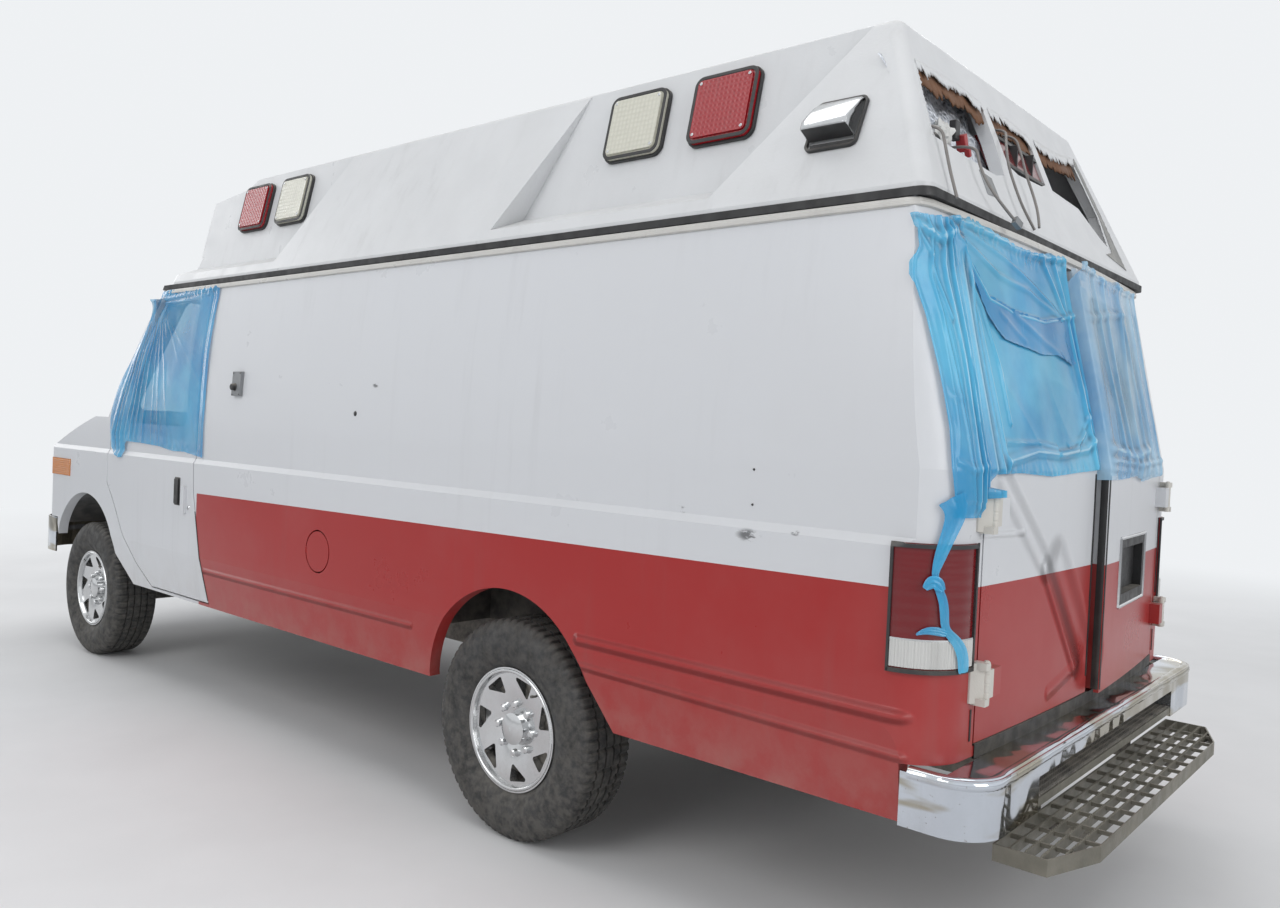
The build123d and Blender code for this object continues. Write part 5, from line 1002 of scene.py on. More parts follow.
FILM = film_material("blue film", (0.022, 0.330, 0.640, 1), (0.110, 0.530, 0.800, 1), 0.82)
DOUBLE_FILM = film_material("doubled film", (0.002, 0.180, 0.430, 1), (0.008, 0.270, 0.560, 1), 0.92)
CAB_FILM = film_material("cab film", (0.014, 0.270, 0.600, 1), (0.060, 0.430, 0.740, 1), 0.66)
PALE_FILM = film_material("pale film", (0.16, 0.42, 0.70, 1), (0.42, 0.66, 0.84, 1), 0.66)

# %% Sheet builder
FILM_CLEARANCE = 0.004
FOLD_HEIGHT_SHARE = 0.62
SHARP_FOLD = 0.013
CREST_HEIGHT = 0.0028
SLACK_HEIGHT = 0.0050
GATHER_HEIGHT = 0.012
HELD_EDGE, FREE_EDGE = 0.09, 0.93


def sheet_relief(x, y, v, folds, creases, fan):
    """How far a point of the film stands off its base, and its mark of painted light: above 0 for painted
    highlights on folds and crests, below 0 for painted shade beside folds.
    """
    lift, mark = FILM_CLEARANCE, 0.0
    for line, width, height in folds:
        near = line_distance((x, y), line) / width
        lift += FOLD_HEIGHT_SHARE * height * math.exp(-(near / 1.5) ** 2)
        # The mark is painted light: a painted highlight along each fold and painted shade just beside it.
        fold_highlight = 0.9 * math.exp(-(near / 0.55) ** 2)
        fold_shade = 0.38 * math.exp(-(near - 2.2) ** 2)
        mark += min(1.0, height / SHARP_FOLD) * (fold_highlight - fold_shade)
    if fan:
        around, away = math.atan2(y - fan[1], x - fan[0]), math.hypot(x - fan[0], y - fan[1])
        ridge = 1 - abs(2 * rough(around * 4.2, away * 1.1, 3.0))
    else:
        ridge = 1 - abs(2 * rough(x * creases[0], y * creases[1], 3.0))
    crest = max(0.0, ridge) ** 6 * max(0.0, 0.4 + rough(x * 4, y * 3, 6.0))
    lift += CREST_HEIGHT * crest
    lift += SLACK_HEIGHT * (0.5 + rough(x * 7, y * 3, 8.0))
    gathered = max(0.0, 1 - v / HELD_EDGE) + 0.6 * max(0.0, (v - FREE_EDGE) / 0.07)
    lift += GATHER_HEIGHT * gathered * abs(rough(x * 34, y * 16, 5.0))
    return lift, mark + 0.45 * crest


def film_sheet(name, node, body, material, columns, rows, at, folds, creases=None, fan=None, **declared):
    """A sheet of film: at(u, v) gives the flat place, the point and the outward way, and folds lift it.

    Fine creases run on a grid of (across, up) repeats per metre, or fan out of a flat point.
    """
    points, fold_light_marks = [], []
    for row in range(rows + 1):
        for column in range(columns + 1):
            v = row / rows
            (x, y), base, outward = at(column / columns, v)
            lift, mark = sheet_relief(x, y, v, folds, creases, fan)
            points.append(base + outward * lift)
            fold_light_marks.append(mark)
    sheet = mesh_piece(name, points, grid_faces(rows, columns), body, material, smooth=60)
    # The marks go on the points as the fold attribute, which the film material paints as highlights on folds
    # and shade beside them.
    layer = sheet.data.attributes.new("fold", "FLOAT", "POINT")
    if len(sheet.data.vertices) == len(fold_light_marks):
        layer.data.foreach_set("value", fold_light_marks)
    if node:
        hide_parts(node)
    return sheet


def polyline_height(line, along):
    """The second value of a polyline at its first value, for lines given in rising order."""
    for (a, p), (b, q) in zip(line, line[1:]):
        if along <= b:
            return p + (q - p) * max(0.0, (along - a) / (b - a))
    return line[-1][1]


# %% Film over the cab window
SIDE_X = [(0.9, 1.005), (1.140, 1.005), (1.162, 0.992), (1.320, 0.992), (1.5, 0.9865), (1.675, 0.974),
          (1.85, 0.953), (2.0, 0.930), (2.1, 0.915)]
CAB_TOP = [(-1.545, 1.990), (-1.40, 1.996), (-1.20, 1.992), (-0.938, 1.986)]
CAB_FOOT = [(-1.990, 1.215), (-1.930, 1.150), (-1.860, 1.120), (-1.815, 1.128), (-1.780, 1.213),
            (-1.600, 1.210), (-1.405, 1.203), (-1.260, 1.186), (-1.130, 1.188), (-0.944, 1.168)]
CAB_OUTWARD = Vector((0.985, 0.0, 0.17))
CAB_CORNER = (-1.52, 1.93)


def cab_at(u, v):
    """The cab window's film: its front edge bulges forward below the middle."""
    y, z = between_lines(CAB_TOP, CAB_FOOT, u, v)
    y -= 0.105 * math.sin(math.pi * v ** 2.1) * (1 - u) ** 2.5
    return (y, z), Vector((polyline_height(SIDE_X, z), y, z)), CAB_OUTWARD


cab_folds = []
for foot_y, width, height in (
    (-1.965, 0.012, 0.017), (-1.915, 0.007, 0.014), (-1.86, 0.009, 0.019), (-1.80, 0.006, 0.011),
    (-1.745, 0.008, 0.013), (-1.68, 0.005, 0.009), (-1.60, 0.006, 0.010), (-1.50, 0.004, 0.005),
    (-1.42, 0.005, 0.006), (-1.31, 0.004, 0.004),
):
    sag = 0.05 * (foot_y + 1.52)
    line = [CAB_CORNER, ((CAB_CORNER[0] + foot_y) / 2 + sag, 1.62), (foot_y, 1.25), (foot_y + 0.02, 1.12)]
    cab_folds.append((line, width, height))
cab_folds += [
    ([(-1.53, 1.945), (-1.30, 1.958), (-0.99, 1.972)], 0.006, 0.010),
    ([(-1.52, 1.925), (-1.25, 1.932), (-1.0, 1.955)], 0.004, 0.007),
    ([(-0.998, 1.96), (-1.005, 1.6), (-1.0, 1.2)], 0.006, -0.006),
    ([(-0.955, 1.97), (-0.965, 1.6), (-0.96, 1.18)], 0.005, 0.004),
]
cab_film = film_sheet(
    "film_over_cab_window", "film_cab_left", "cab_door_left", CAB_FILM, 150, 120, cab_at, cab_folds,
    fan=CAB_CORNER, flat=(1.08, 0.88), rests_on=["cab_door_left"], area=0.68,
)
print("cab film", [round(v, 3) for v in cab_film.dimensions])

# %% Film over the rear windows
REAR_LEAN = 0.215
REAR_BELT = 1.330


def lean(z):
    """How far forward the rear leans at a height."""
    return REAR_LEAN * max(0.0, z - REAR_BELT)


def rear_y(x, z):
    """How far back the rear of the body stands, from its crown and its lean."""
    return 2.765 - 0.0338 * x * x - lean(z)


BACKWARD = Vector((0.0, 0.978, 0.210))
LEFT_TOP = [(0.818, 1.965), (0.70, 1.985), (0.60, 1.978), (0.48, 1.960), (0.36, 1.950), (0.24, 1.958),
            (0.10, 1.985), (-0.003, 1.988)]
LEFT_FOOT = [(0.812, 1.290), (0.780, 1.318), (0.62, 1.322), (0.40, 1.312), (0.20, 1.322), (-0.003, 1.330)]


def left_at(u, v):
    """The left rear window's film."""
    x, z = between_lines(LEFT_TOP, LEFT_FOOT, u, v)
    return (x, z), Vector((x, rear_y(x, z), z)), BACKWARD


left_folds = [
    ([(0.800, 1.93), (0.800, 1.70), (0.790, 1.33)], 0.013, 0.026),
    ([(0.770, 1.92), (0.762, 1.66), (0.748, 1.42), (0.735, 1.32)], 0.007, 0.020),
    ([(0.790, 1.90), (0.735, 1.70), (0.715, 1.50), (0.700, 1.33)], 0.007, 0.015),
    ([(0.790, 1.89), (0.700, 1.74), (0.655, 1.60), (0.640, 1.45)], 0.005, 0.010),
    ([(0.780, 1.91), (0.656, 1.773), (0.504, 1.752), (0.293, 1.750), (0.113, 1.780), (0.02, 1.800)],
     0.006, 0.013),
    ([(0.770, 1.93), (0.560, 1.850), (0.360, 1.830), (0.130, 1.775)], 0.006, 0.008),
    ([(0.760, 1.95), (0.500, 1.905), (0.300, 1.850), (0.150, 1.790)], 0.005, 0.007),
    ([(0.240, 1.955), (0.160, 1.870), (0.100, 1.800)], 0.008, 0.014),
    ([(0.130, 1.960), (0.080, 1.850), (0.055, 1.60), (0.040, 1.34)], 0.010, 0.016),
    ([(0.018, 1.970), (0.016, 1.34)], 0.008, 0.010),
    ([(0.700, 1.350), (0.500, 1.378), (0.300, 1.372), (0.100, 1.390), (0.03, 1.42)], 0.008, 0.014),
    ([(0.690, 1.400), (0.480, 1.402), (0.340, 1.392)], 0.005, 0.009),
    ([(0.10, 1.44), (0.20, 1.385), (0.33, 1.372)], 0.005, 0.010),
    ([(0.03, 1.50), (0.13, 1.42), (0.25, 1.40)], 0.005, 0.007),
    ([(0.80, 1.965), (0.60, 1.962), (0.42, 1.945), (0.24, 1.948), (0.03, 1.975)], 0.007, 0.014),
]
film_sheet(
    "film_over_left_rear_window", "film_rear_left", "rear_door_left", FILM, 220, 170, left_at, left_folds,
    fan=(0.86, 2.02), flat=(0.84, 0.72), rests_on=["rear_door_left"], area=0.56,
)

FLAP_TOP = [(0.770, 1.900), (0.656, 1.780), (0.504, 1.759), (0.293, 1.757), (0.113, 1.785), (0.030, 1.800)]
FLAP_FOOT = [(0.745, 1.840), (0.676, 1.718), (0.602, 1.673), (0.468, 1.664), (0.350, 1.652), (0.236, 1.660),
             (0.100, 1.640), (0.030, 1.662)]


def flap_at(u, v):
    """The doubled band, which lies on the film of the left rear window."""
    x, z = between_lines(FLAP_TOP, FLAP_FOOT, u, v)
    return (x, z), Vector((x, rear_y(x, z), z)) + BACKWARD * (0.004 + 0.002 * (1 - v)), BACKWARD


flap_folds = [
    ([(0.504, 1.75), (0.35, 1.70), (0.20, 1.66)], 0.006, 0.006),
    ([(0.60, 1.74), (0.45, 1.68)], 0.005, 0.004),
]
film_sheet(
    "film_doubled_band", None, "rear_door_left", DOUBLE_FILM, 90, 16, flap_at, flap_folds, (9.0, 8.0),
    flat=(0.80, 0.13), rests_on=["film_over_left_rear_window"], area=0.078,
)

RIGHT_TOP = [(-0.012, 1.972), (-0.12, 1.970), (-0.30, 1.956), (-0.46, 1.970), (-0.62, 1.960), (-0.782, 1.972)]
RIGHT_FOOT = [(-0.012, 1.300), (-0.15, 1.302), (-0.33, 1.310), (-0.42, 1.290), (-0.60, 1.300),
              (-0.785, 1.306)]
RIGHT_WALL = ("film_rear_right", "rear_door_right")
WRAP_SHARE, WRAP_TOP_Z = 0.07, 1.945
WRAP_OUTWARD = Vector((0.6, 0.75, 0.16)).normalized()
REAR_INSIDE_Y = 2.3


def right_at(u, v):
    """The right rear window's film, wrapped round the door's free edge below the door's top."""
    x, z = between_lines(RIGHT_TOP, RIGHT_FOOT, u, v)
    below_top = min(1.0, max(0.0, (WRAP_TOP_Z - z) / 0.04))
    wrapped = max(0.0, WRAP_SHARE - u) / WRAP_SHARE * below_top
    x = x if wrapped == 0 else -0.014 + 0.016 * wrapped ** 0.5
    base, _ = met_behind(RIGHT_WALL, min(x, -0.016), z)
    if base is None or base.y < REAR_INSIDE_Y:
        base = Vector((x, rear_y(x, z) + 0.008 + 0.035 * (1 + x / 0.785), z))
    if wrapped:
        return (x, z), base + Vector((x + 0.014, -0.040 * wrapped, 0)), WRAP_OUTWARD
    return (x, z), base, BACKWARD


right_folds = [
    ([(-0.03, 1.98), (-0.05, 1.60), (-0.05, 1.31)], 0.010, 0.016),
    ([(-0.14, 1.97), (-0.16, 1.60), (-0.20, 1.31)], 0.008, 0.013),
    ([(-0.26, 1.96), (-0.24, 1.60), (-0.30, 1.32)], 0.012, 0.014),
    ([(-0.46, 1.97), (-0.40, 1.60), (-0.38, 1.31)], 0.010, 0.018),
    ([(-0.47, 1.96), (-0.52, 1.60), (-0.50, 1.31)], 0.009, 0.012),
    ([(-0.64, 1.96), (-0.62, 1.60), (-0.66, 1.31)], 0.012, 0.015),
    ([(-0.75, 1.96), (-0.74, 1.60), (-0.73, 1.31)], 0.008, 0.016),
    ([(-0.05, 1.80), (-0.30, 1.84), (-0.50, 1.86)], 0.007, 0.010),
    ([(-0.04, 1.40), (-0.30, 1.37), (-0.60, 1.40)], 0.010, 0.014),
    ([(-0.04, 1.36), (-0.40, 1.345), (-0.74, 1.36)], 0.006, 0.010),
    ([(-0.02, 1.965), (-0.3, 1.945), (-0.6, 1.955), (-0.77, 1.975)], 0.007, 0.012),
]
film_sheet(
    "film_over_right_rear_window", "film_rear_right", "rear_door_right", PALE_FILM, 150, 120, right_at,
    right_folds, (11.0, 2.5), flat=(0.80, 0.72), rests_on=["rear_door_right"], area=0.55,
)

# %% Film round the rear corner
CORNER_EDGE_SEEN = ((918, 246), (909, 262), (909, 276), (924, 315), (937, 372), (947, 428), (950, 469),
                    (953, 506))
CORNER_WALL = ("film_rear_corner", "rear_frame")
CORNER_MIDDLE = (0.850, 2.560)
CORNER_TOP_Z = 1.955
CORNER_FOOT_Z = 1.215
CORNER_LAST = math.radians(104)


def round_corner(angle, z):
    """The corner's surface at an angle about a leaning line up through it, counted from the side."""
    way = Vector((math.cos(angle), math.sin(angle), 0))
    middle = Vector((CORNER_MIDDLE[0], CORNER_MIDDLE[1] - lean(z), z))
    return met(CORNER_WALL, middle + way * 0.5, -way)


def corner_angle(spot):
    """The angle of a point of the corner about that line."""
    return math.atan2(spot.y - CORNER_MIDDLE[1] + lean(spot.z), spot.x - CORNER_MIDDLE[0])


edge_spots = [seen_at(pixel, CORNER_WALL + ("left_side_panel",))[0] for pixel in CORNER_EDGE_SEEN]
edge_spots = sorted((-spot.z, corner_angle(spot)) for spot in edge_spots if spot is not None)
print("corner film's edge", [(round(-z, 3), round(math.degrees(a))) for z, a in edge_spots])


def corner_at(u, v):
    """The corner's film, from the edge seen in the photograph round to the back."""
    z = CORNER_TOP_Z + (CORNER_FOOT_Z - CORNER_TOP_Z) * v
    first = polyline_height(edge_spots, -z)
    angle = first + (CORNER_LAST - first) * u
    base, faces = round_corner(angle, z)
    faces = (faces + Vector((math.cos(angle), math.sin(angle), 0.1))).normalized()
    return (u * 0.26, z), base, faces


corner_folds = [
    ([(0.006, 1.93), (0.006, 1.24)], 0.007, 0.005),
    ([(0.07, 1.95), (0.09, 1.60), (0.12, 1.24)], 0.006, 0.006),
    ([(0.13, 1.95), (0.16, 1.60), (0.15, 1.24)], 0.009, 0.016),
    ([(0.18, 1.95), (0.20, 1.60), (0.19, 1.24)], 0.007, 0.020),
    ([(0.235, 1.95), (0.245, 1.60), (0.235, 1.24)], 0.007, 0.016),
    ([(0.02, 1.925), (0.12, 1.90), (0.25, 1.93)], 0.010, 0.014),
    ([(0.01, 1.905), (0.08, 1.85), (0.13, 1.70)], 0.005, 0.008),
    ([(0.03, 1.52), (0.08, 1.50), (0.12, 1.515)], 0.004, 0.004),
    ([(0.03, 1.35), (0.12, 1.33), (0.24, 1.345)], 0.005, 0.006),
]
film_sheet(
    "film_round_rear_corner", "film_rear_corner", "body", FILM, 90, 130, corner_at, corner_folds, (16.0, 2.0),
    flat=(0.27, 0.76), rests_on=["rear_frame"],
)

# %% Twisted tail of the corner film
TAIL_WALL = ("tail_lamps", "rear_frame", "rear_door_left")
TAIL_ROUTE = (
    ((950, 497), 0.085, 0.0), ((955, 510), 0.070, 0.3), ((950, 526), 0.045, 0.9), ((943, 545), 0.036, 1.3),
    ((937, 563), 0.026, 1.8), ((933, 576), 0.014, 2.4), ((937, 587), 0.020, 3.3), ((942, 600), 0.024, 3.6),
    ((943, 615), 0.024, 3.8), ((943, 629), 0.022, 4.3), ((950, 636), 0.024, 4.9), ((957, 645), 0.034, 5.2),
    ((960, 658), 0.042, 5.6), ((960, 672), 0.040, 5.9),
)


def tail_strip(name, route, lift, sides=7, **declared):
    """A narrow gathered strip of film along points of the picture, lying on the body."""
    met_spots = [(*seen_at(pixel, TAIL_WALL), width, twist) for pixel, width, twist in route]
    strip_spots = [entry for entry in met_spots if entry[0] is not None]
    centres = [entry[0] for entry in strip_spots]
    points = []
    for index, (spot, outward, width, twist) in enumerate(strip_spots):
        before, after = neighbours(centres, index)
        across = outward.cross((after - before).normalized()).normalized()
        for side in range(sides):
            share = side / (sides - 1) - 0.5
            ripple = 0.12 * width * math.sin(side * 2.1 + twist * 2)
            points.append(spot + across * share * width + outward * (lift + abs(ripple) + 0.003 * (side % 2)))
    strip = mesh_piece(name, points, grid_faces(len(centres) - 1, sides - 1), "body", FILM, smooth=60)
    modifier = strip.modifiers.new("soft", "SUBSURF")
    modifier.levels = modifier.render_levels = 2


tail_strip("film_tail", TAIL_ROUTE, 0.006, flat=(0.09, 0.62), held="hung", area=0.022)
knot_route = (
    ((924, 588), 0.016, 0), ((930, 580), 0.036, 1.2), ((936, 582), 0.040, 2.2), ((941, 590), 0.014, 3),
)
tail_strip("film_knot", knot_route, 0.012, flat=(0.04, 0.05), held="gathered", area=0.0016)
flap_route = (
    ((916, 634), 0.006, 0), ((924, 630), 0.016, 1), ((934, 630), 0.022, 2), ((944, 633), 0.018, 3),
)
tail_strip("film_tail_flap", flap_route, 0.008, flat=(0.025, 0.12), held="hung", area=0.0014)

# %% [markdown]
# ## The torn rear of the roof
# Lamps were ripped out of the rear of the roof. The shell is glass fibre over a thin brown board, so the torn
# edge shows both: a ragged white rim, a strip of splintered board behind it, and silver insulation further
# in. The solid has the openings with plain edges. The rims are strips whose lower edge is jagged by seeded
# noise, which costs little and lets each tear be as rough as the photograph shows.

# %% The rear slope and ragged strips on it
REAR_BASE_Y = 2.612
REAR_RUN = 0.221 / 0.525
SLOPE_OUT = Vector((0.0, 0.9217, 0.3880))


def on_slope(x, z, depth=0.0):
    """A point on the roof's rear slope, or a depth inside it."""
    return Vector((x, REAR_BASE_Y - (z - ROOF_FLANGE_Z) * REAR_RUN, z)) - SLOPE_OUT * depth


def ragged_strip(name, line, fall, jag, depth, material, teeth, thick, seed):
    """A strip along a line of the slope whose lower edge is torn."""
    points, faces = [], []
    count = teeth * 2
    for step in range(count + 1):
        x, z = along_line(line, step / count)
        tooth = 0.35 * (step % 2) + rough(x * 14, seed, 0) * 0.9 + rough(x * 52, seed, 4) * 0.8
        low = max(0.0015, fall + jag * tooth)
        bend = 0.004 * rough(x * 60, seed, 9)
        points += [on_slope(x, z + 0.003, depth), on_slope(x, z - low * 0.5, depth - bend * 0.5),
                   on_slope(x, z - low, depth - bend)]
    for first in range(0, count * 3, 3):
        faces += [(first, first + 3, first + 4, first + 1), (first + 1, first + 4, first + 5, first + 2)]
    strip = mesh_piece(name, points, faces, "body", material, smooth=30)
    give_wall(strip, thick)
    return strip


TEARS = {
    "first": [(0.712, 2.425), (0.560, 2.433), (0.420, 2.440), (0.262, 2.428)],
    "second": [(0.215, 2.425), (0.060, 2.436), (-0.120, 2.420)],
    "third": [(-0.175, 2.422), (-0.400, 2.430), (-0.600, 2.460)],
}
for index, (label, line) in enumerate(TEARS.items()):
    rim = ragged_strip("torn_rim_" + label, line, 0.021, 0.030, -0.0026, ROOF, 60, 0.0026, 2.0 + index)
    board_line = [(x, z + 0.010) for x, z in line]
    ragged_strip("torn_board_" + label, board_line, 0.068, 0.024, 0.009, WOOD, 46, 0.004, 7.0 + index)
SIDE_TEARS = {
    "left": (-1, [(0.785, 2.190), (0.758, 2.285), (0.738, 2.350), (0.716, 2.415)]),
    "right": (1, [(-0.640, 2.125), (-0.668, 2.245), (-0.635, 2.360), (-0.606, 2.450)]),
}
SIDE_STEPS = 60
for label, (side, line) in SIDE_TEARS.items():
    points = []
    for step in range(SIDE_STEPS + 1):
        x, z = along_line(line, step / SIDE_STEPS)
        bite = 0.008 + 0.016 * abs(rough(z * 60, side, 2)) + 0.003 * (step % 2)
        points += [on_slope(x - side * 0.002, z, -0.001), on_slope(x + side * bite, z, 0.001)]
    faces = [(2 * s, 2 * s + 2, 2 * s + 3, 2 * s + 1) for s in range(SIDE_STEPS)]
    edge = mesh_piece("torn_side_" + label, points, faces, "body", ROOF)
    give_wall(edge, 0.0025)
print("tears", list(TEARS))


# %% Silver insulation behind the openings
def foil_material():
    """Crumpled silver foil, its crumple cells painted dark and bright as shade and glints."""
    material, tree, shader = new_material("silver foil")
    cells = join(tree, "ShaderNodeTexVoronoi", {"Vector": place(tree), "Scale": 75.0}, feature="F1")
    crumple_and_glint = cells.outputs["Distance"]
    # Painted light: the dark middles of the cells are painted shade and their bright edges painted glints.
    # The same cells also give roughness and bump.
    tone = blend_colour(tree, span(tree, crumple_and_glint, 0.1, 0.7), (0.34, 0.37, 0.42, 1), (0.74, 0.77, 0.82, 1))
    set_inputs(tree, shader, {
        "Base Color": tone, "Roughness": span(tree, crumple_and_glint, 0.0, 0.6, 0.25, 0.45), "Metallic": 0.45,
    })
    bump(tree, shader, crumple_and_glint, 0.9, 0.009)
    return material


FOIL = foil_material()
FOIL_STEPS = 44
FOIL_SHEETS = {
    "foil_left": ((0.775, 0.545), (2.190, 2.470), 0.040),
    "foil_middle": ((0.560, 0.250), (2.180, 2.470), 0.046),
    "foil_second": ((0.215, -0.150), (2.235, 2.470), 0.066),
}
for name, ((x_first, x_last), (z_low, z_high), depth) in FOIL_SHEETS.items():
    points = []
    for row in range(FOIL_STEPS + 1):
        up_share = row / FOIL_STEPS
        for column in range(FOIL_STEPS + 1):
            x = x_first + (x_last - x_first) * column / FOIL_STEPS
            z = z_low + (z_high - z_low) * row / FOIL_STEPS
            crease = 0.010 * rough(x * 22, z * 22, depth * 90)
            crease += 0.012 * abs(rough(x * 9, z * 11, depth * 40))
            shrink = 0.012 * rough(x * 30, z * 30, 5.0)
            points.append(on_slope(x + shrink, z + shrink, depth + crease + 0.02 * up_share ** 2))
    sheet = mesh_piece(name, points, grid_faces(FOIL_STEPS, FOIL_STEPS), "body", FOIL, smooth=35)

# %% Bare patch at the right end and a cut-out in the lower panel
PATCH_ROWS = 40
PATCH_EDGES = (
    ([(-0.612, 2.440), (-0.668, 2.250), (-0.648, 2.110), (-0.560, 2.090)], 0.004),
    ([(-0.640, 2.470), (-0.705, 2.260), (-0.740, 2.120), (-0.755, 2.060)], 0.012),
)
points = []
for row in range(PATCH_ROWS + 1):
    for line, jag in PATCH_EDGES:
        x, z = along_line(line, row / PATCH_ROWS)
        points.append(on_slope(x + jag * rough(z * 90, jag, 1), z, -0.0022))
bare = mesh_piece("bare_primer_patch", points, grid_faces(PATCH_ROWS, 1), "body", GREY_PRIMER)
give_wall(bare, 0.0016)
cut = Parts()
corners = [(0.520, 2.085), (0.432, 2.090), (0.436, 2.150), (0.516, 2.158)]
cut.block(*([on_slope(x, z, depth) for x, z in corners] for depth in (-0.0016, 0.001)))
cut.object("lower_patch", "body", GREY_PLASTIC, 0.0008)

# %% Leftovers in the first opening: a lamp socket, a connector and crumpled paper
socket = Parts()
socket_profile = [(0.0001, 0.0), (0.020, 0.002), (0.026, 0.012), (0.027, 0.040), (0.022, 0.050),
                  (0.0001, 0.052)]
socket.turned(socket_profile, on_slope(0.690, 2.235, 0.065), (0.2, 0.9, -0.3), 20)
socket.box(on_slope(0.545, 2.262, 0.04), on_slope(0.515, 2.300, 0.0))
socket.object("lamp_socket", "body", BLACK_PLASTIC, 0.002)
plug = Parts()
turn = Matrix.Rotation(math.radians(24), 3, "Y")
for middle, half in ((on_slope(0.500, 2.252, 0.022), Vector((0.011, 0.014, 0.024))),
                     (on_slope(0.494, 2.222, 0.018), Vector((0.007, 0.008, 0.012)))):
    plug.box(middle - half, middle + half, turn)
plug.object("red_connector", "body", RED_PLASTIC, 0.0025)
BALL_ROWS, BALL_STEPS = 15, 24
points = []
for row in range(BALL_ROWS):
    for step in range(BALL_STEPS):
        tilt, angle = math.pi * (row + 0.5) / BALL_ROWS, 2 * math.pi * step / BALL_STEPS
        way = Vector((math.sin(tilt) * math.cos(angle), math.sin(tilt) * math.sin(angle), math.cos(tilt)))
        size = 0.026 + 0.011 * noise.noise(way * 3.2) + 0.006 * noise.noise(way * 9)
        off_middle = Vector((way.x * size * 1.5, way.y * size, way.z * size * 1.2))
        points.append(on_slope(0.600, 2.262, 0.035) + off_middle)
mesh_piece("crumpled_wrap", points, tube_faces(BALL_ROWS, BALL_STEPS), "body", PAPER, smooth=22)

# %% Black bezel of the centre lamp
lamp_low, lamp_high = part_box("roof_brake_lamp")
lamp_middle = (lamp_low + lamp_high) / 2
face_spot, face_way = met_behind(("roof_brake_lamp",), lamp_middle.x, lamp_middle.z)
print("centre lamp face", [round(v, 3) for v in face_spot], [round(v, 2) for v in face_way])
lamp_up = face_way.cross(Vector((1, 0, 0))).normalized()
if lamp_up.z < 0:
    lamp_up = -lamp_up
half_x = (lamp_high.x - lamp_low.x) / 2
half_up = (lamp_high.z - lamp_low.z) / 2 / max(0.3, lamp_up.z) - 0.002


def on_centre_lamp(x, y, lift):
    """A point of the centre lamp's face."""
    return face_spot + Vector((x, 0, 0)) + lamp_up * y + face_way * lift


bezel = Parts()
frame_between(bezel, on_centre_lamp, (2 * half_x - 0.030, 2 * half_up - 0.024, 0.006),
              (2 * half_x + 0.006, 2 * half_up + 0.006, 0.012), -0.006, 0.006)
for x in (-0.33 * half_x, 0.33 * half_x):
    low = on_centre_lamp(x - 0.003, -half_up * 0.8, -0.002)
    bezel.box(low, on_centre_lamp(x + 0.003, half_up * 0.8, 0.003))
bezel.object("centre_lamp_bezel", "body", BLACK_PLASTIC, 0.0012)

# %% [markdown]
# ## Tail lamps
# A tail lamp of this age is one red moulding that turns round the corner, in a black gasket, with a clear
# ribbed strip for the reversing bulb. The solid is the red moulding. The gasket and the strip follow it:
# their points are cast on to the lamp from lines that fan out of the corner.

# %% Gasket and reversing strip on each tail lamp
LAMP_WALL, LAMP_BODY = ("tail_lamps",), ("rear_frame",)
tail_low, tail_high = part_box("tail_lamps")


def round_lamp(angle, z, side, names=LAMP_WALL):
    """Where a line into the corner meets the lamp."""
    way = Vector((side * math.cos(angle), math.sin(angle), 0))
    middle = Vector((side * CORNER_MIDDLE[0], CORNER_MIDDLE[1], z))
    spot, faces = met(names, middle + way * 0.5, -way)
    if spot is None or (spot - middle).dot(way) < 0.05:
        return None, None
    return spot, faces


def lamp_outside(angle, z):
    """True where the lamp is what shows at an angle and height of the corner."""
    lamp_spot = round_lamp(angle, z, 1)[0]
    body_spot = round_lamp(angle, z, 1, LAMP_BODY)[0]
    if lamp_spot is None:
        return False
    middle = Vector((*CORNER_MIDDLE, z))
    return body_spot is None or (lamp_spot - middle).length > (body_spot - middle).length + 0.001


mid_z = (tail_low.z + tail_high.z) / 2
reach = [step / 2 for step in range(-20, 280) if lamp_outside(math.radians(step / 2), mid_z)]
LAMP_FROM, LAMP_TO = math.radians(reach[0]), math.radians(reach[-1])


def lamp_ends(angle):
    """The lowest and highest point of the lamp at an angle."""
    levels = [tail_low.z + 0.002 * step for step in range(int((tail_high.z - tail_low.z) / 0.002) + 1)]
    shown = [z for z in levels if lamp_outside(angle, z)]
    return shown[0], shown[-1]


LAMP_NEAR_ENDS = lamp_ends(LAMP_FROM + 0.03)
LAMP_FAR_ENDS = lamp_ends(LAMP_TO - 0.03)
print("lamp ends", [round(z, 3) for z in LAMP_NEAR_ENDS + LAMP_FAR_ENDS], "degrees", reach[0], reach[-1])


def lamp_patch(parts, side, from_share, to_share, z_low, z_high, columns, rows, lift, ribs=0.0):
    """A grid that follows the lamp's face, with a closed rim back to the lamp.

    Heights count up from the lamp's foot, or down from its head where they are negative.
    """
    points = []
    for row in range(-1, rows + 2):
        for column in range(-1, columns + 2):
            share_u = min(columns, max(0, column)) / columns
            share_v = min(rows, max(0, row)) / rows
            across = from_share + (to_share - from_share) * share_u
            angle = LAMP_FROM + (LAMP_TO - LAMP_FROM) * across
            foot, head = (near + (far - near) * across for near, far in zip(LAMP_NEAR_ENDS, LAMP_FAR_ENDS))
            z = foot + (z_low if z_low >= 0 else head - foot + z_low)
            z += (foot + (z_high if z_high > 0 else head - foot + z_high) - z) * share_v
            spot, way = round_lamp(angle, z, side, LAMP_WALL + LAMP_BODY)
            rim = row in (-1, rows + 1) or column in (-1, columns + 1)
            out_by = -0.002 if rim else lift + ribs * (0.5 + 0.5 * math.sin(column * math.pi / 2))
            points.append(spot + way * out_by)
    parts.add(points, grid_faces(rows + 2, columns + 2))


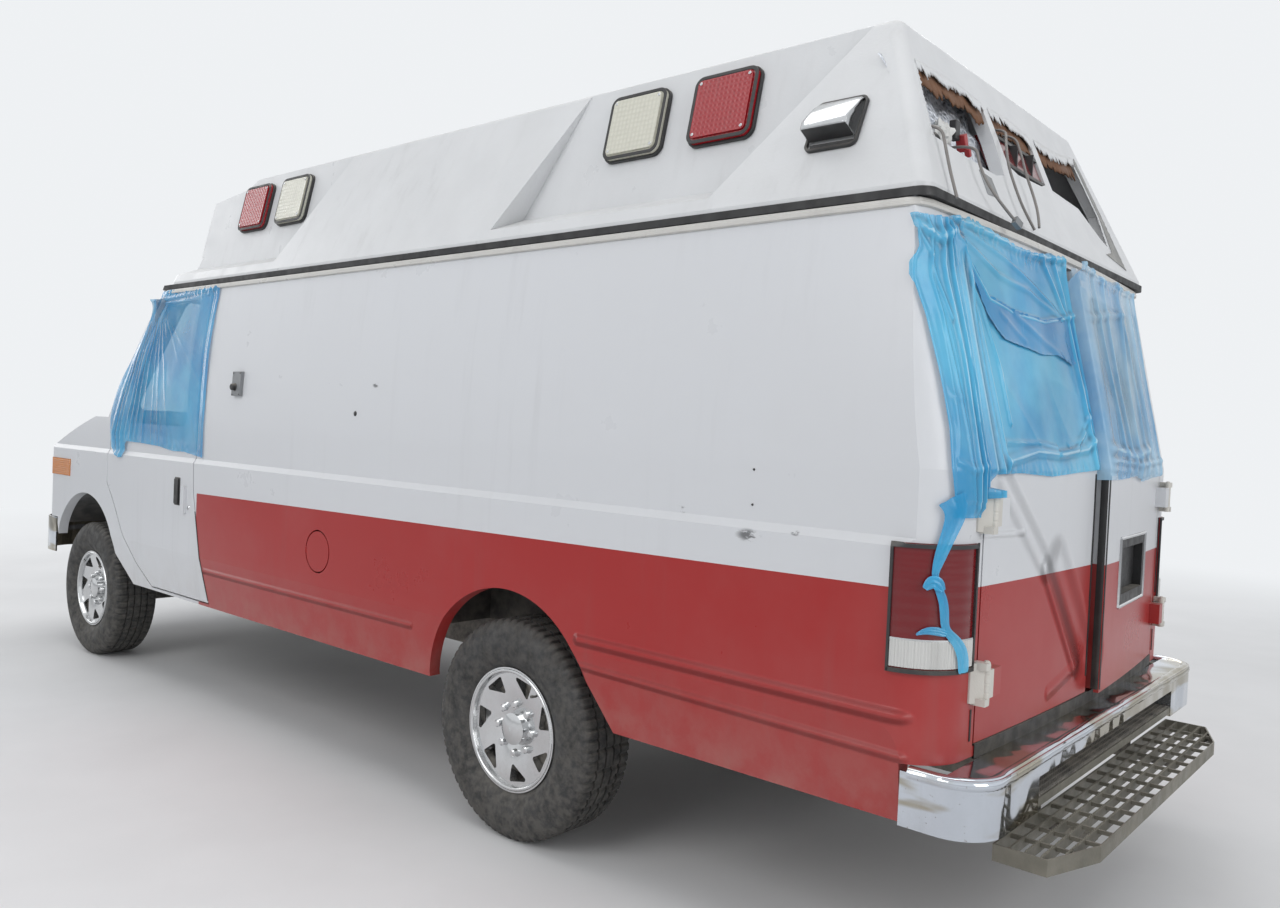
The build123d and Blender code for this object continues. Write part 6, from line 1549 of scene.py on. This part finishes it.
GASKET_SHARE = 0.035
GASKET_LIFT = 0.006
STRIP_FROM, STRIP_TO = GASKET_SHARE + 0.005, 1 - GASKET_SHARE - 0.005
STRIP_LOW, STRIP_HIGH = 0.014, 0.080
lamp_gaskets, strips, dividers = Parts(), Parts(), Parts()
for side in (1, -1):
    lamp_patch(lamp_gaskets, side, 0.005, GASKET_SHARE, 0.0, -0.0005, 3, 30, GASKET_LIFT)
    lamp_patch(lamp_gaskets, side, 1 - GASKET_SHARE, 0.995, 0.0, -0.0005, 3, 30, GASKET_LIFT)
    lamp_patch(lamp_gaskets, side, 0.01, 0.99, 0.0, 0.010, 40, 2, GASKET_LIFT)
    lamp_patch(lamp_gaskets, side, 0.01, 0.99, -0.010, -0.0005, 40, 2, GASKET_LIFT)
    lamp_patch(strips, side, STRIP_FROM, STRIP_TO, STRIP_LOW, STRIP_HIGH, 120, 8, 0.0035, 0.0016)
    lamp_patch(dividers, side, STRIP_FROM, STRIP_TO, STRIP_HIGH, STRIP_HIGH + 0.004, 60, 1, 0.0045)
lamp_gaskets.object("tail_lamp_gaskets", "body", BLACK_PLASTIC, 0.0, 50)
strips.object("reversing_strips", "body", WHITE_LENS, 0.0, 35)
dividers.object("tail_lamp_bars", "body", CHROME, 0.0, 40)

# %% [markdown]
# ## Drip rail
# Below the black seam a folded steel rail carries rain past the doors. It is a constant section swept round
# the body, so its path is found once by casting at the body, and the section is laid along it.

# %% Drip rail round the body
RAIL_WALL = ("cab_frame", "left_side_panel", "right_side_panel", "rear_frame")
RAIL_Z = 1.985
RAIL_FRONT_Y, RAIL_REAR_Y = -1.50, 2.44
RAIL_CORNER = Vector((0.845, 2.455, RAIL_Z))
RAIL_SECTION = [(-0.002, 0.012), (0.007, 0.012), (0.0085, 0.010), (0.0085, 0.004), (0.0105, 0.002),
                (0.0105, -0.006), (0.006, -0.009), (-0.002, -0.009)]
left_casts = []
for step in range(36):
    y = RAIL_FRONT_Y + (RAIL_REAR_Y - RAIL_FRONT_Y) * step / 35
    left_casts.append((Vector((1.6, y, RAIL_Z)), Vector((-1, 0, 0))))
for step in range(1, 14):
    angle = math.radians(90 * step / 14)
    way = Vector((math.cos(angle), math.sin(angle), 0))
    left_casts.append((RAIL_CORNER + way * 0.6, -way))
back_casts = [(Vector((0.845 - 1.69 * step / 30, 3.2, RAIL_Z)), Vector((0, -1, 0))) for step in range(31)]
mirror = Matrix.Diagonal((-1, 1, 1))
right_casts = [(mirror @ start, mirror @ way) for start, way in reversed(left_casts)]
points = []
rings = 0
for start, direction in left_casts + back_casts + right_casts:
    spot, way = met(RAIL_WALL, start, direction)
    if spot is not None:
        rings += 1
        level_way = Vector((way.x, way.y, 0)).normalized()
        points += [spot + level_way * out_by + Vector((0, 0, up_by)) for out_by, up_by in RAIL_SECTION]
rail = mesh_piece("drip_rail", points, tube_faces(rings, len(RAIL_SECTION)), "body", RAIL_PAINT, smooth=40)
print("drip rail points", rings)

# %% [markdown]
# ## Locks, handles and caps
# Small fittings are turned or bevelled parts sunk a little in the panel, so no gap shows behind them.

# %% Cab door handles, locks, and black strips of painted shade at the doors' rear edges
HANDLE_Y, HANDLE_Z = (-1.204, -1.148), (0.928, 1.064)
HANDLE_LEVELS = (0.930, 1.060)
LOCK_PROFILE = [(0.0001, 0.004), (0.0085, 0.0035), (0.011, 0.001), (0.0125, -0.002)]
GAP_SECTION = ((-0.014, -0.0005), (0.0012, -0.0005), (0.0016, 0.0075), (-0.014, 0.0075))
GAP_STEPS = 39


def door_rear_edge(node, side, z):
    """The place of a cab door's rear edge at a height, found by halving."""
    low, high = -0.99, -0.80
    for _ in range(14):
        middle = (low + high) / 2
        spot, _ = met_beside(node, side, middle, z)
        low, high = (middle, high) if spot is not None and abs(spot.x) > 0.9 else (low, middle)
    spot, _ = met_beside(node, side, low - 0.004, z)
    return None if spot is None else Vector((spot.x, low, z))


for side, body in ((1, "cab_door_left"), (-1, "cab_door_right")):
    node = (body,)
    lock, pull, edge_shade = Parts(), Parts(), Parts()
    spot, _ = met_beside(node, side, -1.055, 0.925)
    lock.turned(LOCK_PROFILE, spot, (side, 0, 0), 24)
    lock.box(spot + Vector((side * 0.0030, -0.0008, -0.006)), spot + Vector((side * 0.0048, 0.0008, 0.006)))
    lock.object("lock_" + body, body, CHROME, 0.0)
    low_x, high_x = (met_beside(node, side, -1.176, z)[0].x for z in HANDLE_LEVELS)
    for inset, out_low, out_high in ((0.0, -0.004, 0.003), (0.007, 0.003, 0.010)):
        (y_front, y_rear), (z_low, z_high) = HANDLE_Y, HANDLE_Z
        y_front, y_rear, z_low, z_high = y_front + inset, y_rear - inset, z_low + inset, z_high - inset
        ends = [(y_front, z_low), (y_rear, z_low), (y_rear, z_high), (y_front, z_high)]
        door_x = [low_x + (high_x - low_x) * (z - HANDLE_LEVELS[0]) / 0.130 for _, z in ends]
        pull.block(*([(x + side * out_by, y, z) for x, (y, z) in zip(door_x, ends)]
                     for out_by in (out_low, out_high)))
    pull.object("handle_" + body, body, BLACK_PLASTIC, 0.003)
    # A black strip along each cab door's rear edge is painted shade: it darkens the gap there.
    edge = [door_rear_edge(node, side, 0.50 + 0.70 * step / GAP_STEPS) for step in range(GAP_STEPS + 1)]
    edge = [spot for spot in edge if spot is not None]
    for pair in zip(edge, edge[1:]):
        edge_shade.add([spot + Vector((side * x, y, 0)) for spot in pair for x, y in GAP_SECTION], ring_faces(2, 4))
    edge_shade.object("painted_gap_shade_" + body, "body", RUBBER, 0.0, 50)

# %% Inlet knob and small plugs
knobs, rings = Parts(), Parts()
spot, _ = met_beside(("power_inlet",), 1, -0.650, 1.505)
knob_profile = [(0.0001, 0.020), (0.010, 0.020), (0.0145, 0.017), (0.0155, 0.010), (0.0150, 0.004),
                (0.018, 0.001), (0.018, -0.003)]
knobs.turned(knob_profile, spot, (1, 0, 0), 28)
for z in (1.568, 1.472):
    for y in (-0.672, -0.612):
        spot, _ = met_beside(("power_inlet",), 1, y, z)
        if spot is not None:
            knobs.turned([(0.0001, 0.0025), (0.003, 0.002), (0.004, -0.001)], spot, (1, 0, 0), 12)
knobs.object("inlet_knob", "body", BLACK_PLASTIC, 0.0008)
for y, z, radius in ((0.289, 1.407, 0.010), (2.18, 1.205, 0.0035), (2.18, 1.30, 0.0035)):
    spot, _ = met_beside(("left_side_panel",), 1, y, z)
    if spot is not None:
        plug_profile = [(0.0001, 0.003), (radius * 0.7, 0.0028), (radius, 0.001), (radius * 1.05, -0.001)]
        rings.turned(plug_profile, spot, (1, 0, 0), 20)
rings.object("side_plugs", "body", BLACK_PLASTIC, 0.0)

# %% Painted shade in the plate recess: a black lining where the opening is in shade, and its bright frame
RECESS_X, RECESS_Z = (-0.222, -0.528), (0.931, 1.080)
FRAME_X, FRAME_Z = (-0.192, -0.556), (0.898, 1.106)
TRIM_X, TRIM_Z = (-0.186, -0.562), (0.892, 1.112)
MOUTH_INSET = 0.0015


def on_right_door(x, z, lift=0.0):
    """A point over the right rear door, which stands a little open."""
    return met_behind(("rear_door_right",), x, z)[0] + Vector((0, lift, 0))


def four_corners(xs, zs):
    """The corners of a rectangle, in turn."""
    return [(xs[0], zs[0]), (xs[1], zs[0]), (xs[1], zs[1]), (xs[0], zs[1])]


shade_lining, trim = Parts(), Parts()
# The black back, border bars and walls are painted shade in the recess.
back = [on_right_door(x, z, 0.0012) for x, z in four_corners(RECESS_X, RECESS_Z)]
shade_lining.block(back, [point - Vector((0, 0.0008, 0)) for point in back])
first, second = (on_right_door(x, FRAME_Z[0]) for x in FRAME_X)
door_slope = (second.y - first.y) / (second.x - first.x)
for xs, zs in ((FRAME_X, (FRAME_Z[0], RECESS_Z[0])), (FRAME_X, (RECESS_Z[1], FRAME_Z[1])),
               ((FRAME_X[0], RECESS_X[0]), RECESS_Z), ((RECESS_X[1], FRAME_X[1]), RECESS_Z)):
    bar = [Vector((x, first.y + (x - first.x) * door_slope + 0.0022, z)) for x, z in four_corners(xs, zs)]
    shade_lining.block(bar, [point - Vector((0, 0.003, 0)) for point in bar])
mouth = four_corners((RECESS_X[0] - MOUTH_INSET, RECESS_X[1] + MOUTH_INSET),
                     (RECESS_Z[0] + MOUTH_INSET, RECESS_Z[1] - MOUTH_INSET))
floor_y = min(on_right_door(x, 1.0).y for x in (-0.30, -0.45)) - 0.004
for (x_a, z_a), (x_b, z_b) in zip(mouth, mouth[1:] + mouth[:1]):
    top_a, top_b = (first.y + (x - first.x) * door_slope + 0.001 for x in (x_a, x_b))
    wall = [(x_a, top_a, z_a), (x_b, top_b, z_b), (x_b, floor_y, z_b), (x_a, floor_y, z_a)]
    shade_lining.add(wall, [(0, 1, 2, 3)])
shade_lining.object("plate_recess_painted_shade", "rear_door_right", BLACK_PLASTIC, 0.0)
front = [on_right_door(x, z) for x, z in four_corners(TRIM_X, TRIM_Z)]
for start, end in zip(front, front[1:] + front[:1]):
    trim.rod(start, end, 0.0065, 10)
trim.object("plate_recess_frame", "rear_door_right", CHROME, 0.0, 40)

# %% Door seals that show in the gaps
SEAL_FOOT_Z, BELT_Z = 0.70, 1.318


def flat_strip(parts, spots, half_wide, out_by, in_by):
    """A flat strip of blocks along points seen from behind. Where a point is None it is left open."""
    wide = Vector((half_wide, 0, 0))
    for first, second in zip(spots, spots[1:]):
        if first is not None and second is not None:
            corners = [first - wide, first + wide, second + wide, second - wide]
            parts.block(*([corner + Vector((0, by, 0)) for corner in corners] for by in (out_by, -in_by)))


for side_name, x in (("left", 0.012), ("right", -0.014)):
    node = "rear_door_" + side_name
    seal = Parts()
    spots = []
    for step in range(60):
        z = SEAL_FOOT_Z + (BELT_Z - SEAL_FOOT_Z) * step / 59
        spot, _ = met_behind((node,), x, z)
        if spot is not None:
            spots.append(spot + Vector((0.0012 * rough(x * 30, z * 14, 2), 0, 0)))
    flat_strip(seal, spots, 0.0055, 0.0016, 0.012)
    seal.object("seal_rear_" + side_name, node, RUBBER, 0.0)

# %% Perished window seals that sag behind the film
def sagging_seal(name, body, line, radius, seed):
    """A tube of old rubber with kinks, lying on a door."""
    route = []
    steps = len(line) * 8
    for step in range(steps):
        x, z = along_line(line, step / (steps - 1))
        z += 0.010 * rough(x * 16, seed, 1) + 0.006 * rough(x * 47, seed, 6)
        route.append(Vector((x, rear_y(x, z) - 0.006, z)))
    sides = 8
    points = []
    for index, spot in enumerate(route):
        before, after = neighbours(route, index)
        side_way = (after - before).normalized().cross(BACKWARD).normalized()
        size = radius * (1 + 0.35 * rough(spot.x * 25, seed, 3))
        for angle in (2 * math.pi * step / sides for step in range(sides)):
            across = side_way * math.cos(angle) * size * 1.5
            points.append(spot + across + BACKWARD * math.sin(angle) * size * 0.7)
    seal = mesh_piece(name, points, tube_faces(len(route), sides), body, RUBBER, smooth=50)


upper_line = [(0.69, 1.405), (0.50, 1.398), (0.34, 1.372), (0.20, 1.385), (0.10, 1.395)]
sagging_seal("sagging_seal_upper", "rear_door_left", upper_line, 0.006, 1.0)
lower_line = [(0.68, 1.352), (0.52, 1.362), (0.36, 1.346)]
sagging_seal("sagging_seal_lower", "rear_door_left", lower_line, 0.007, 5.0)

# %% Hinge knuckles over the rear hinges
HINGE_X, HINGE_Y, HINGE_R = 0.812, 2.772, 0.0098
KNUCKLE_HEIGHTS = (0.030, 0.0225, 0.0225, 0.028)
PIN_PROFILE = [(0.0001, 0.0), (0.006, 0.0), (0.0075, 0.002), (0.006, 0.006), (0.0001, 0.007)]
SCREW_PROFILE = [(0.0001, 0.003), (0.004, 0.0025), (0.005, 0.0)]
for side, side_name in ((1, "left"), (-1, "right")):
    knuckles = Parts()
    for hinge_z in HINGE_Z:
        start = hinge_z - 0.052
        for height in KNUCKLE_HEIGHTS:
            profile = [(0.0001, 0.0), (HINGE_R - 0.002, 0.0), (HINGE_R, 0.002), (HINGE_R, height - 0.0025),
                       (HINGE_R - 0.002, height - 0.0005), (0.0001, height - 0.0005)]
            knuckles.turned(profile, (side * HINGE_X, HINGE_Y, start), (0, 0, 1), 24)
            start += height
        knuckles.turned(PIN_PROFILE, (side * HINGE_X, HINGE_Y, start), (0, 0, 1), 16)
        spot, _ = met_behind(("rear_frame",), side * 0.845, hinge_z)
        leaf = ((HINGE_X, HINGE_Y + HINGE_R), (0.846, spot.y + 0.0045), (0.846, spot.y - 0.002),
                (HINGE_X, HINGE_Y - 0.002))
        knuckles.block(*([(side * x, y, z) for x, y in leaf] for z in (hinge_z - 0.050, hinge_z + 0.050)))
        for screw_z in (hinge_z - 0.025, hinge_z + 0.025):
            at = (side * 0.836, spot.y + 0.006, screw_z)
            knuckles.turned(SCREW_PROFILE, at, (side * 0.35, 0.94, 0), 12)
    knuckles.object("hinge_knuckles_" + side_name, "body", HINGE_PAINT, 0.0008, 40)

# %% Black weatherstrip between the rear doors and down the hinge side
STRIP_STEPS = 63
STRIP_FOOT_Z = 0.66
WEATHERSTRIP = ((0.0095, -0.024), (0.0115, -0.012), (0.0115, -0.004), (0.006, 0.0025), (-0.002, 0.0020),
                (-0.004, -0.001), (0.004, -0.024))
strip = Parts()
levels = [STRIP_FOOT_Z + (BELT_Z - STRIP_FOOT_Z) * step / STRIP_STEPS for step in range(STRIP_STEPS + 1)]
spots = [met_behind(("rear_door_right",), -0.016, z)[0] for z in levels]
spots = [spot for spot in spots if spot is not None]
for pair in zip(spots, spots[1:]):
    points = [spot + Vector((x, y, 0)) for spot in pair for x, y in WEATHERSTRIP]
    strip.add(points, ring_faces(2, len(WEATHERSTRIP)))
strip.object("weatherstrip_between_doors", "rear_door_right", RUBBER, 0.0, 50)
for side, side_name in ((1, "left"), (-1, "right")):
    thin = Parts()
    spots = []
    for step in range(STRIP_STEPS + 1):
        z = STRIP_FOOT_Z + (1.90 - STRIP_FOOT_Z) * step / STRIP_STEPS
        clear = min(abs(z - hinge_z) for hinge_z in HINGE_Z) > 0.062
        spots.append(met_behind(("rear_frame",), side * 0.8262, z)[0] if clear else None)
    flat_strip(thin, spots, 0.0034, 0.0022, 0.006)
    thin.object("weatherstrip_hinge_" + side_name, "body", RUBBER, 0.0, 50)

# %% Rolled top edge of the rear bumper and the dark sill above it
def bumper_edge(name, inset, z, radius):
    """A rolled edge that follows the bumper round both corners."""
    half, rear, corner = 1.0 - inset, 2.858 - inset, 0.120 - inset
    path = [(half, 2.665), (half, rear - corner)]
    for step in range(1, 13):
        angle = math.radians(90 * step / 12)
        path.append((half - corner + corner * math.cos(angle), rear - corner + corner * math.sin(angle)))
    path += [(x, rear) for x in (0.6, 0.3, 0.0)]
    path += [(-x, y) for x, y in reversed(path[:-1])]
    sides = 14
    points = []
    for index, (x, y) in enumerate(path):
        before, after = neighbours(path, index)
        way = Vector((after[0] - before[0], after[1] - before[1], 0)).normalized()
        out_way = Vector((way.y, -way.x, 0))
        wave = 0.0015 * rough(x * 6, y * 6, 2)
        for angle in (2 * math.pi * step / sides for step in range(sides)):
            out_by = out_way * (math.cos(angle) * radius + wave)
            points.append(Vector((x, y, z)) + out_by + Vector((0, 0, math.sin(angle) * radius)))
    mesh_piece(name, points, tube_faces(len(path), sides), "body", BUMPER_CHROME, smooth=60)


bumper_edge("rear_bumper_rolled_top", 0.016, 0.5975, 0.0185)
SILL_STEPS, SILL_HALF = 40, 0.80
SILL_LOW_Z, SILL_HIGH_Z = 0.610, 0.6475
sill = Parts()
for step in range(SILL_STEPS):
    ends = [met_behind(("rear_frame",), -SILL_HALF + 2 * SILL_HALF * at / SILL_STEPS, 0.632)[0]
            for at in (step, step + 1)]
    if all(ends):
        corners = four_corners(ends, (SILL_LOW_Z, SILL_HIGH_Z))
        front = [Vector((end.x, end.y + 0.003, z)) for end, z in corners]
        back = [point - Vector((0, 0.006, 0)) for point in front]
        sill.add(front + back, [(0, 1, 2, 3), (4, 7, 6, 5), (0, 4, 5, 1), (3, 2, 6, 7)])
sill.object("rear_sill_rubber", "body", RUBBER, 0.0, 40)

# %% [markdown]
# ## Treads and step
# A grip tread is a pressed strip with rows of teeth. One tooth is a few faces, so hundreds of them are cheap,
# and real teeth break the light along the edge as no bump can.

# %% Toothed strips on the bumper tread and the step
TOOTH_FACES = [(0, 3, 2, 1), (0, 1, 5, 4), (2, 3, 4, 5), (0, 4, 3), (1, 2, 5)]


def add_tooth(parts, x, y, z_low, z_high, half_wide, half_deep, half_top):
    """One pointed tooth on a rectangular foot."""
    foot = [(x - half_wide, y - half_deep), (x + half_wide, y - half_deep),
            (x + half_wide, y + half_deep), (x - half_wide, y + half_deep)]
    parts.add([(*corner, z_low) for corner in foot] + [(x - half_top, y, z_high), (x + half_top, y, z_high)],
              TOOTH_FACES)


def toothed_bar(parts, half_length, y, z, width, tooth, pitch, upright):
    """A strip along the vehicle's width with a row of upright teeth at each edge."""
    parts.box((-half_length, y - width / 2, z - 0.0008), (half_length, y + width / 2, z + 0.0012))
    count = int(2 * half_length / pitch)
    for index in range(count):
        x = -half_length + (index + 0.5) * 2 * half_length / count
        for side in (-1, 1):
            add_tooth(parts, x, y + side * width / 2, z, z + upright, tooth / 2, 0.0008, tooth * 0.2)


TREAD_TOP = 0.502
STEP_TOP = 0.420
treads, teeth = Parts(), Parts()
for row in range(4):
    toothed_bar(treads, 0.640, 2.8035 + 0.0152 * row, TREAD_TOP + 0.004, 0.009, 0.008, 0.014, 0.007)
for index in range(10):
    x = -0.63 + 0.14 * index
    treads.box((x - 0.002, 2.797, TREAD_TOP), (x + 0.002, 2.855, TREAD_TOP + 0.004))
treads.object("bumper_tread_strips", "body", BLACK_STEEL, 0.0, 30)
bar_rows = []
for index in range(400):
    y = 2.812 + index * 0.0005
    spot, _ = met(("rear_step",), (0.035, y, 1.0), (0, 0, -1))
    if spot is not None and abs(spot.z - (STEP_TOP - 0.001)) < 0.0006:
        if not bar_rows or y - bar_rows[-1][-1] > 0.002:
            bar_rows.append([])
        bar_rows[-1].append(y)
bar_lines = [sum(row) / len(row) for row in bar_rows]
print("step bars at", [round(y, 3) for y in bar_lines])
for y in bar_lines:
    half_wide = 0.80 if y < 2.93 else 0.80 - (y - 2.94) / 0.065 * 0.19
    count = int(2 * half_wide / 0.013)
    for index in range(count):
        x = -half_wide + (index + 0.5) * 2 * half_wide / count
        add_tooth(teeth, x, y, STEP_TOP - 0.002, STEP_TOP + 0.0045, 0.004, 0.0022, 0.0018)
teeth.object("step_teeth", "body", STEP_STEEL, 0.0, 30)

# %% [markdown]
# ## Cab seats
# The solid's seats have flat faces and hard edges. Here they are remeshed, rounded and swollen a little, and
# sewn channels are pressed into them, so they look stuffed.

# %% Padded seats
SEAT_VOXEL = 0.015
SWELL = 0.004
CHANNEL_GAP, CHANNEL_HALF, CHANNEL_DEEP = 0.095, 0.016, 0.007
seat_solid = NODES["cab_seats"]
pads = bpy.data.objects.new("cab_seat_pads", seat_solid.data.copy())
bpy.context.scene.collection.objects.link(pads)
pads.matrix_world = seat_solid.matrix_world.copy()
remesh = pads.modifiers.new("remesh", "REMESH")
remesh.mode = "VOXEL"
remesh.voxel_size = SEAT_VOXEL
soften = pads.modifiers.new("soften", "SMOOTH")
soften.factor = 0.5
soften.iterations = 14
bpy.context.view_layer.update()
stuffed = bpy.data.meshes.new_from_object(pads.evaluated_get(bpy.context.evaluated_depsgraph_get()))
pads.modifiers.clear()
pads.data = stuffed
ways = [vertex.normal.copy() for vertex in stuffed.vertices]
for vertex, way in zip(stuffed.vertices, ways):
    across = (abs(vertex.co.x) / CHANNEL_GAP) % 1.0
    off = min(across, 1.0 - across) * CHANNEL_GAP
    channel = math.exp(-((off / CHANNEL_HALF) ** 2)) * (1.0 - abs(way.x))
    vertex.co += way * (SWELL - CHANNEL_DEEP * channel)
for polygon in stuffed.polygons:
    polygon.use_smooth = True
stuffed.materials.clear()
stuffed.materials.append(SEAT_VINYL)
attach(pads, "body")
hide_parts("cab_seats")
print("seat faces", len(stuffed.polygons), [round(v, 3) for v in pads.dimensions])

# %% [markdown]
# ## Floor and light
# The floor is plain and pale, and so is the air behind. Soft lamps from the left, the rear, above and the
# right, over an even pale sky, light white paint to just under white.

# %% Stage
FLOOR_HALF = 60.0
HAZE = (0.86, 0.88, 0.90, 1)
floor_material, tree, shader = new_material("floor")
patches = span(tree, grain(tree, 1.2), 0.3, 0.7)
pale = blend_colour(tree, patches, (0.70, 0.70, 0.70, 1), (0.74, 0.74, 0.74, 1))
set_inputs(tree, shader, {"Base Color": pale, "Roughness": 0.9})
camera_ray = tree.nodes.new("ShaderNodeLightPath").outputs["Is Camera Ray"]
far = product(tree, span(tree, vector_node(tree, "LENGTH", place(tree)), 4.5, 11.0), camera_ray)
haze = join(tree, "ShaderNodeEmission", {"Color": HAZE, "Strength": 1.0})
mixed = join(tree, "ShaderNodeMixShader", {0: far, 1: shader.outputs[0], 2: haze.outputs[0]})
tree.links.new(mixed.outputs[0], tree.nodes["Material Output"].inputs["Surface"])
floor_mesh = bpy.data.meshes.new("floor")
floor_corners = [(x * FLOOR_HALF, y * FLOOR_HALF, 0) for x, y in ((-1, -1), (1, -1), (1, 1), (-1, 1))]
floor_mesh.from_pydata(floor_corners, [], [(0, 1, 2, 3)])
floor_mesh.materials.append(floor_material)
floor = bpy.data.objects.new("floor", floor_mesh)
bpy.context.scene.collection.objects.link(floor)

# %% Lamps and sky
LAMPS = {
    "left": ((7.5, 1.0, 5.5), 5.0, 215),
    "rear": ((1.5, 9.5, 4.0), 5.0, 225),
    "top": ((0.0, 0.0, 9.5), 8.0, 250),
    "right": ((-7.5, -2.0, 5.5), 5.0, 190),
    "front": ((1.0, -9.5, 4.0), 5.0, 165),
}
AIM = Vector((0.0, 0.2, 1.2))
for name, (position, size, power) in LAMPS.items():
    data = bpy.data.lights.new(name + " lamp", "AREA")
    data.shape = "SQUARE"
    data.size = size
    data.energy = power
    lamp = bpy.data.objects.new(name + " lamp", data)
    lamp.location = position
    lamp.rotation_euler = (AIM - Vector(position)).to_track_quat("-Z", "Y").to_euler()
    bpy.context.scene.collection.objects.link(lamp)

world = bpy.data.worlds.new("sky")
bpy.context.scene.world = world
world.use_nodes = True
tree = world.node_tree
tree.nodes.clear()
seen = tree.nodes.new("ShaderNodeLightPath")
either = math_node(tree, "MAXIMUM", seen.outputs["Is Camera Ray"], seen.outputs["Is Glossy Ray"])
either = math_node(tree, "MAXIMUM", either, seen.outputs["Is Transmission Ray"])
light_sky = join(tree, "ShaderNodeBackground", {"Color": (0.92, 0.95, 1.0, 1), "Strength": 0.46})
seen_sky = join(tree, "ShaderNodeBackground", {"Color": HAZE, "Strength": 1.0})

choice = join(tree, "ShaderNodeMixShader", {0: either, 1: light_sky.outputs[0], 2: seen_sky.outputs[0]})
sky_out = tree.nodes.new("ShaderNodeOutputWorld")
tree.links.new(choice.outputs[0], sky_out.inputs["Surface"])
bpy.context.scene.view_settings.view_transform = "Standard"
